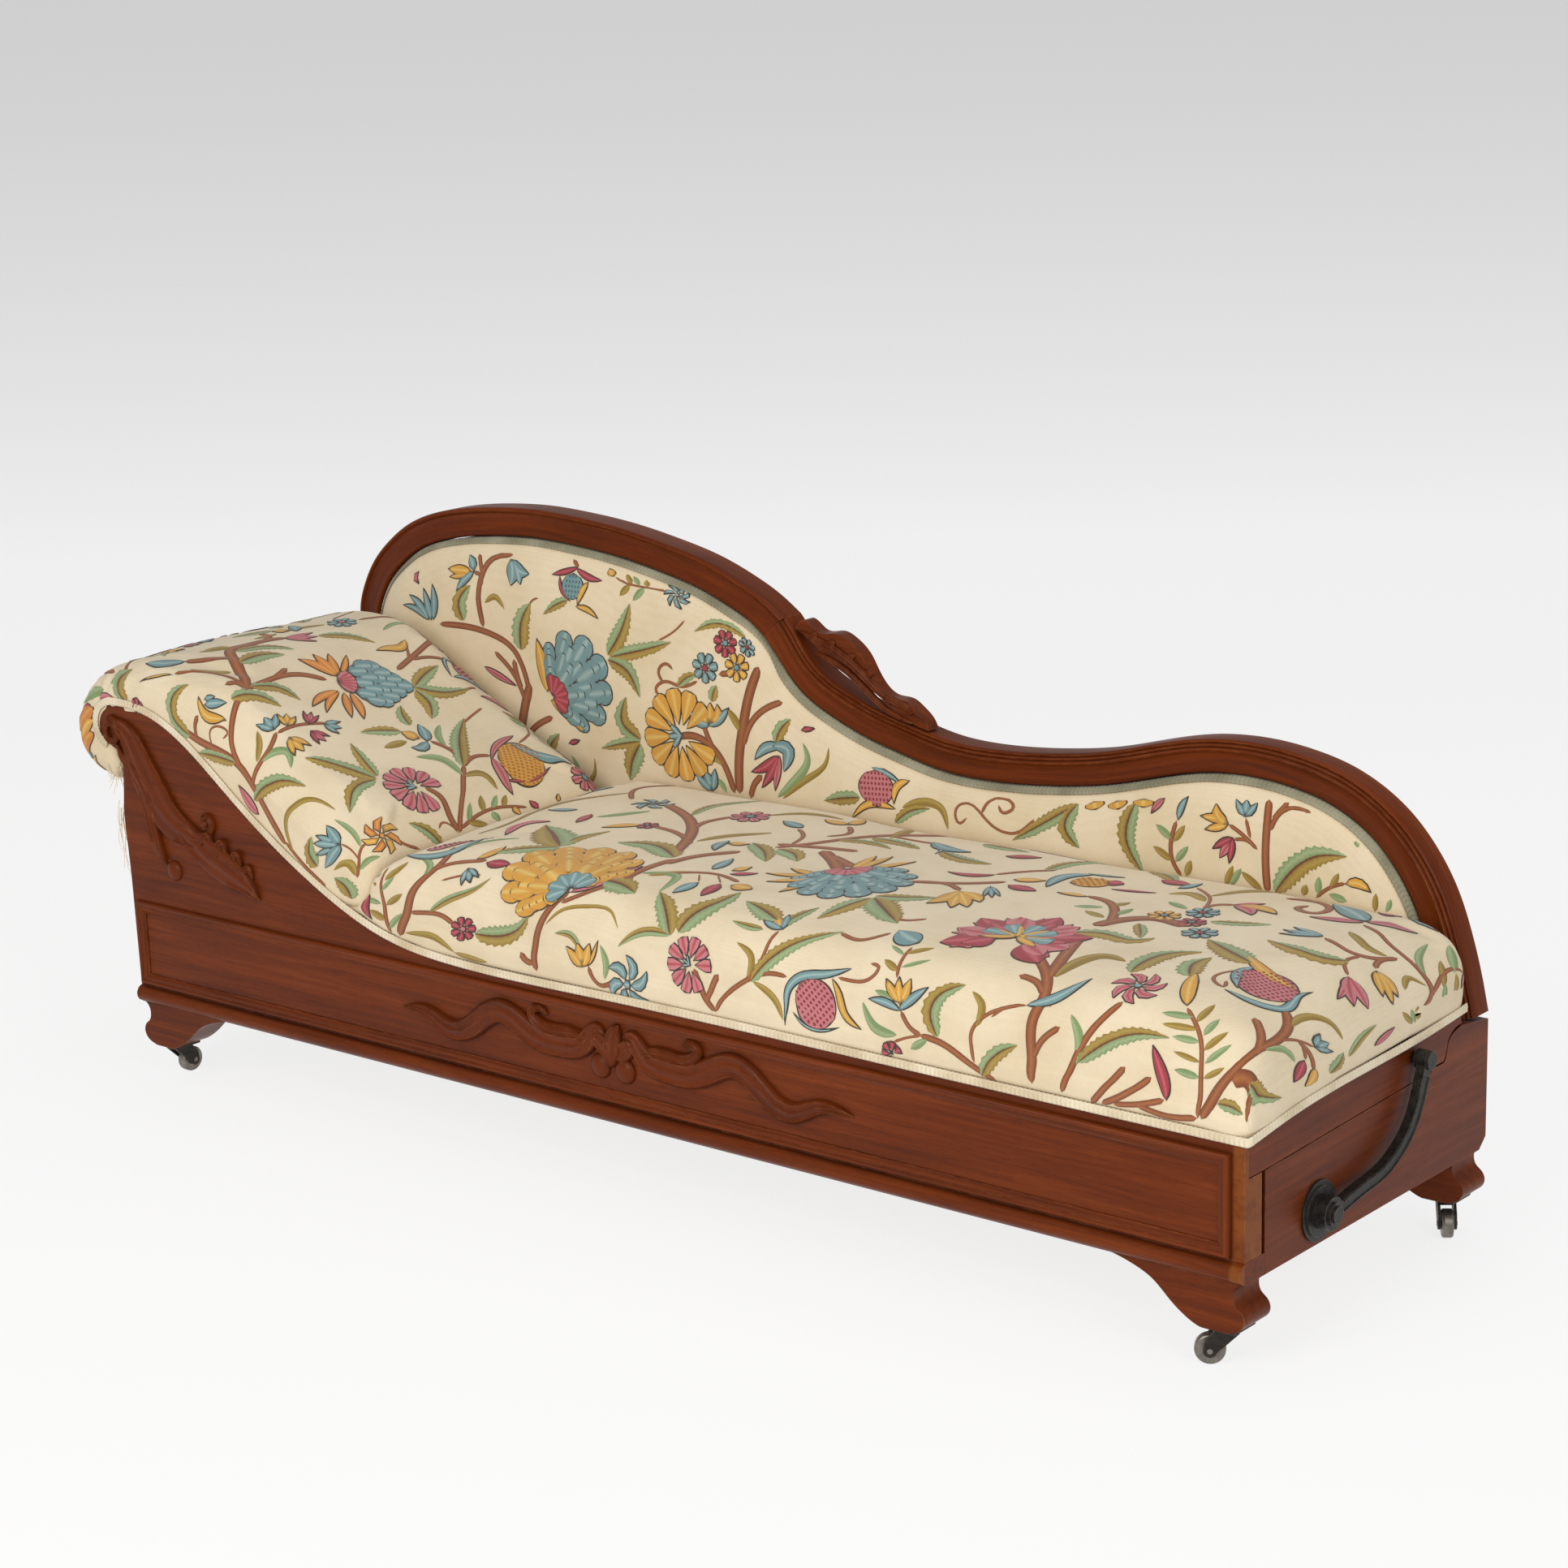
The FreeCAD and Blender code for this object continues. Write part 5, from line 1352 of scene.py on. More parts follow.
def tulip(work, wide, outer, inner, base, tip):
    """Two curved outer petals and a middle one."""
    lean = lean_of(base, tip)
    far = math.dist(base, tip)
    work.petal(inner, 0.5 * wide, [towards(base, lean, 0.12 * far), tip], "petal")
    for turn in (-1, 1):
        middle = towards(towards(base, lean, 0.45 * far), lean + turn * math.pi / 2, 0.28 * wide)
        point = towards(towards(base, lean, 0.92 * far), lean + turn * math.pi / 2, 0.52 * wide)
        work.petal(outer, 0.42 * wide, [base, middle, point], "petal", 0.5)


def cone(work, colour, heart, rows, spread, base, tip):
    """Rows of overlapping scallops, the outermost first: a pine cone if narrow, a fan if wide."""
    reach = math.dist(base, tip)
    lean = lean_of(base, tip)
    fullness = math.radians(min(spread, 175))
    layers = rows + 2
    for row in range(layers):
        lift = 0.3 + 0.16 * row
        if spread < 100:
            count = (1, 2, 3, 4, 4, 3)[min(row, 5)]
            size = reach * 0.17 * max(0.9, spread / 60)
            for i in range(count):
                shift = (i - (count - 1) / 2) * size
                far = reach * (1 - 0.62 * row / layers) - 0.1 * abs(shift)
                head = towards(towards(base, lean, far), lean + math.pi / 2, shift)
                root = towards(towards(base, lean, far - 0.27 * reach), lean + math.pi / 2, shift * 0.85)
                work.petal(colour, size * 1.3, [root, head], "scallop", lift)
        else:
            far = reach * (1 - 0.66 * row / layers)
            count = max(3, round(fullness * far / (0.3 * reach)) + row % 2)
            for i in range(count):
                turn = (i / (count - 1) - 0.5) * fullness
                dome = far * (1 - 0.36 * (2 * turn / fullness) ** 2)
                root = max(0.08, dome / reach - 0.34) * reach
                axis = [towards(base, lean + turn, root), towards(base, lean + turn, dome)]
                work.petal(colour, 1.12 * fullness * dome / count, axis, "scallop", lift)
    for i in range(6):
        angle = lean + (i - 2.5) * fullness / 5
        axis = [towards(base, angle, 0.02 * reach), towards(base, angle, 0.27 * reach)]
        work.petal(heart, 0.2 * reach, axis, "drop", 0.5 + 0.16 * layers)


def pod(work, wide, colour, dash, base, tip):
    """A seed pod filled with a basket check of short dashes."""
    work.petal("k" if colour == "r" else colour, wide, [base, tip], "round", 0.1, False)
    lean = lean_of(base, tip)
    far = math.dist(base, tip)
    tint = {"r": "#8E1A30", "a": "#B46E1C", "b": "#47707E"}[dash]
    for i in range(int(far / 7.5)):
        along = (i + 0.8) * 7.5
        room = wide / 2 * float(shape_of("round", np.array([along / far]))[0]) - 4
        for j in range(-int(room / 6), int(room / 6) + 1):
            middle = towards(towards(base, lean, along), lean + math.pi / 2, j * 6.0 + (i % 2) * 1.0)
            axis = [towards(middle, lean, -2.6), towards(middle, lean, 2.0)]
            work.strip(axis, 3.0, "stem", [(-1, tint), (0, tint), (1, tint)], 1.3)


def peony(work, spot, rim):
    """The great peony: two rings of pink points, a blue cup and yellow tongues."""
    reach = math.dist(spot, rim)
    for ring, (low, high, count, wide) in enumerate(((0.30, 1.0, 9, 0.5), (0.28, 0.82, 8, 0.42))):
        for i in range(count):
            angle = math.radians(-38 + (256 * i / (count - 1)) + ring * 8)
            tip = towards(spot, angle, high * reach * (1 - 0.1 * (i % 2)))
            axis = [towards(spot, angle, low * reach), tip]
            work.petal("k" if (i + ring) % 2 else "r", wide * reach, axis, "petal", 0.3 + 0.2 * ring)
            tooth = [towards(spot, angle + 0.14, 0.6 * reach), towards(spot, angle + 0.2, 0.9 * high * reach)]
            work.petal("k", 0.16 * reach, tooth, "petal", 0.25)
    for i in range(5):
        angle = math.radians(5 + 42 * i)
        axis = [towards(spot, angle, 0.1 * reach), towards(spot, angle, 0.55 * reach)]
        work.petal("b", 0.36 * reach, axis, "flare", 0.8)
    for angle in (-25, 15, 62, 118, 165, 205):
        turn = math.radians(angle)
        work.petal("y", 0.17 * reach, [spot, towards(spot, turn, 0.52 * reach)], "petal", 1.0)


MOTIFS = {motif.__name__: motif for motif in (daisy, wheel, fan, tulip, cone, pod, peony)}
print("motifs:", " ".join(MOTIFS))

# %% Copies and sewing


def moved(rows, du, dv, low, high):
    """Copies of the rows whose middle lies between two corners, further along the cloth."""
    copies = []
    for row in rows:
        u, v = np.mean(row[-1][::2]), np.mean(row[-1][1::2])
        if low[0] < u < high[0] and low[1] < v < high[1]:
            spots = [s + (dv if i % 2 else du) for i, s in enumerate(row[-1])]
            copies.append((*row[:-1], tuple(spots)))
    return copies


def sew(work, rows):
    """Draw every row of a pattern. The last item of a row holds its points, in millimetres."""
    under = {"stem": 0, "blade": 1, "leaf": 2}
    for row in sorted(rows, key=lambda r: under.get(r[0], 3)):
        spots = [tuple(row[-1][i : i + 2]) for i in range(0, len(row[-1]), 2)]
        if row[0] == "stem":
            work.stem(row[1], spots)
        elif row[0] == "blade":
            work.blade(row[1], row[2], spots)
        elif row[0] == "leaf":
            work.leaf(row[1], row[2], spots)
        elif row[0] == "petal":
            work.petal(row[2], row[1], spots)
        else:
            MOTIFS[row[0]](work, *row[1:-1], *spots)


# %% [markdown]
# Laying the work on a cushion takes two steps. The unfolded cloth is the same set of rings that the
# cushion grew from: one number runs along the rings, the other up from the seam. That gives a point
# near the cushion, and a search tree then finds the nearest point of the finished skin, where the
# stitch is raised along the surface's normal.

# %% Lay the stitches on a cushion


SEAM_TO_UNDERSIDE = 27
SHOULDER = 10


def ring_cloth(rings):
    """A function from cloth millimetres to points near a cushion made of rings."""
    net = np.array([[tuple(p) for p in ring[:SEAM_TO_UNDERSIDE]] for ring in rings]) * MM + ORIGIN
    along = np.linalg.norm(np.diff(net[:, SHOULDER], axis=0), axis=1)
    along = np.concatenate([[0], np.cumsum(along)])
    steps = np.linalg.norm(np.diff(net, axis=1), axis=2)
    up = np.concatenate([np.zeros((len(net), 1)), np.cumsum(steps, axis=1)], axis=1)

    def unfold(flat):
        where = np.clip(np.interp(flat[:, 0], along, np.arange(len(along))), 0, len(along) - 1.001)
        low = where.astype(int)
        found = np.zeros((len(flat), 3))
        for side, weight in ((0, 1 - (where - low)), (1, where - low)):
            for ring in np.unique(low + side):
                mine = low + side == ring
                for axis in range(3):
                    found[mine, axis] += weight[mine] * np.interp(flat[mine, 1], up[ring], net[ring, :, axis])
        return found

    return unfold


def lay_on(name, work, unfold, cushion, body, clear_of=None):
    """Make the stitches a mesh on the cushion's skin, kept clear of a part that moves past."""
    flat = np.vstack(work.points)
    near = (unfold(flat[:, :2]) - ORIGIN) / MM
    skin = BVHTree.FromObject(cushion, bpy.context.evaluated_depsgraph_get())
    place = np.empty_like(near)
    for i, spot in enumerate(near):
        found, normal, _, _ = skin.find_nearest(spot)
        place[i] = found + normal * (flat[i, 2] / MM)
    if clear_of:
        behind, below, within = clear_of
        close = (place[:, 1] > behind) & (place[:, 2] < below)
        place[close, 0] = np.minimum(place[close, 0], within)
    data = bpy.data.meshes.new(name)
    data.from_pydata(place.tolist(), [], np.vstack(work.faces).tolist())
    tint = data.color_attributes.new("wool", "FLOAT_COLOR", "POINT")
    colours = np.column_stack([np.vstack(work.colours), np.ones(len(place))])
    tint.data.foreach_set("color", colours.ravel())
    data.materials.append(crewel_wool)
    data.shade_smooth()
    made = bpy.data.objects.new(name, data)
    bpy.context.scene.collection.objects.link(made)
    bm = bmesh.new()
    bm.from_mesh(data)
    bmesh.ops.recalc_face_normals(bm, faces=bm.faces)
    flip = [f for f in bm.faces if f.normal.dot(skin.find_nearest(f.calc_center_median())[1]) < 0]
    bmesh.ops.reverse_faces(bm, faces=flip)
    bm.to_mesh(data)
    bm.free()
    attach(made, body)
    print(name, len(data.polygons), "faces")
# %% [markdown]
# The pattern itself, in millimetres on the unfolded cloth, as an embroiderer would mark it out with
# chalk. A row is a motif with its width, its colours, its first point and the steps from there to
# the next points. A semicolon ends it, and a row without a motif's name has that of the row before.
# On the back, a point is an x and a z of the couch.

# %% Reading a pattern
BEFORE_POINTS = {"peony": 0, "stem": 1, "blade": 2, "leaf": 2, "petal": 2}
BEFORE_POINTS |= {"tulip": 3, "pod": 3, "daisy": 3, "wheel": 3, "fan": 4, "cone": 4}


def pattern(text):
    """Rows of a pattern: the motif, its colours and counts, and then its points as one flat tuple."""
    rows = []
    for line in text.replace("\n", " ").split(";"):
        words = [w if w.isalpha() else int(w) for w in line.split()]
        if words[0] in BEFORE_POINTS:
            motif = words.pop(0)
        split = BEFORE_POINTS[motif]
        points = np.cumsum(np.reshape(words[split:], (-1, 2)), axis=0)
        rows.append((motif, *words[:split], tuple(points.ravel().tolist())))
    return rows


print("a stem:", pattern("stem 9 10 20 5 5 5 -5"))


# %% The seat's pattern
SEAT_PATTERN = pattern("""
stem 13 166 18 -5 42 -5 33 2 31 1 30 -11 33; 9 165 58 21 9 20 2 19 -9; 10 155 130 14 18 28 12 28 6; 5 183
121 29 15 24 3; 6 156 15 -21 33 -26 31 -24 33; 12 350 21 -4 27 9 37 17 30 15 21; 9 382 118 29 21 27 24; 11
346 30 -12 3 -8 9; 8 434 42 18 -21 26 9; 11 613 69 17 -30 19 -18; 11 635 30 9 24 9 15; 8 649 21 14 21 21
18 24 15 25 9 26 0; 6 696 69 22 31 4 36 3 9; 8 808 164 35 -7 28 25; 6 836 97 29 0 23 12 3 12 -14 3; 8 934
73 14 -19 16 -6; 6 919 160 0 -36 3 -12; 4 924 33 20 9 20 6; 10 1071 12 -41 18 -40 15 -28 3; 6 1042 30 -8
31 19 27 26 15 24 9; 18 1033 227 61 -48 24 -28 8 -24 -5 -27 -1 -36 3 -43; 20 1062 254 14 -48; 21 1080 275
26 -75 12 -43; 12 1079 151 29 -6 16 -15; 10 1123 51 12 22 24 21; 4 1108 112 -23 -6 -23 -18; 11 1164 18 17
40 15 30 17 30 14 24; 10 1204 12 26 30 19 22; 10 1219 15 36 21 27 22; 9 1235 18 30 6 35 12; 10 1265 24 39
-6 34 6; 7 1339 24 4 46 -4 45 -12 18 -21 21; 15 1343 24 24 40 24 24 21 27 5 39 -10 42 -20 28; 13 1417 115
-14 33 -24 28; 28 1387 76 35 3 21 -19 -18 -27; 6 1417 157 13 27 15 12; 9 1430 181 18 1 27 -13; 7 1437 182
18 -13; 6 1298 270 -9 -22 11 -27 14 -6 -7 18; 26 1068 321 9 33 28 37 51 -7; 16 1074 345 -29 52 -29 24 -28
3; 6 1132 460 -20 46 -38 30; 10 1129 463 8 21 19 9; 13 1190 554 39 12 26 -21 -6 -30 -25 9 5 18; 10 1321
424 34 -10 22 16 14 36; 9 1323 509 42 -20 35 -11 27 -10 25 -22 20 -48; 6 1321 584 21 0; 6 1385 360 -18 28
2 30; 9 1391 412 -6 21 2 20; 7 1461 428 -24 57 -2 42 8 10; 18 460 245 8 39 32 61; 21 443 275 -47 91 -71 78
-75 42; 13 385 378 -23 58 7 45; 10 489 218 17 12 35 15 48 -9; 3 527 233 17 -21; 3 550 242 22 -21; 8 489
478 31 -28 13 -39; 16 524 387 31 39 21 39 33 64 52 48; 16 516 402 60 12 56 9; 23 592 402 40 -30 37 -34; 21
616 387 59 -28; 10 536 526 25 -39 -13 -22; 10 610 523 40 2 25 3; 10 836 442 23 30 28 28; 13 842 357 -26 13
-45 -23; 13 771 347 51 35 45 39; 8 831 230 34 -9 18 15; 13 319 380 44 -8 60 -36; 10 196 484 -37 62 28 38;
18 443 163 5 52 9 51; 4 1137 118 3 0; blade 6 o 103 70 -13 3; 9 g 129 48 -23 -6; 12 o 146 30 -22 0; 8 g
119 69 -2 34; 9 o 136 51 9 30; 7 g 153 21 3 30; 14 g 80 91 9 0; 14 o 110 88 -1 48; 9 o 171 27 30 9 34 -15;
6 o 363 85 25 24 37 12 39 0 18 -21; 11 g 463 30 0 24 -8 19; 10 o 699 66 3 34 -27 15; 10 o 708 69 31 -15 17
-24; 10 o 919 121 -25 12; 6 g 922 127 34 18; 9 o 917 148 30 18; 6 g 916 145 -26 12; 13 g 928 42 -37 6 -14
25; 10 g 950 30 23 15; 11 o 1042 73 5 27 -17 15; 10 g 928 85 -34 6; 21 o 1124 160 5 43 15 24 34 -3; 13 g
1184 54 3 31 -17 27; 10 g 1321 142 -40 -3; 9 o 1332 127 -45 -3; 9 g 1338 112 -34 0; 7 o 1342 88 -33 6; 10
g 1341 70 -30 3; 11 o 1327 136 6 34; 10 g 1341 121 10 27; 9 o 1345 103 24 30; 8 g 1348 88 31 30; 7 o 1346
70 28 18; 13 g 1420 127 12 24 20 -2; 12 o 1410 193 0 46 17 15 25 -5; 13 o 1034 406 10 27; 13 g 1060 375 2
37; 13 g 1030 394 -31 -16; 13 o 1057 357 -35 12; 16 o 1115 490 -38 19 -18 -13; 13 o 1109 512 29 45 50 30;
13 g 1079 466 35 -15; 15 o 1383 456 -18 -7 -38 20; 10 g 1430 465 -27 30 -12 44; 9 o 1430 417 -10 28 17 9;
10 o 1448 478 -31 41; 13 g 1437 518 -32 42; 10 o 1472 492 -32 26; 10 g 1475 460 -30 26; 12 o 1482 386 -27
-8; 11 g 1482 392 -24 5; 13 o 1479 400 -21 12; 13 o 405 514 36 33 64 6; 16 o 421 351 14 51 36 42; 18 o 615
514 -15 75; 13 o 121 257 4 75 -5 103 51 80; 10 g 162 172 17 43 33 27; 16 g 219 386 44 55; 13 o 468 203 42
33; 13 g 454 206 51 9 9 -46; 9 g 112 154 35 -12 12 -36; 9 o 235 21 33 -3 11 0; leaf 29 go 257 54 34 3 29
15 14 19; 14 go 189 70 22 27 26 18 17 21; 45 og 420 169 29 0 34 -12; 35 go 569 106 -17 27 -36 36; 15 go
569 106 -44 -3 -40 -27; 42 og 581 112 12 30 17 30 6 36; 12 og 421 60 -12 16 -30 0; 25 og 705 69 37 46 35
30 33 22; 21 og 724 151 3 36 9 27; 13 go 702 142 -26 0 -24 3; 36 go 710 163 -32 15 -38 12; 28 og 987 51
-10 28 11 24 30 18; 22 go 1051 15 20 30 29 16; 36 go 1059 279 40 18 41 -3 15 24; 23 og 1187 58 37 30 38 18
39 3; 36 go 1202 200 -4 45 10 36 22 22; 35 go 1266 221 -19 42 4 28; 32 og 1427 75 52 -8 14 24; 17 og 1362
45 23 0 27 -6; 42 og 1298 300 -40 21 -50 30; 19 go 1105 360 16 -21 20 -30; 21 og 1169 418 36 9 35 12; 31
og 1369 390 -23 -24 -32 0 -43 15; 14 go 1482 241 -21 47 -6 32; 24 go 1493 194 -7 21 -14 20; 16 og 323 456
-12 61 36 59; 35 og 486 387 38 -24 34 -37; 36 og 534 381 33 -9 26 -25; 23 go 575 456 37 15 43 -9; 31 go
601 492 37 6 43 -9; 31 go 713 495 37 -15 53 -1; 21 og 730 561 38 -3 37 0; 23 og 1034 548 -27 18 -26 3; 23
og 880 490 2 52 34 45; 36 og 777 265 -12 -39 -11 -39; 48 og 779 268 38 -29 43 -30; 31 og 777 274 30 12 32
26; 31 go 288 233 -32 -25 -40 -24; 68 og 283 239 -45 39 -46 37; 23 go 280 242 -5 55 12 36; 47 go 449 272
-62 31 -51 -10; petal 16 r 104 51 13 -24 16 -9; tulip 40 y y 425 39 -8 31; petal 8 y 434 42 10 18 8 19;
wheel b r 6 502 30 37 6; fan k b 9 290 606 73 -34 18; tulip 32 b y 728 148 -27 24; pod 64 k r 780 81 48
-45; petal 14 b 853 112 -40 -15 -34 -10 -18 -21 -2 -24 0 -18; 6 b 770 42 18 -12 25 -3 30 9; 13 y 828 94 12
-18 7 -21 29 -16; 15 y 933 82 -13 12 -13 15; 16 y 934 82 6 18 2 15; 14 y 933 79 -8 36; 13 b 934 73 -20 6
-29 0; 14 b 931 73 19 18 20 18; 36 b 922 170 -20 6 -25 15; fan r b 5 200 922 18 -12 12; peony 1016 236 -65
-63; petal 16 b 1108 112 35 18 26 40; wheel k b 7 1229 173 28 18; petal 17 r 1303 36 -7 28 -14 33; 21 y
1304 157 -17 31 -19 45; tulip 29 b b 1445 196 3 28; petal 18 r 1455 166 13 -21 11 -21; 19 y 1472 172 17
-15 4 -18; pod 71 k r 1303 276 78 -34; petal 15 b 1306 294 -3 -24 24 -46; 15 b 1320 209 39 0 26 12 -4 42 4
22; 20 y 1282 318 44 -30 51 -15; daisy y b 8 1109 409 18 12; b r 8 1141 445 20 9; b r 8 1185 369 20 12; r
b 8 1152 403 17 9; petal 13 y 990 421 -42 -6; 21 k 1156 490 23 -6 19 -21; 13 k 1156 493 29 22; 21 y 1161
487 20 9 41 -15; tulip 31 b b 1317 427 -54 0; petal 36 b 1318 524 -44 33 -30 15; 21 k 1318 518 -36 -12 -25
-10; 23 k 1318 524 28 12 25 17; 26 r 1336 578 -32 -3; 13 b 1342 581 29 -3; 11 b 1345 584 38 -5; 12 k 1387
357 11 -28 7 -29; 20 k 1387 357 20 -31 15 -14; 21 k 1387 357 20 -13 25 -14; 15 y 1394 405 16 -18 17 -16;
15 y 1394 408 23 -15 23 -20; 17 y 1394 408 21 -5 20 -10; 9 k 1443 537 22 -26; 12 k 1486 296 -14 54; daisy
k b 8 391 496 24 15; petal 16 b 454 378 1 -21 16 -30; 21 y 460 366 26 15; 18 b 528 257 -11 54; 18 y 552
266 9 30; 16 r 559 254 27 24; 21 b 547 209 -13 -37; 21 r 575 218 1 -40; 26 y 589 221 32 3; 21 b 491 484
-47 18; 21 y 530 532 -22 0 -20 3; 21 y 530 532 1 15 -4 24; 26 b 672 531 36 -18 36 3; 8 b 679 525 28 -24 5
-21; 16 r 837 439 -26 -18 -31 -5; 26 y 845 354 6 -33 -6 -36; 21 y 847 351 33 -63; 24 y 847 351 47 -48; 23
y 848 351 22 -3 23 -18; tulip 20 b b 863 394 31 -40; petal 23 r 879 409 45 -3; 21 y 870 433 37 18; 21 r
794 522 42 20; 6 b 791 576 91 5; pod 47 y a 936 460 37 39; petal 21 b 936 512 -19 -22 7 -63; 10 b 928 512
46 15; 29 r 968 493 23 6; 10 r 991 469 54 21; 23 r 1018 542 44 0; 16 b 1056 521 15 33; cone b k 3 150 676
347 85 -85; petal 16 y 661 308 -54 9; 16 y 661 305 -68 -21; 16 y 666 299 -50 -42; 16 y 672 296 -16 -63; 16
y 682 347 -15 70; 16 y 687 350 -3 79; 16 y 695 350 26 79; 21 k 659 308 23 39 28 21; cone y b 3 160 388 139
-90 103; petal 11 k 390 136 -51 -9 -49 -9; 23 k 390 136 31 33 19 55; pod 36 k r 107 169 40 63; petal 16 b
83 145 74 33 2 72; 21 k 184 333 -23 -19 5 -50; 16 r 204 393 12 -46; 18 b 169 403 -34 -22; 16 b 119 531 -25
-53 -2 -55; 21 y 305 375 -25 -12 -17 -19; daisy r b 6 313 378 14 8; wheel b r 6 240 475 24 17; petal 18 y
207 166 10 15 7 24; 20 r 228 161 40 2; tulip 24 b b 208 148 20 -24; daisy r k 7 240 57 17 6
""")
seat_work = Needlework(3)
sew(seat_work, SEAT_PATTERN)
# The open arm passes the rear of the seat's end 983 mm out, up to 333 mm high: the wool stays inside that.
ARM_PATH = (0.07, 0.338, 0.9828)
lay_on("seat_embroidery", seat_work, ring_cloth(seat_rings), seat_cushion, "seat", ARM_PATH)

# %% The head rest's pattern
HEAD_PATTERN = pattern("""
stem 14 213 21 47 15 39 15 36 7 50 -10 59 -18 37 -6; 12 333 58 29 11 22 25 18 27 15 27; 22 417 148 32 18
48 16 24 14 6 27 2 62 -7 17; 13 533 269 19 22 21 -4; 13 417 148 7 45 1 36 -10 28 -20 24; 11 425 205 13 34;
13 487 187 16 -18 16 -27 16 -21; 8 426 151 38 -15 27 -18 28 -30; 12 417 148 17 -6 5 -15; 12 378 403 19 45
19 44 26 31 14 -1 17 0; 10 467 526 42 -28 14 -51; 9 393 445 -3 39 -10 22; 6 396 442 25 17 13 4; 4 423 513
-2 24 -34 -4; 6 311 459 0 31 4 24; 9 328 136 -17 -30 -2 -30 -6 -25; 8 325 136 0 36 -12 43; 10 437 30 8 15
-2 19; 4 401 45 11 12 -12 19 -19 3 4 -12; 7 79 15 87 3 49 6; 4 119 85 -20 6 -26 0; 6 47 73 32 21 13 18 -2
12; 7 82 160 -17 12 -11 16; 13 141 260 -24 12 -28 -3 -27 1; 10 60 269 48 37 55 50; 9 161 353 12 36 -6 24;
10 161 353 33 7 30 -18; 5 244 423 12 29 11 32; 5 264 548 -33 -3 -36 -25 -17 -38; 7 65 275 15 55 -1 42 -11
37; 4 60 266 13 -3 9 -12 -8 -12; blade 18 o 523 205 21 -18 5 -29; 15 o 470 160 12 -21 25 -27; 13 o 539 390
13 -36 2 -39; 9 g 470 453 9 38 -17 24; 13 g 308 88 -4 24 -10 15 -28 -12; 11 o 315 82 13 21 19 12; 9 o 191
21 34 27 -3 34 -18 24 -37 12; 9 g 93 106 31 6 32 -6; 14 o 52 73 33 0 8 -25; 10 g 59 82 7 21 -4 18; 15 g
145 339 38 -6 19 -37; 12 o 144 339 -5 33 -30 7; 12 g 205 357 24 6 24 23; 14 o 236 306 0 -19 0 -24; 16 o
228 545 26 -29; 14 g 215 540 20 -26; 5 o 221 546 -30 -1; 8 g 205 535 -25 10; 10 o 184 530 -31 20 -74 9; 9
g 68 294 32 23; 12 o 80 330 27 13; 10 g 79 348 22 23; 10 o 79 369 18 18; 13 o 71 293 -11 31; 14 g 77 345
-18 3; 21 g 676 30 43 9 26 10; leaf 25 og 419 157 -15 40 -34 14; 30 og 412 118 -17 39 -28 15; 26 go 509
199 -3 43 -31 39; 31 go 475 181 4 43 -12 33; 23 og 499 348 -18 37 -35 32; 28 go 339 406 18 35 13 39; 29 og
338 403 -22 35 -6 55; 34 og 331 400 -25 5 -36 -21; 28 og 456 27 42 6 2 25 -17 30; 39 og 626 6 8 27 -30 31;
21 go 347 57 40 -18 46 -24; 25 og 295 36 -14 33 -24 28 -29 15; 30 go 130 33 30 9 8 21; 36 go 0 51 34 -3 45
-9; 33 go 182 203 41 -27 43 -34; 24 go 187 209 37 6 39 6; 27 og 180 200 -2 -36 -29 -34; 32 og 162 353 53
39 40 45; 24 og 258 312 12 -31 7 -30; 23 og 266 336 26 7 18 11; 23 og 50 226 24 -6 22 -24; petal 21 b 535
121 21 -27 27 -15; 6 y 520 85 56 -37; tulip 36 k k 521 299 -24 46; daisy b k 8 529 418 -13 21; petal 18 y
437 469 -15 -22 4 -19 1 -25; pod 43 k r 375 516 -40 20; petal 8 b 364 534 20 -25 -42 -25; 9 y 374 537 -33
2 -37 -3; 13 b 341 487 -7 34 -30 15; 10 b 398 536 -5 3 -22 1; 18 y 401 532 -34 5 -25 -1; 16 k 419 531 -9
1; cone b k 4 78 386 291 -47 112; petal 21 a 396 300 27 -10 27 -21; 19 a 397 303 26 -1 29 -3; 15 a 398 306
25 8 22 9; 12 a 396 309 16 20 20 19; 16 a 369 281 -4 -36 -14 -27; 13 a 366 281 -12 -27 -22 -24; 15 a 363
287 -24 -12 -30 -15; 16 a 359 296 -26 -5 -33 -15; tulip 32 b b 332 136 26 0; 27 y y 328 155 23 14; 23 r k
320 187 22 22; 28 b b 313 209 -18 21; 26 r k 308 181 -28 9; 30 y y 310 145 -34 3; fan r b 6 230 585 6 7
18; petal 17 y 397 91 37 -18 23 12; 16 b 440 82 -28 27; 11 b 445 88 -12 15; 10 y 439 67 -46 24; 18 k 280
24 28 3 24 6; 19 b 119 85 20 3 20 3; 24 b 119 85 -5 -27 -1 -19; 15 b 121 82 38 -25; 12 b 130 82 33 -13; 12
b 122 73 22 -28; wheel y a 7 90 142 -8 30; fan k b 10 280 146 245 31 -36; petal 24 y 234 330 22 -19; 21 b
225 336 19 11 20 4; 18 b 225 336 -10 -19 7 -14; pod 95 y a 159 420 -38 64; petal 13 k 196 487 -15 -51 -24
-31; 19 k 162 411 -36 -9 -33 -3; 18 b 183 466 -33 17 -35 53; 10 r 120 403 -12 42 13 51; daisy k b 7 87 541
-16 20; petal 18 k 258 540 24 -11 9 -28; 8 b 124 551 26 2 26 2; 6 y 114 551 25 2 18 -3; 14 y 76 384 -17 6;
15 r 60 427 17 -7; 9 y 62 467 12 10; 33 a 738 18 30 18 29 21; 23 y 769 12 26 30 28 15; 30 a 800 21 18 30
28 10; 21 k 704 18 -48 -6; 14 b 837 54 15 10; 16 r 736 27 19 12; 13 y 852 45 10 16 24 -9
""")
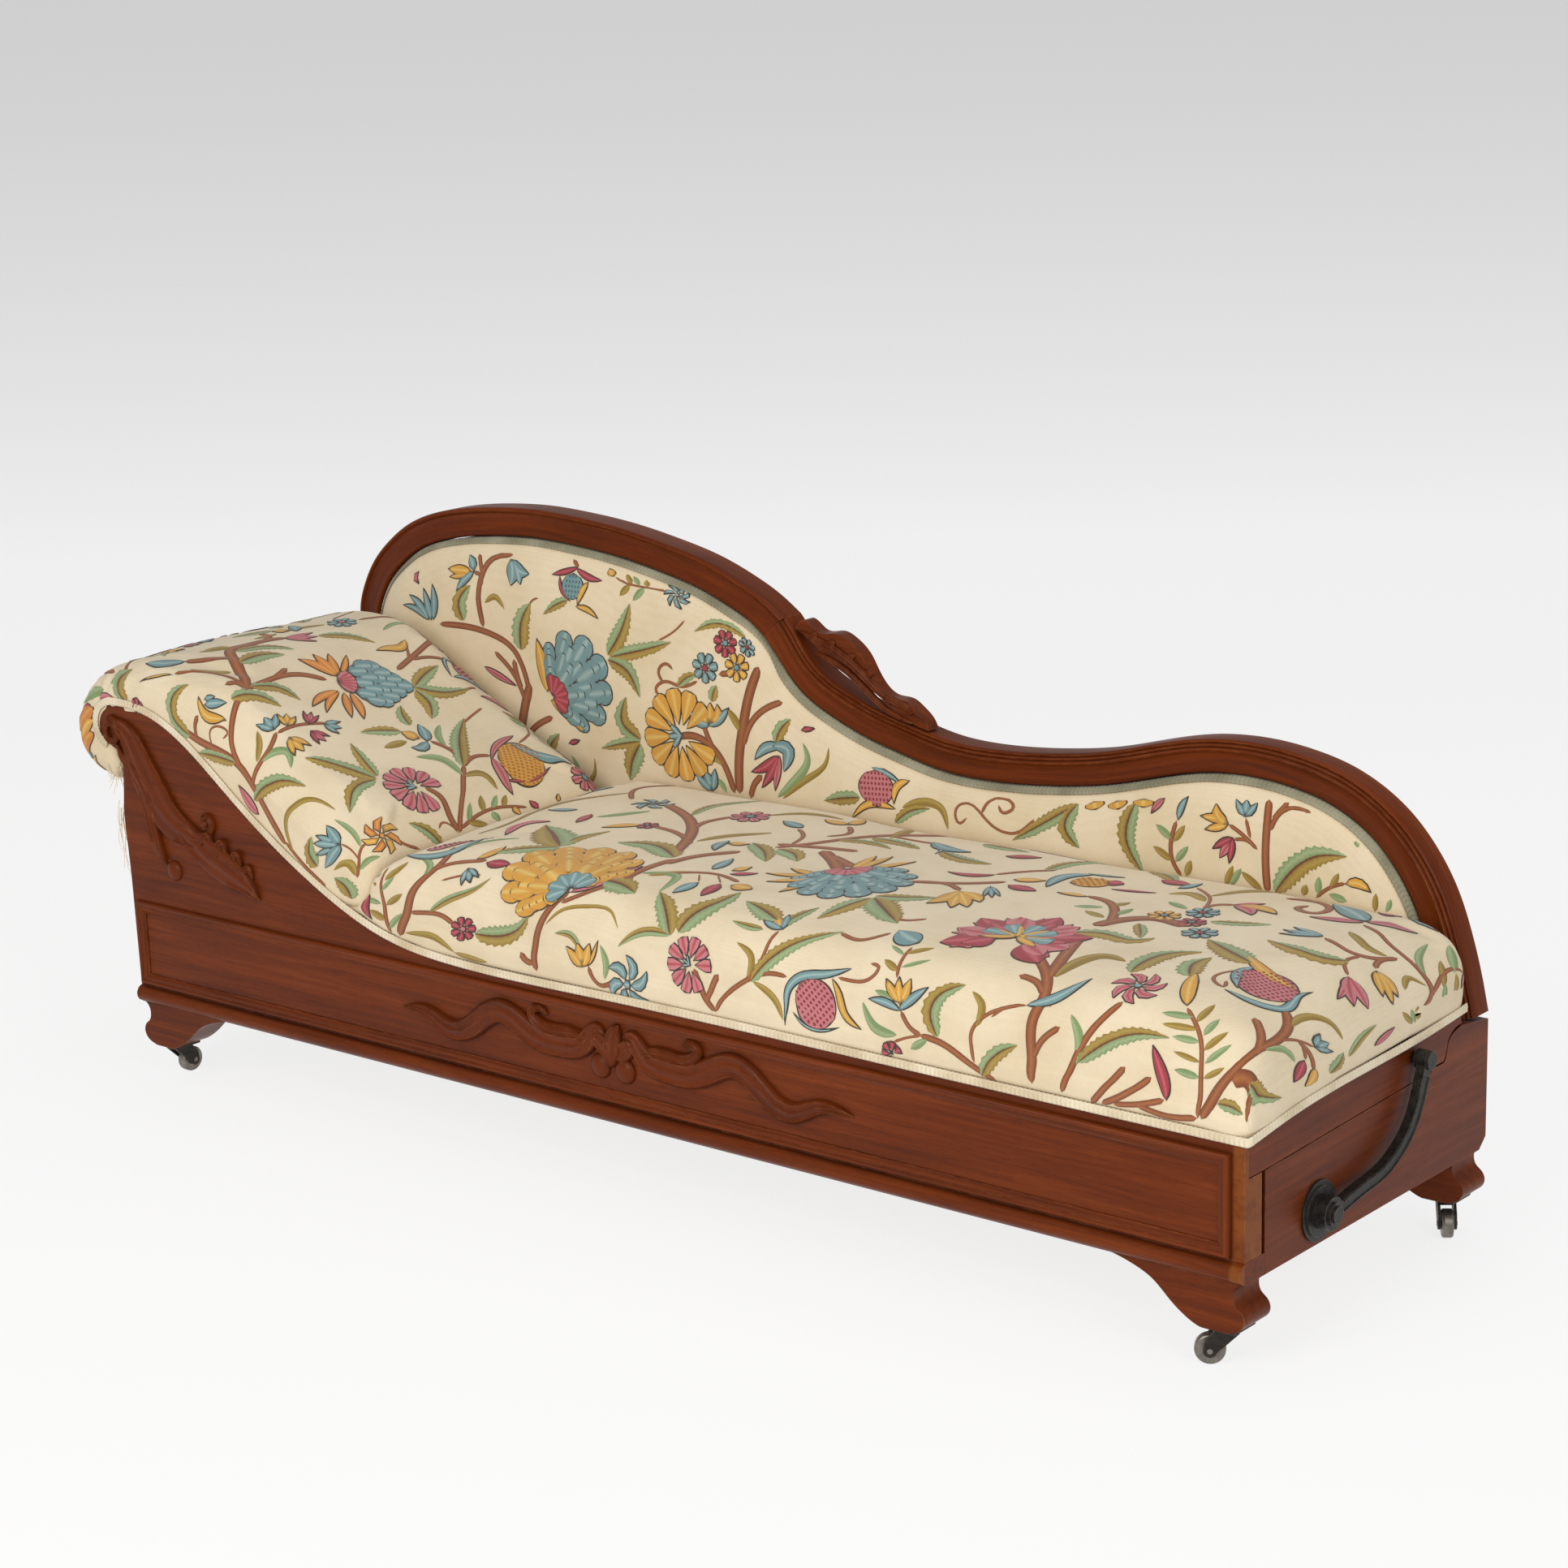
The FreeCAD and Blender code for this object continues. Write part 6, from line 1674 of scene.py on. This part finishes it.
# Round the roll, out of the photo's sight, the vines go on as they began.
HEAD_PATTERN += moved(HEAD_PATTERN, 315, 0, (235, 90), (560, 600))
head_work = Needlework(5)
sew(head_work, HEAD_PATTERN)
lay_on("head_embroidery", head_work, ring_cloth(head_rings), head_cushion, "seat")

# %% The back's pattern
BACK_PATTERN = pattern("""
stem 12 326 499 -8 38 -20 34 -39 17 -50 7 -61 -1; 13 236 598 -6 38 6 42 17 25 42 13; 10 236 678 -10 34; 8
216 680 17 -4 2 -17; 9 423 709 -11 16; 5 494 701 22 -8 38 -1 33 1; 4 330 637 9 13 11 4; 4 578 616 28 16 19
18; 20 757 599 -13 -36 -11 -47 -9 -48 -4 -56; 12 799 554 -32 -16 -24 -26 -11 -29; 14 711 411 -13 36 -25 29
-39 10 -21 -5; 11 678 472 -11 19 -6 13; 11 689 580 29 5; 6 650 565 -33 -11 -29 3 -14 -14 8 -8; 6 588 556
-8 16 15 12 11 -8; 12 740 408 9 22 15 15; 5 1218 449 -30 -25 -32 4 -24 18 -23 11 -16 -14 7 -18 12 10; 6
1135 444 10 23 26 7 12 -13 -16 -10 -7 11; 8 1440 477 -7 -27 2 -27 13 -19; 7 1517 484 22 -11 22 -16; 6 1541
496 9 -26; 6 1525 465 19 2 15 -8; 14 1576 403 -3 42 -1 50 -1 34; 9 1577 484 9 23 22 17 24 -3; 9 1579 498
11 19 9 15; 6 1644 407 20 17 21 9; 10 315 498 -19 36 -38 30; 12 310 512 -8 21 -5 24; blade 11 o 525 693
-11 19; 10 g 539 693 -12 17; 11 o 553 693 -2 14; 11 g 548 690 -20 -22; 11 o 522 691 -18 -18; 10 o 243 635
21 12 18 -17; 12 o 698 449 -17 9 -29 1; 13 o 729 501 -11 17 -15 15; 10 g 696 409 -11 15 -11 3; 14 g 790
417 35 32 17 30 -9 21; 10 o 799 416 46 36 29 26 3 23; 13 o 1004 433 35 14 30 -5 13 -29; 11 g 1435 451 -26
17; 10 o 1437 449 16 24; 11 o 1434 423 -28 15; 10 g 1439 422 20 24; 11 o 1455 405 8 23; 9 o 1664 421 11
23; 10 g 1647 412 1 23; 10 g 1687 410 -25 5; 9 o 1727 403 0 24; 8 g 1743 405 8 19; 10 o 1626 407 5 15; 11
o 1568 404 -30 21; 10 o 1514 402 12 29; 10 g 1521 403 17 26; 8 g 1699 493 2 -9; leaf 17 og 408 657 -22 -9
-25 -17; 33 og 197 604 -8 28 23 27; 40 go 314 573 2 39 19 33; 32 go 485 585 22 32 16 46; 25 go 491 583 61
17 50 16; 30 go 485 578 37 -12 22 -36; 20 og 737 642 -43 13 -50 -19; 16 og 614 553 18 15 21 7; 20 go 676
539 2 11 7 13; 19 og 540 465 -38 -9 -39 -12; 32 go 541 468 -33 22 10 37; 40 go 540 461 -18 -29 -8 -30; 23
go 788 494 6 17 18 20; 23 og 932 436 -28 -5 -33 -8; 18 og 992 409 26 21 33 9; 25 go 1283 482 -43 -32 -54
-36; 29 go 1281 480 -14 -33 25 -28; 31 go 1374 494 -10 -49 26 -46; 34 go 1587 405 29 37 29 19 40 6; petal
19 b 219 681 -5 14 -8 13; 16 b 219 681 -20 -14 -17 -19; 18 y 212 681 -51 -1; 11 y 205 675 -40 -7; 22 b 294
707 17 -17 19 -2; 26 b 292 707 6 -18 -3 -22; 22 b 294 707 14 -20 6 -17; pod 43 b b 416 699 0 -41; petal 12
r 423 709 -22 -9 -27 -8; 13 r 420 708 25 -13 26 -3; 8 r 390 692 5 -20 19 -17; 13 y 446 688 -13 -19 -6 -19;
11 y 424 649 21 -2 22 -12; 18 y 491 701 -9 17; wheel b r 7 609 690 26 0; petal 12 b 124 598 -30 15 -30 3;
15 b 125 598 -24 23 -23 12; 16 b 130 598 -10 25 -11 23; 17 b 134 599 1 28 -7 27; 12 k 96 671 -8 -10 11
-10; cone b r 4 120 371 509 111 65; petal 25 y 361 515 -5 38 -9 41; 24 y 367 504 33 -13 34 -27; daisy r b
7 699 625 21 1; b r 7 738 626 16 0; b r 7 665 586 23 2; y b 7 720 593 21 2; petal 18 b 673 505 -24 5 -15
12; 16 b 670 504 21 13 17 18; 20 y 672 508 -17 16 3 12; 20 y 673 508 0 30; 19 y 675 508 13 18 -3 11; fan y
b 11 290 619 484 -69 -12; tulip 37 b b 671 408 -11 31; petal 17 b 799 490 -26 -4 -22 -21; 22 b 782 489 26
-1 -6 -33; 16 r 792 477 -22 -19 -26 -11; 16 r 793 477 -12 -25 -19 -26; 14 k 795 477 -5 -29 -4 -23; 10 r
829 518 24 8; pod 60 k r 957 481 5 -54; petal 11 b 951 483 24 -4 26 -13; 14 y 1014 475 -20 -13 -4 -27; 13
y 993 429 -45 0 -32 -27; 34 y 1306 491 6 -15; 34 y 1342 496 6 -15; 37 y 1385 503 1 -15; 13 k 1418 508 -10
-13 -8 -14; 12 b 1442 478 4 20 8 17; 19 y 1517 484 -17 9 -3 16; 14 y 1517 486 -22 3 -21 0; 13 y 1517 483
-19 -6 -16 -5; tulip 30 b b 1540 497 0 25; 29 r k 1525 468 -19 -30; petal 15 y 1684 432 18 4 19 -9; 12 k
236 540 30 -11 35 -12
""")
# The head rest hides this part of the back until the couch opens.
BACK_PATTERN += moved(BACK_PATTERN, -430, -75, (480, 430), (850, 580))
back_work = Needlework(7)
sew(back_work, BACK_PATTERN)


def upright_back(flat):
    """A point in front of the back for each point of its pattern."""
    return np.column_stack([flat[:, 0], np.full(len(flat), 480.0), flat[:, 1]])


lay_on("back_embroidery", back_work, upright_back, back_cushion, "base")

# %% [markdown]
# The carvings are scrolls and leaves cut in low relief and glued to the boards. Each is built of
# strokes, as a carver draws them: a line with a width at every point, and one fluted section that
# swells and narrows with it. The strokes overlap, and so the ridges cross as gouge cuts do.

# %% Carved strokes
FULL_DEPTH_WIDTH = 13
FLUTES = [(-1, -0.1), (-0.97, 0.6), (-0.76, 0.92), (-0.45, 0.72), (-0.2, 0.82), (0, 1.0)]
FLUTES += [(0.22, 0.8), (0.48, 0.7), (0.76, 0.94), (0.97, 0.6), (1, -0.1)]


def carved(bm, marks, stroke, proud, plane, count=26, broad=1.0):
    """Carry the fluted section along a stroke of (x, z, width), with rounded ends.
    It stands proud millimetres in front of the plane, and less where it is thin."""
    line = smooth_line([(x, z, w * broad) for x, z, w in stroke], count)
    line[0, :2] += (line[0] - line[1])[:2] * 0.01
    side = sideways(line[:, :2])
    rings = []
    for i, (x, z, wide) in enumerate(line):
        end = math.sqrt(max(0.02, 1 - abs(2 * i / (count - 1) - 1) ** 8))
        half = max(wide, 2.0) / 2 * end
        high = proud * min(1.0, wide / FULL_DEPTH_WIDTH) * (0.45 + 0.55 * end)
        out_x, out_z = side[i] * half
        rings.append([at(x + out_x * s, plane - high * h, z + out_z * s) for s, h in FLUTES])
    carry(bm, rings, marks)


def spiral(x, z, wide_turn, tight_turn, turns, start, wide, thin, way=1):
    """A stroke that winds inwards round a point."""
    steps = int(turns * 14)
    stroke = []
    for i in range(steps + 1):
        share = i / steps
        angle = math.radians(start) + way * share * turns * 2 * math.pi
        reach = wide_turn + (tight_turn - wide_turn) * share
        out_x, out_z = reach * math.cos(angle), reach * math.sin(angle)
        stroke.append((x + out_x, z + out_z, wide + (thin - wide) * share))
    return stroke


def knob(bm, x, z, radius, proud, plane):
    """A flattened ball."""
    squat = Matrix.Translation(at(x, plane, z)) @ Matrix.Diagonal((radius / MM, proud / MM, radius / MM, 1))
    bmesh.ops.create_uvsphere(bm, u_segments=18, v_segments=10, radius=1, matrix=squat)


# %% The scrolls at the head end
HEAD_PROUD = 9.0
BOARD_FACE = 0.0
HEAD_STROKES = [
    [(77, 326, 8), (64, 347, 13), (55, 381, 16), (47, 414, 18), (28, 446, 16), (0, 474, 10), (-14, 488, 5)],
    [(-22, 522, 12), (12, 505, 28), (38, 462, 42), (64, 422, 46), (90, 394, 42), (122, 379, 32)]
    + [(152, 373, 22), (172, 382, 15)],
    [(104, 388, 14), (145, 365, 32), (180, 348, 38), (220, 332, 34), (247, 319, 22), (268, 302, 4)],
    [(150, 362, 12), (172, 380, 9), (176, 362, 5)],
    [(184, 352, 12), (200, 374, 10), (206, 358, 5)],
    [(214, 342, 12), (229, 362, 9), (234, 344, 4)],
    [(238, 330, 10), (250, 346, 8), (256, 330, 4)],
]
bm, marks = bmesh.new(), {}
for stroke in HEAD_STROKES:
    carved(bm, marks, stroke, HEAD_PROUD, BOARD_FACE, broad=1.3)
carved(bm, marks, spiral(-22, 506, 19, 5, 1.6, 110, 13, 7, -1), HEAD_PROUD, BOARD_FACE, 40)
carved(bm, marks, spiral(168, 398, 14, 4, 1.2, -90, 11, 7), HEAD_PROUD, BOARD_FACE, 30)
knob(bm, 168, 398, 6, 9.5, BOARD_FACE)
knob(bm, 92, 318, 15, 8.0, BOARD_FACE)
finished = (wood_swept, "seat", "polished_wood", marks, 50)
piece("head_scroll_carving", bm, *finished, replaces=["head_carving"])

# %% The carving in the middle of the front board
bm, marks = bmesh.new(), {}
MIDDLE = 921
BRANCH = [(935, 226, 10), (950, 232, 18), (971, 210, 22), (1009, 199, 23), (1052, 201, 24), (1091, 218, 24)]
BRANCH += [(1118, 226, 23), (1144, 217, 23), (1172, 196, 22), (1209, 184, 19), (1253, 200, 14)]
BRANCH += [(1304, 198, 5)]
HOOK = [(962, 212, 8), (990, 219, 13), (1024, 218, 14), (1050, 222, 13), (1062, 235, 11), (1050, 243, 9)]
HOOK += [(1036, 236, 7)]
LEAFLET = [(925, 196, 20), (941, 214, 26), (961, 222, 10)]
BUD = [(917, 186, 10), (917, 208, 30), (921, 228, 26), (929, 244, 10)]


def mirrored(stroke, way):
    """A stroke as it is, or turned over the carving's middle."""
    return [(MIDDLE + way * (x - MIDDLE), z, wide) for x, z, wide in stroke]


for way in (1, -1):
    carved(bm, marks, mirrored(BRANCH, way), 8.5, BOARD_FACE, 60, 1.45)
    carved(bm, marks, mirrored(HOOK, way), 8.5, BOARD_FACE, 30, 1.3)
    knob(bm, MIDDLE - 5 + way * 21, 184, 17, 9.5, BOARD_FACE)
    carved(bm, marks, mirrored(LEAFLET, way), 7.5, BOARD_FACE, 14)
carved(bm, marks, BUD, 9.0, BOARD_FACE, 20)
finished = (wood_swept, "seat", "polished_wood", marks, 50)
piece("centre_scroll_carving", bm, *finished, replaces=["centre_carving"])

# %% The leaf on the crest
LEAF_FACE = 518.0
RIDGE = [(812, 650, 5), (836, 642, 9), (878, 628, 12), (922, 602, 12), (960, 576, 11), (1004, 562, 8)]
RIDGE += [(1030, 546, 4)]
bm, marks = bmesh.new(), {}
carved(bm, marks, RIDGE, 6.0, LEAF_FACE, 50)
carved(bm, marks, [(x + 3, z - 19, w * 0.8) for x, z, w in RIDGE[1:-1]], 5.0, LEAF_FACE, 40)
LOBES = [(838, 645, 8), (868, 637, 9), (900, 622, 12), (930, 602, 12), (968, 572, 9), (1004, 562, 7)]
for x, z, far in LOBES:
    carved(bm, marks, [(x - 6, z - 6, 8), (x + 4, z + 1, 11), (x + far, z + 3, 4)], 5.0, LEAF_FACE, 10)
piece("crest_leaf_ridges", bm, wood_swept, "base", "polished_wood", marks, smooth=50)

# %% [markdown]
# The arm was cast with a raised rim along both edges of its face, a bead carried along its bow.
# Under the seat are the parts that make it soft: jute webbing on the rails, eighteen hourglass coil
# springs tied on the webbing, and hessian over them. Inside the base lies a thin mattress, because
# the open couch is a bed. They are out of sight until the seat swings forward.

# %% Rims on the arms
BOW = [(0.0, 0.0), (0.13, -0.05), (0.26, -0.1), (0.43, -0.17), (0.59, -0.19), (0.74, -0.168)]
BOW += [(0.86, -0.102), (0.94, -0.04), (1, 0)]
BEAD = [(-1.3, -0.4), (-1.0, 1.0), (0.0, 1.7), (1.0, 1.0), (1.3, -0.4)]
RIM_INSET = 6.2
PIVOT, KNUCKLE = np.array((155.0, 151.0)), np.array((371.0, 274.0))
reach = KNUCKLE - PIVOT
bow_line = [PIVOT + share * reach + sag * np.array((-reach[1], reach[0])) for share, sag in BOW]
for end, face, outwards in (("foot", 1871.5, 1), ("head", -9.5, -1)):
    bm = bmesh.new()
    for shift in (-RIM_INSET, RIM_INSET):
        rim = beside(smooth_line(bow_line, 60), shift)[5:-4]
        side = sideways(rim)
        rings = []
        for (y, z), (out_y, out_z) in zip(rim, side):
            rings.append([at(face + outwards * h, y + out_y * s, z + out_z * s) for s, h in BEAD])
        carry(bm, rings)
    piece("arm_rims_" + end, bm, cast_iron, "arm_" + end, "cast_iron", smooth=60)

# %% Coil springs
WIRE, COILS, STEPS = 1.9, 4, 15
SPRING_FOOT, SPRING_HIGH = 255.6, 46.3
WIRE_CORNERS = [math.pi * k / 3 for k in range(6)]


def spring(centre_x, centre_y):
    """Stations of wire round an hourglass coil, its centre given in the frame's millimetres."""
    rings = []
    for step in range(COILS * STEPS + 1):
        share = step / (COILS * STEPS)
        turn = share * COILS * 2 * math.pi
        out = Vector((math.cos(turn), math.sin(turn), 0))
        spot = Vector((centre_x, centre_y, SPRING_FOOT + share * SPRING_HIGH))
        spot += out * (22 + 10 * abs(2 * share - 1) ** 1.3)
        ring = [spot + out * WIRE * math.cos(a) + Vector((0, 0, WIRE * math.sin(a))) for a in WIRE_CORNERS]
        rings.append([corner / MM for corner in ring])
    return rings


bm = bmesh.new()
for i in range(6):
    for j in range(3):
        carry(bm, spring(-682.3 + i * 292.32, -176.3 + j * 128.05))
springs = piece("coil_springs", bm, wire_steel, "seat", "spring_wire", replaces=["seat_springs"])

# %% Webbing, hessian and the black lining
jute_tape = woven("jute_webbing", "#9C8458", "#7E6840", "#5E4A2C", 3.2, 0.5, 0.95)
open_hessian = woven("plain_hessian", "#A88A5A", "#8A6C42", "#6A5030", 2.6, 0.5, 0.95)
black_lining = woven("black_lining", "#242428", "#1A1A1E", "#38363A", 1.3, 0.15, 0.92)


def sheet_from(cad_name, new_name, finish, facing, body, slot):
    """One layer of cloth: the faces of a CAD sheet that look one way, drawn tight between rails.
    It comes with the two longer sides of its box and its area, in metres."""
    source = NODES[cad_name]
    bm = bmesh.new()
    bm.from_mesh(source.data)
    bm.transform(source.matrix_world)
    others = [f for f in bm.faces if f.normal.dot(Vector(facing)) < 0.9]
    bmesh.ops.delete(bm, geom=others, context="FACES")
    bmesh.ops.remove_doubles(bm, verts=bm.verts, dist=1e-5)
    area = sum(f.calc_area() for f in bm.faces)
    spans = sorted(max(v.co[i] for v in bm.verts) - min(v.co[i] for v in bm.verts) for i in range(3))
    cloth = piece(new_name, bm, finish, body, slot, smooth=0, outward=False, replaces=[cad_name])
    return cloth, spans[1:], area


UP, REARWARD = (0, 0, 1), (0, 1, 0)
webbing, spans, area = sheet_from("seat_webbing", "webbing_tapes", jute_tape, UP, "seat", "webbing")
hessian, spans, area = sheet_from("seat_hessian", "spring_hessian", open_hessian, UP, "seat", "hessian")
print("hessian", [round(s, 3) for s in spans], "m, area", round(area, 3))
names = ("outside_back_cloth", "outside_back_lining")
lining, spans, area = sheet_from(*names, black_lining, REARWARD, "base", "lining_cloth")
print("lining", [round(s, 3) for s in spans], "m, area", round(area, 3))

# %% The mattress in the base
TICKING_STRIPES = (26.0, 5.0, "#3C4A62")
TUFT_DEEP, TUFT_WIDE = 13.0, 34.0
ticking = woven("striped_ticking", "#E2DAC6", "#CFC5AE", "#A89878", 1.6, 0.2, 0.92, TICKING_STRIPES)
bm = bmesh.new()
bmesh.ops.create_cube(bm, size=1)
low, high = Vector((-847, -209, 124)) / MM, Vector((944, 251, 218)) / MM
for v in bm.verts:
    v.co = [(low[i] + high[i]) / 2 + v.co[i] * (high[i] - low[i]) for i in range(3)]
bmesh.ops.bevel(bm, geom=bm.edges[:], offset=0.02, segments=4, profile=0.6, affect="EDGES")
mattress = evenly_skinned("ticking_mattress", bm, ticking, 14.0)
place = points_of(mattress.data)
x, y, z = place.T
dent = np.zeros(len(place))
for i in range(9):
    for j in range(3):
        far = np.hypot(x - (HEAD_END - 748 + i * 199.5), y - (FRONT_FACE - 130 + j * 150))
        dent = np.maximum(dent, np.exp(-((far / TUFT_WIDE) ** 2)))
z -= (z > 170) * dent * TUFT_DEEP
set_points(mattress.data, place)
relaxed(mattress, 2)
free = (1 - dent) * eased((points_of(mattress.data)[:, 2] - 130) / 40)
stuffed(mattress, free, 4.0, 2.0)
finished_pad(mattress, "base", ["bed_mattress"])

# %% [markdown]
# The cloth has worn through at the head end: its raw edge has come out of the tacks, and loose
# threads hang down beside the board.

# %% Loose threads
THREADS = 70
THREAD_RADIUS = 0.85
TRIANGLE = ((1, 0), (-0.5, 0.87), (-0.5, -0.87))
bm, marks = bmesh.new(), {}
luck = random.Random(11)
for number in range(THREADS):
    low = luck.random() < 0.25
    left, wide, top, tall, short, more = (-14, -14, 405, 25, 55, 45) if low else (-46, 42, 470, 14, 16, 34)
    x, z = left + wide * luck.random(), top - tall * luck.random()
    depth = 2 + 34 * luck.random()
    long = short + more * luck.random()
    sway, curl = luck.uniform(-0.14, 0.14), luck.uniform(2, 5)
    rings = []
    for step in range(9):
        t = step / 8
        cx = x + sway * long * t + curl * math.sin(4 * t + number)
        cy = depth + curl * math.cos(3 * t + number) - curl
        half = THREAD_RADIUS * (1 - 0.5 * t)
        rings.append([at(cx + half * c, cy + half * s, z - long * t) for c, s in TRIANGLE])
    carry(bm, rings, marks)
piece("frayed_threads", bm, cream_cotton, "seat", "crewel_cloth", marks)
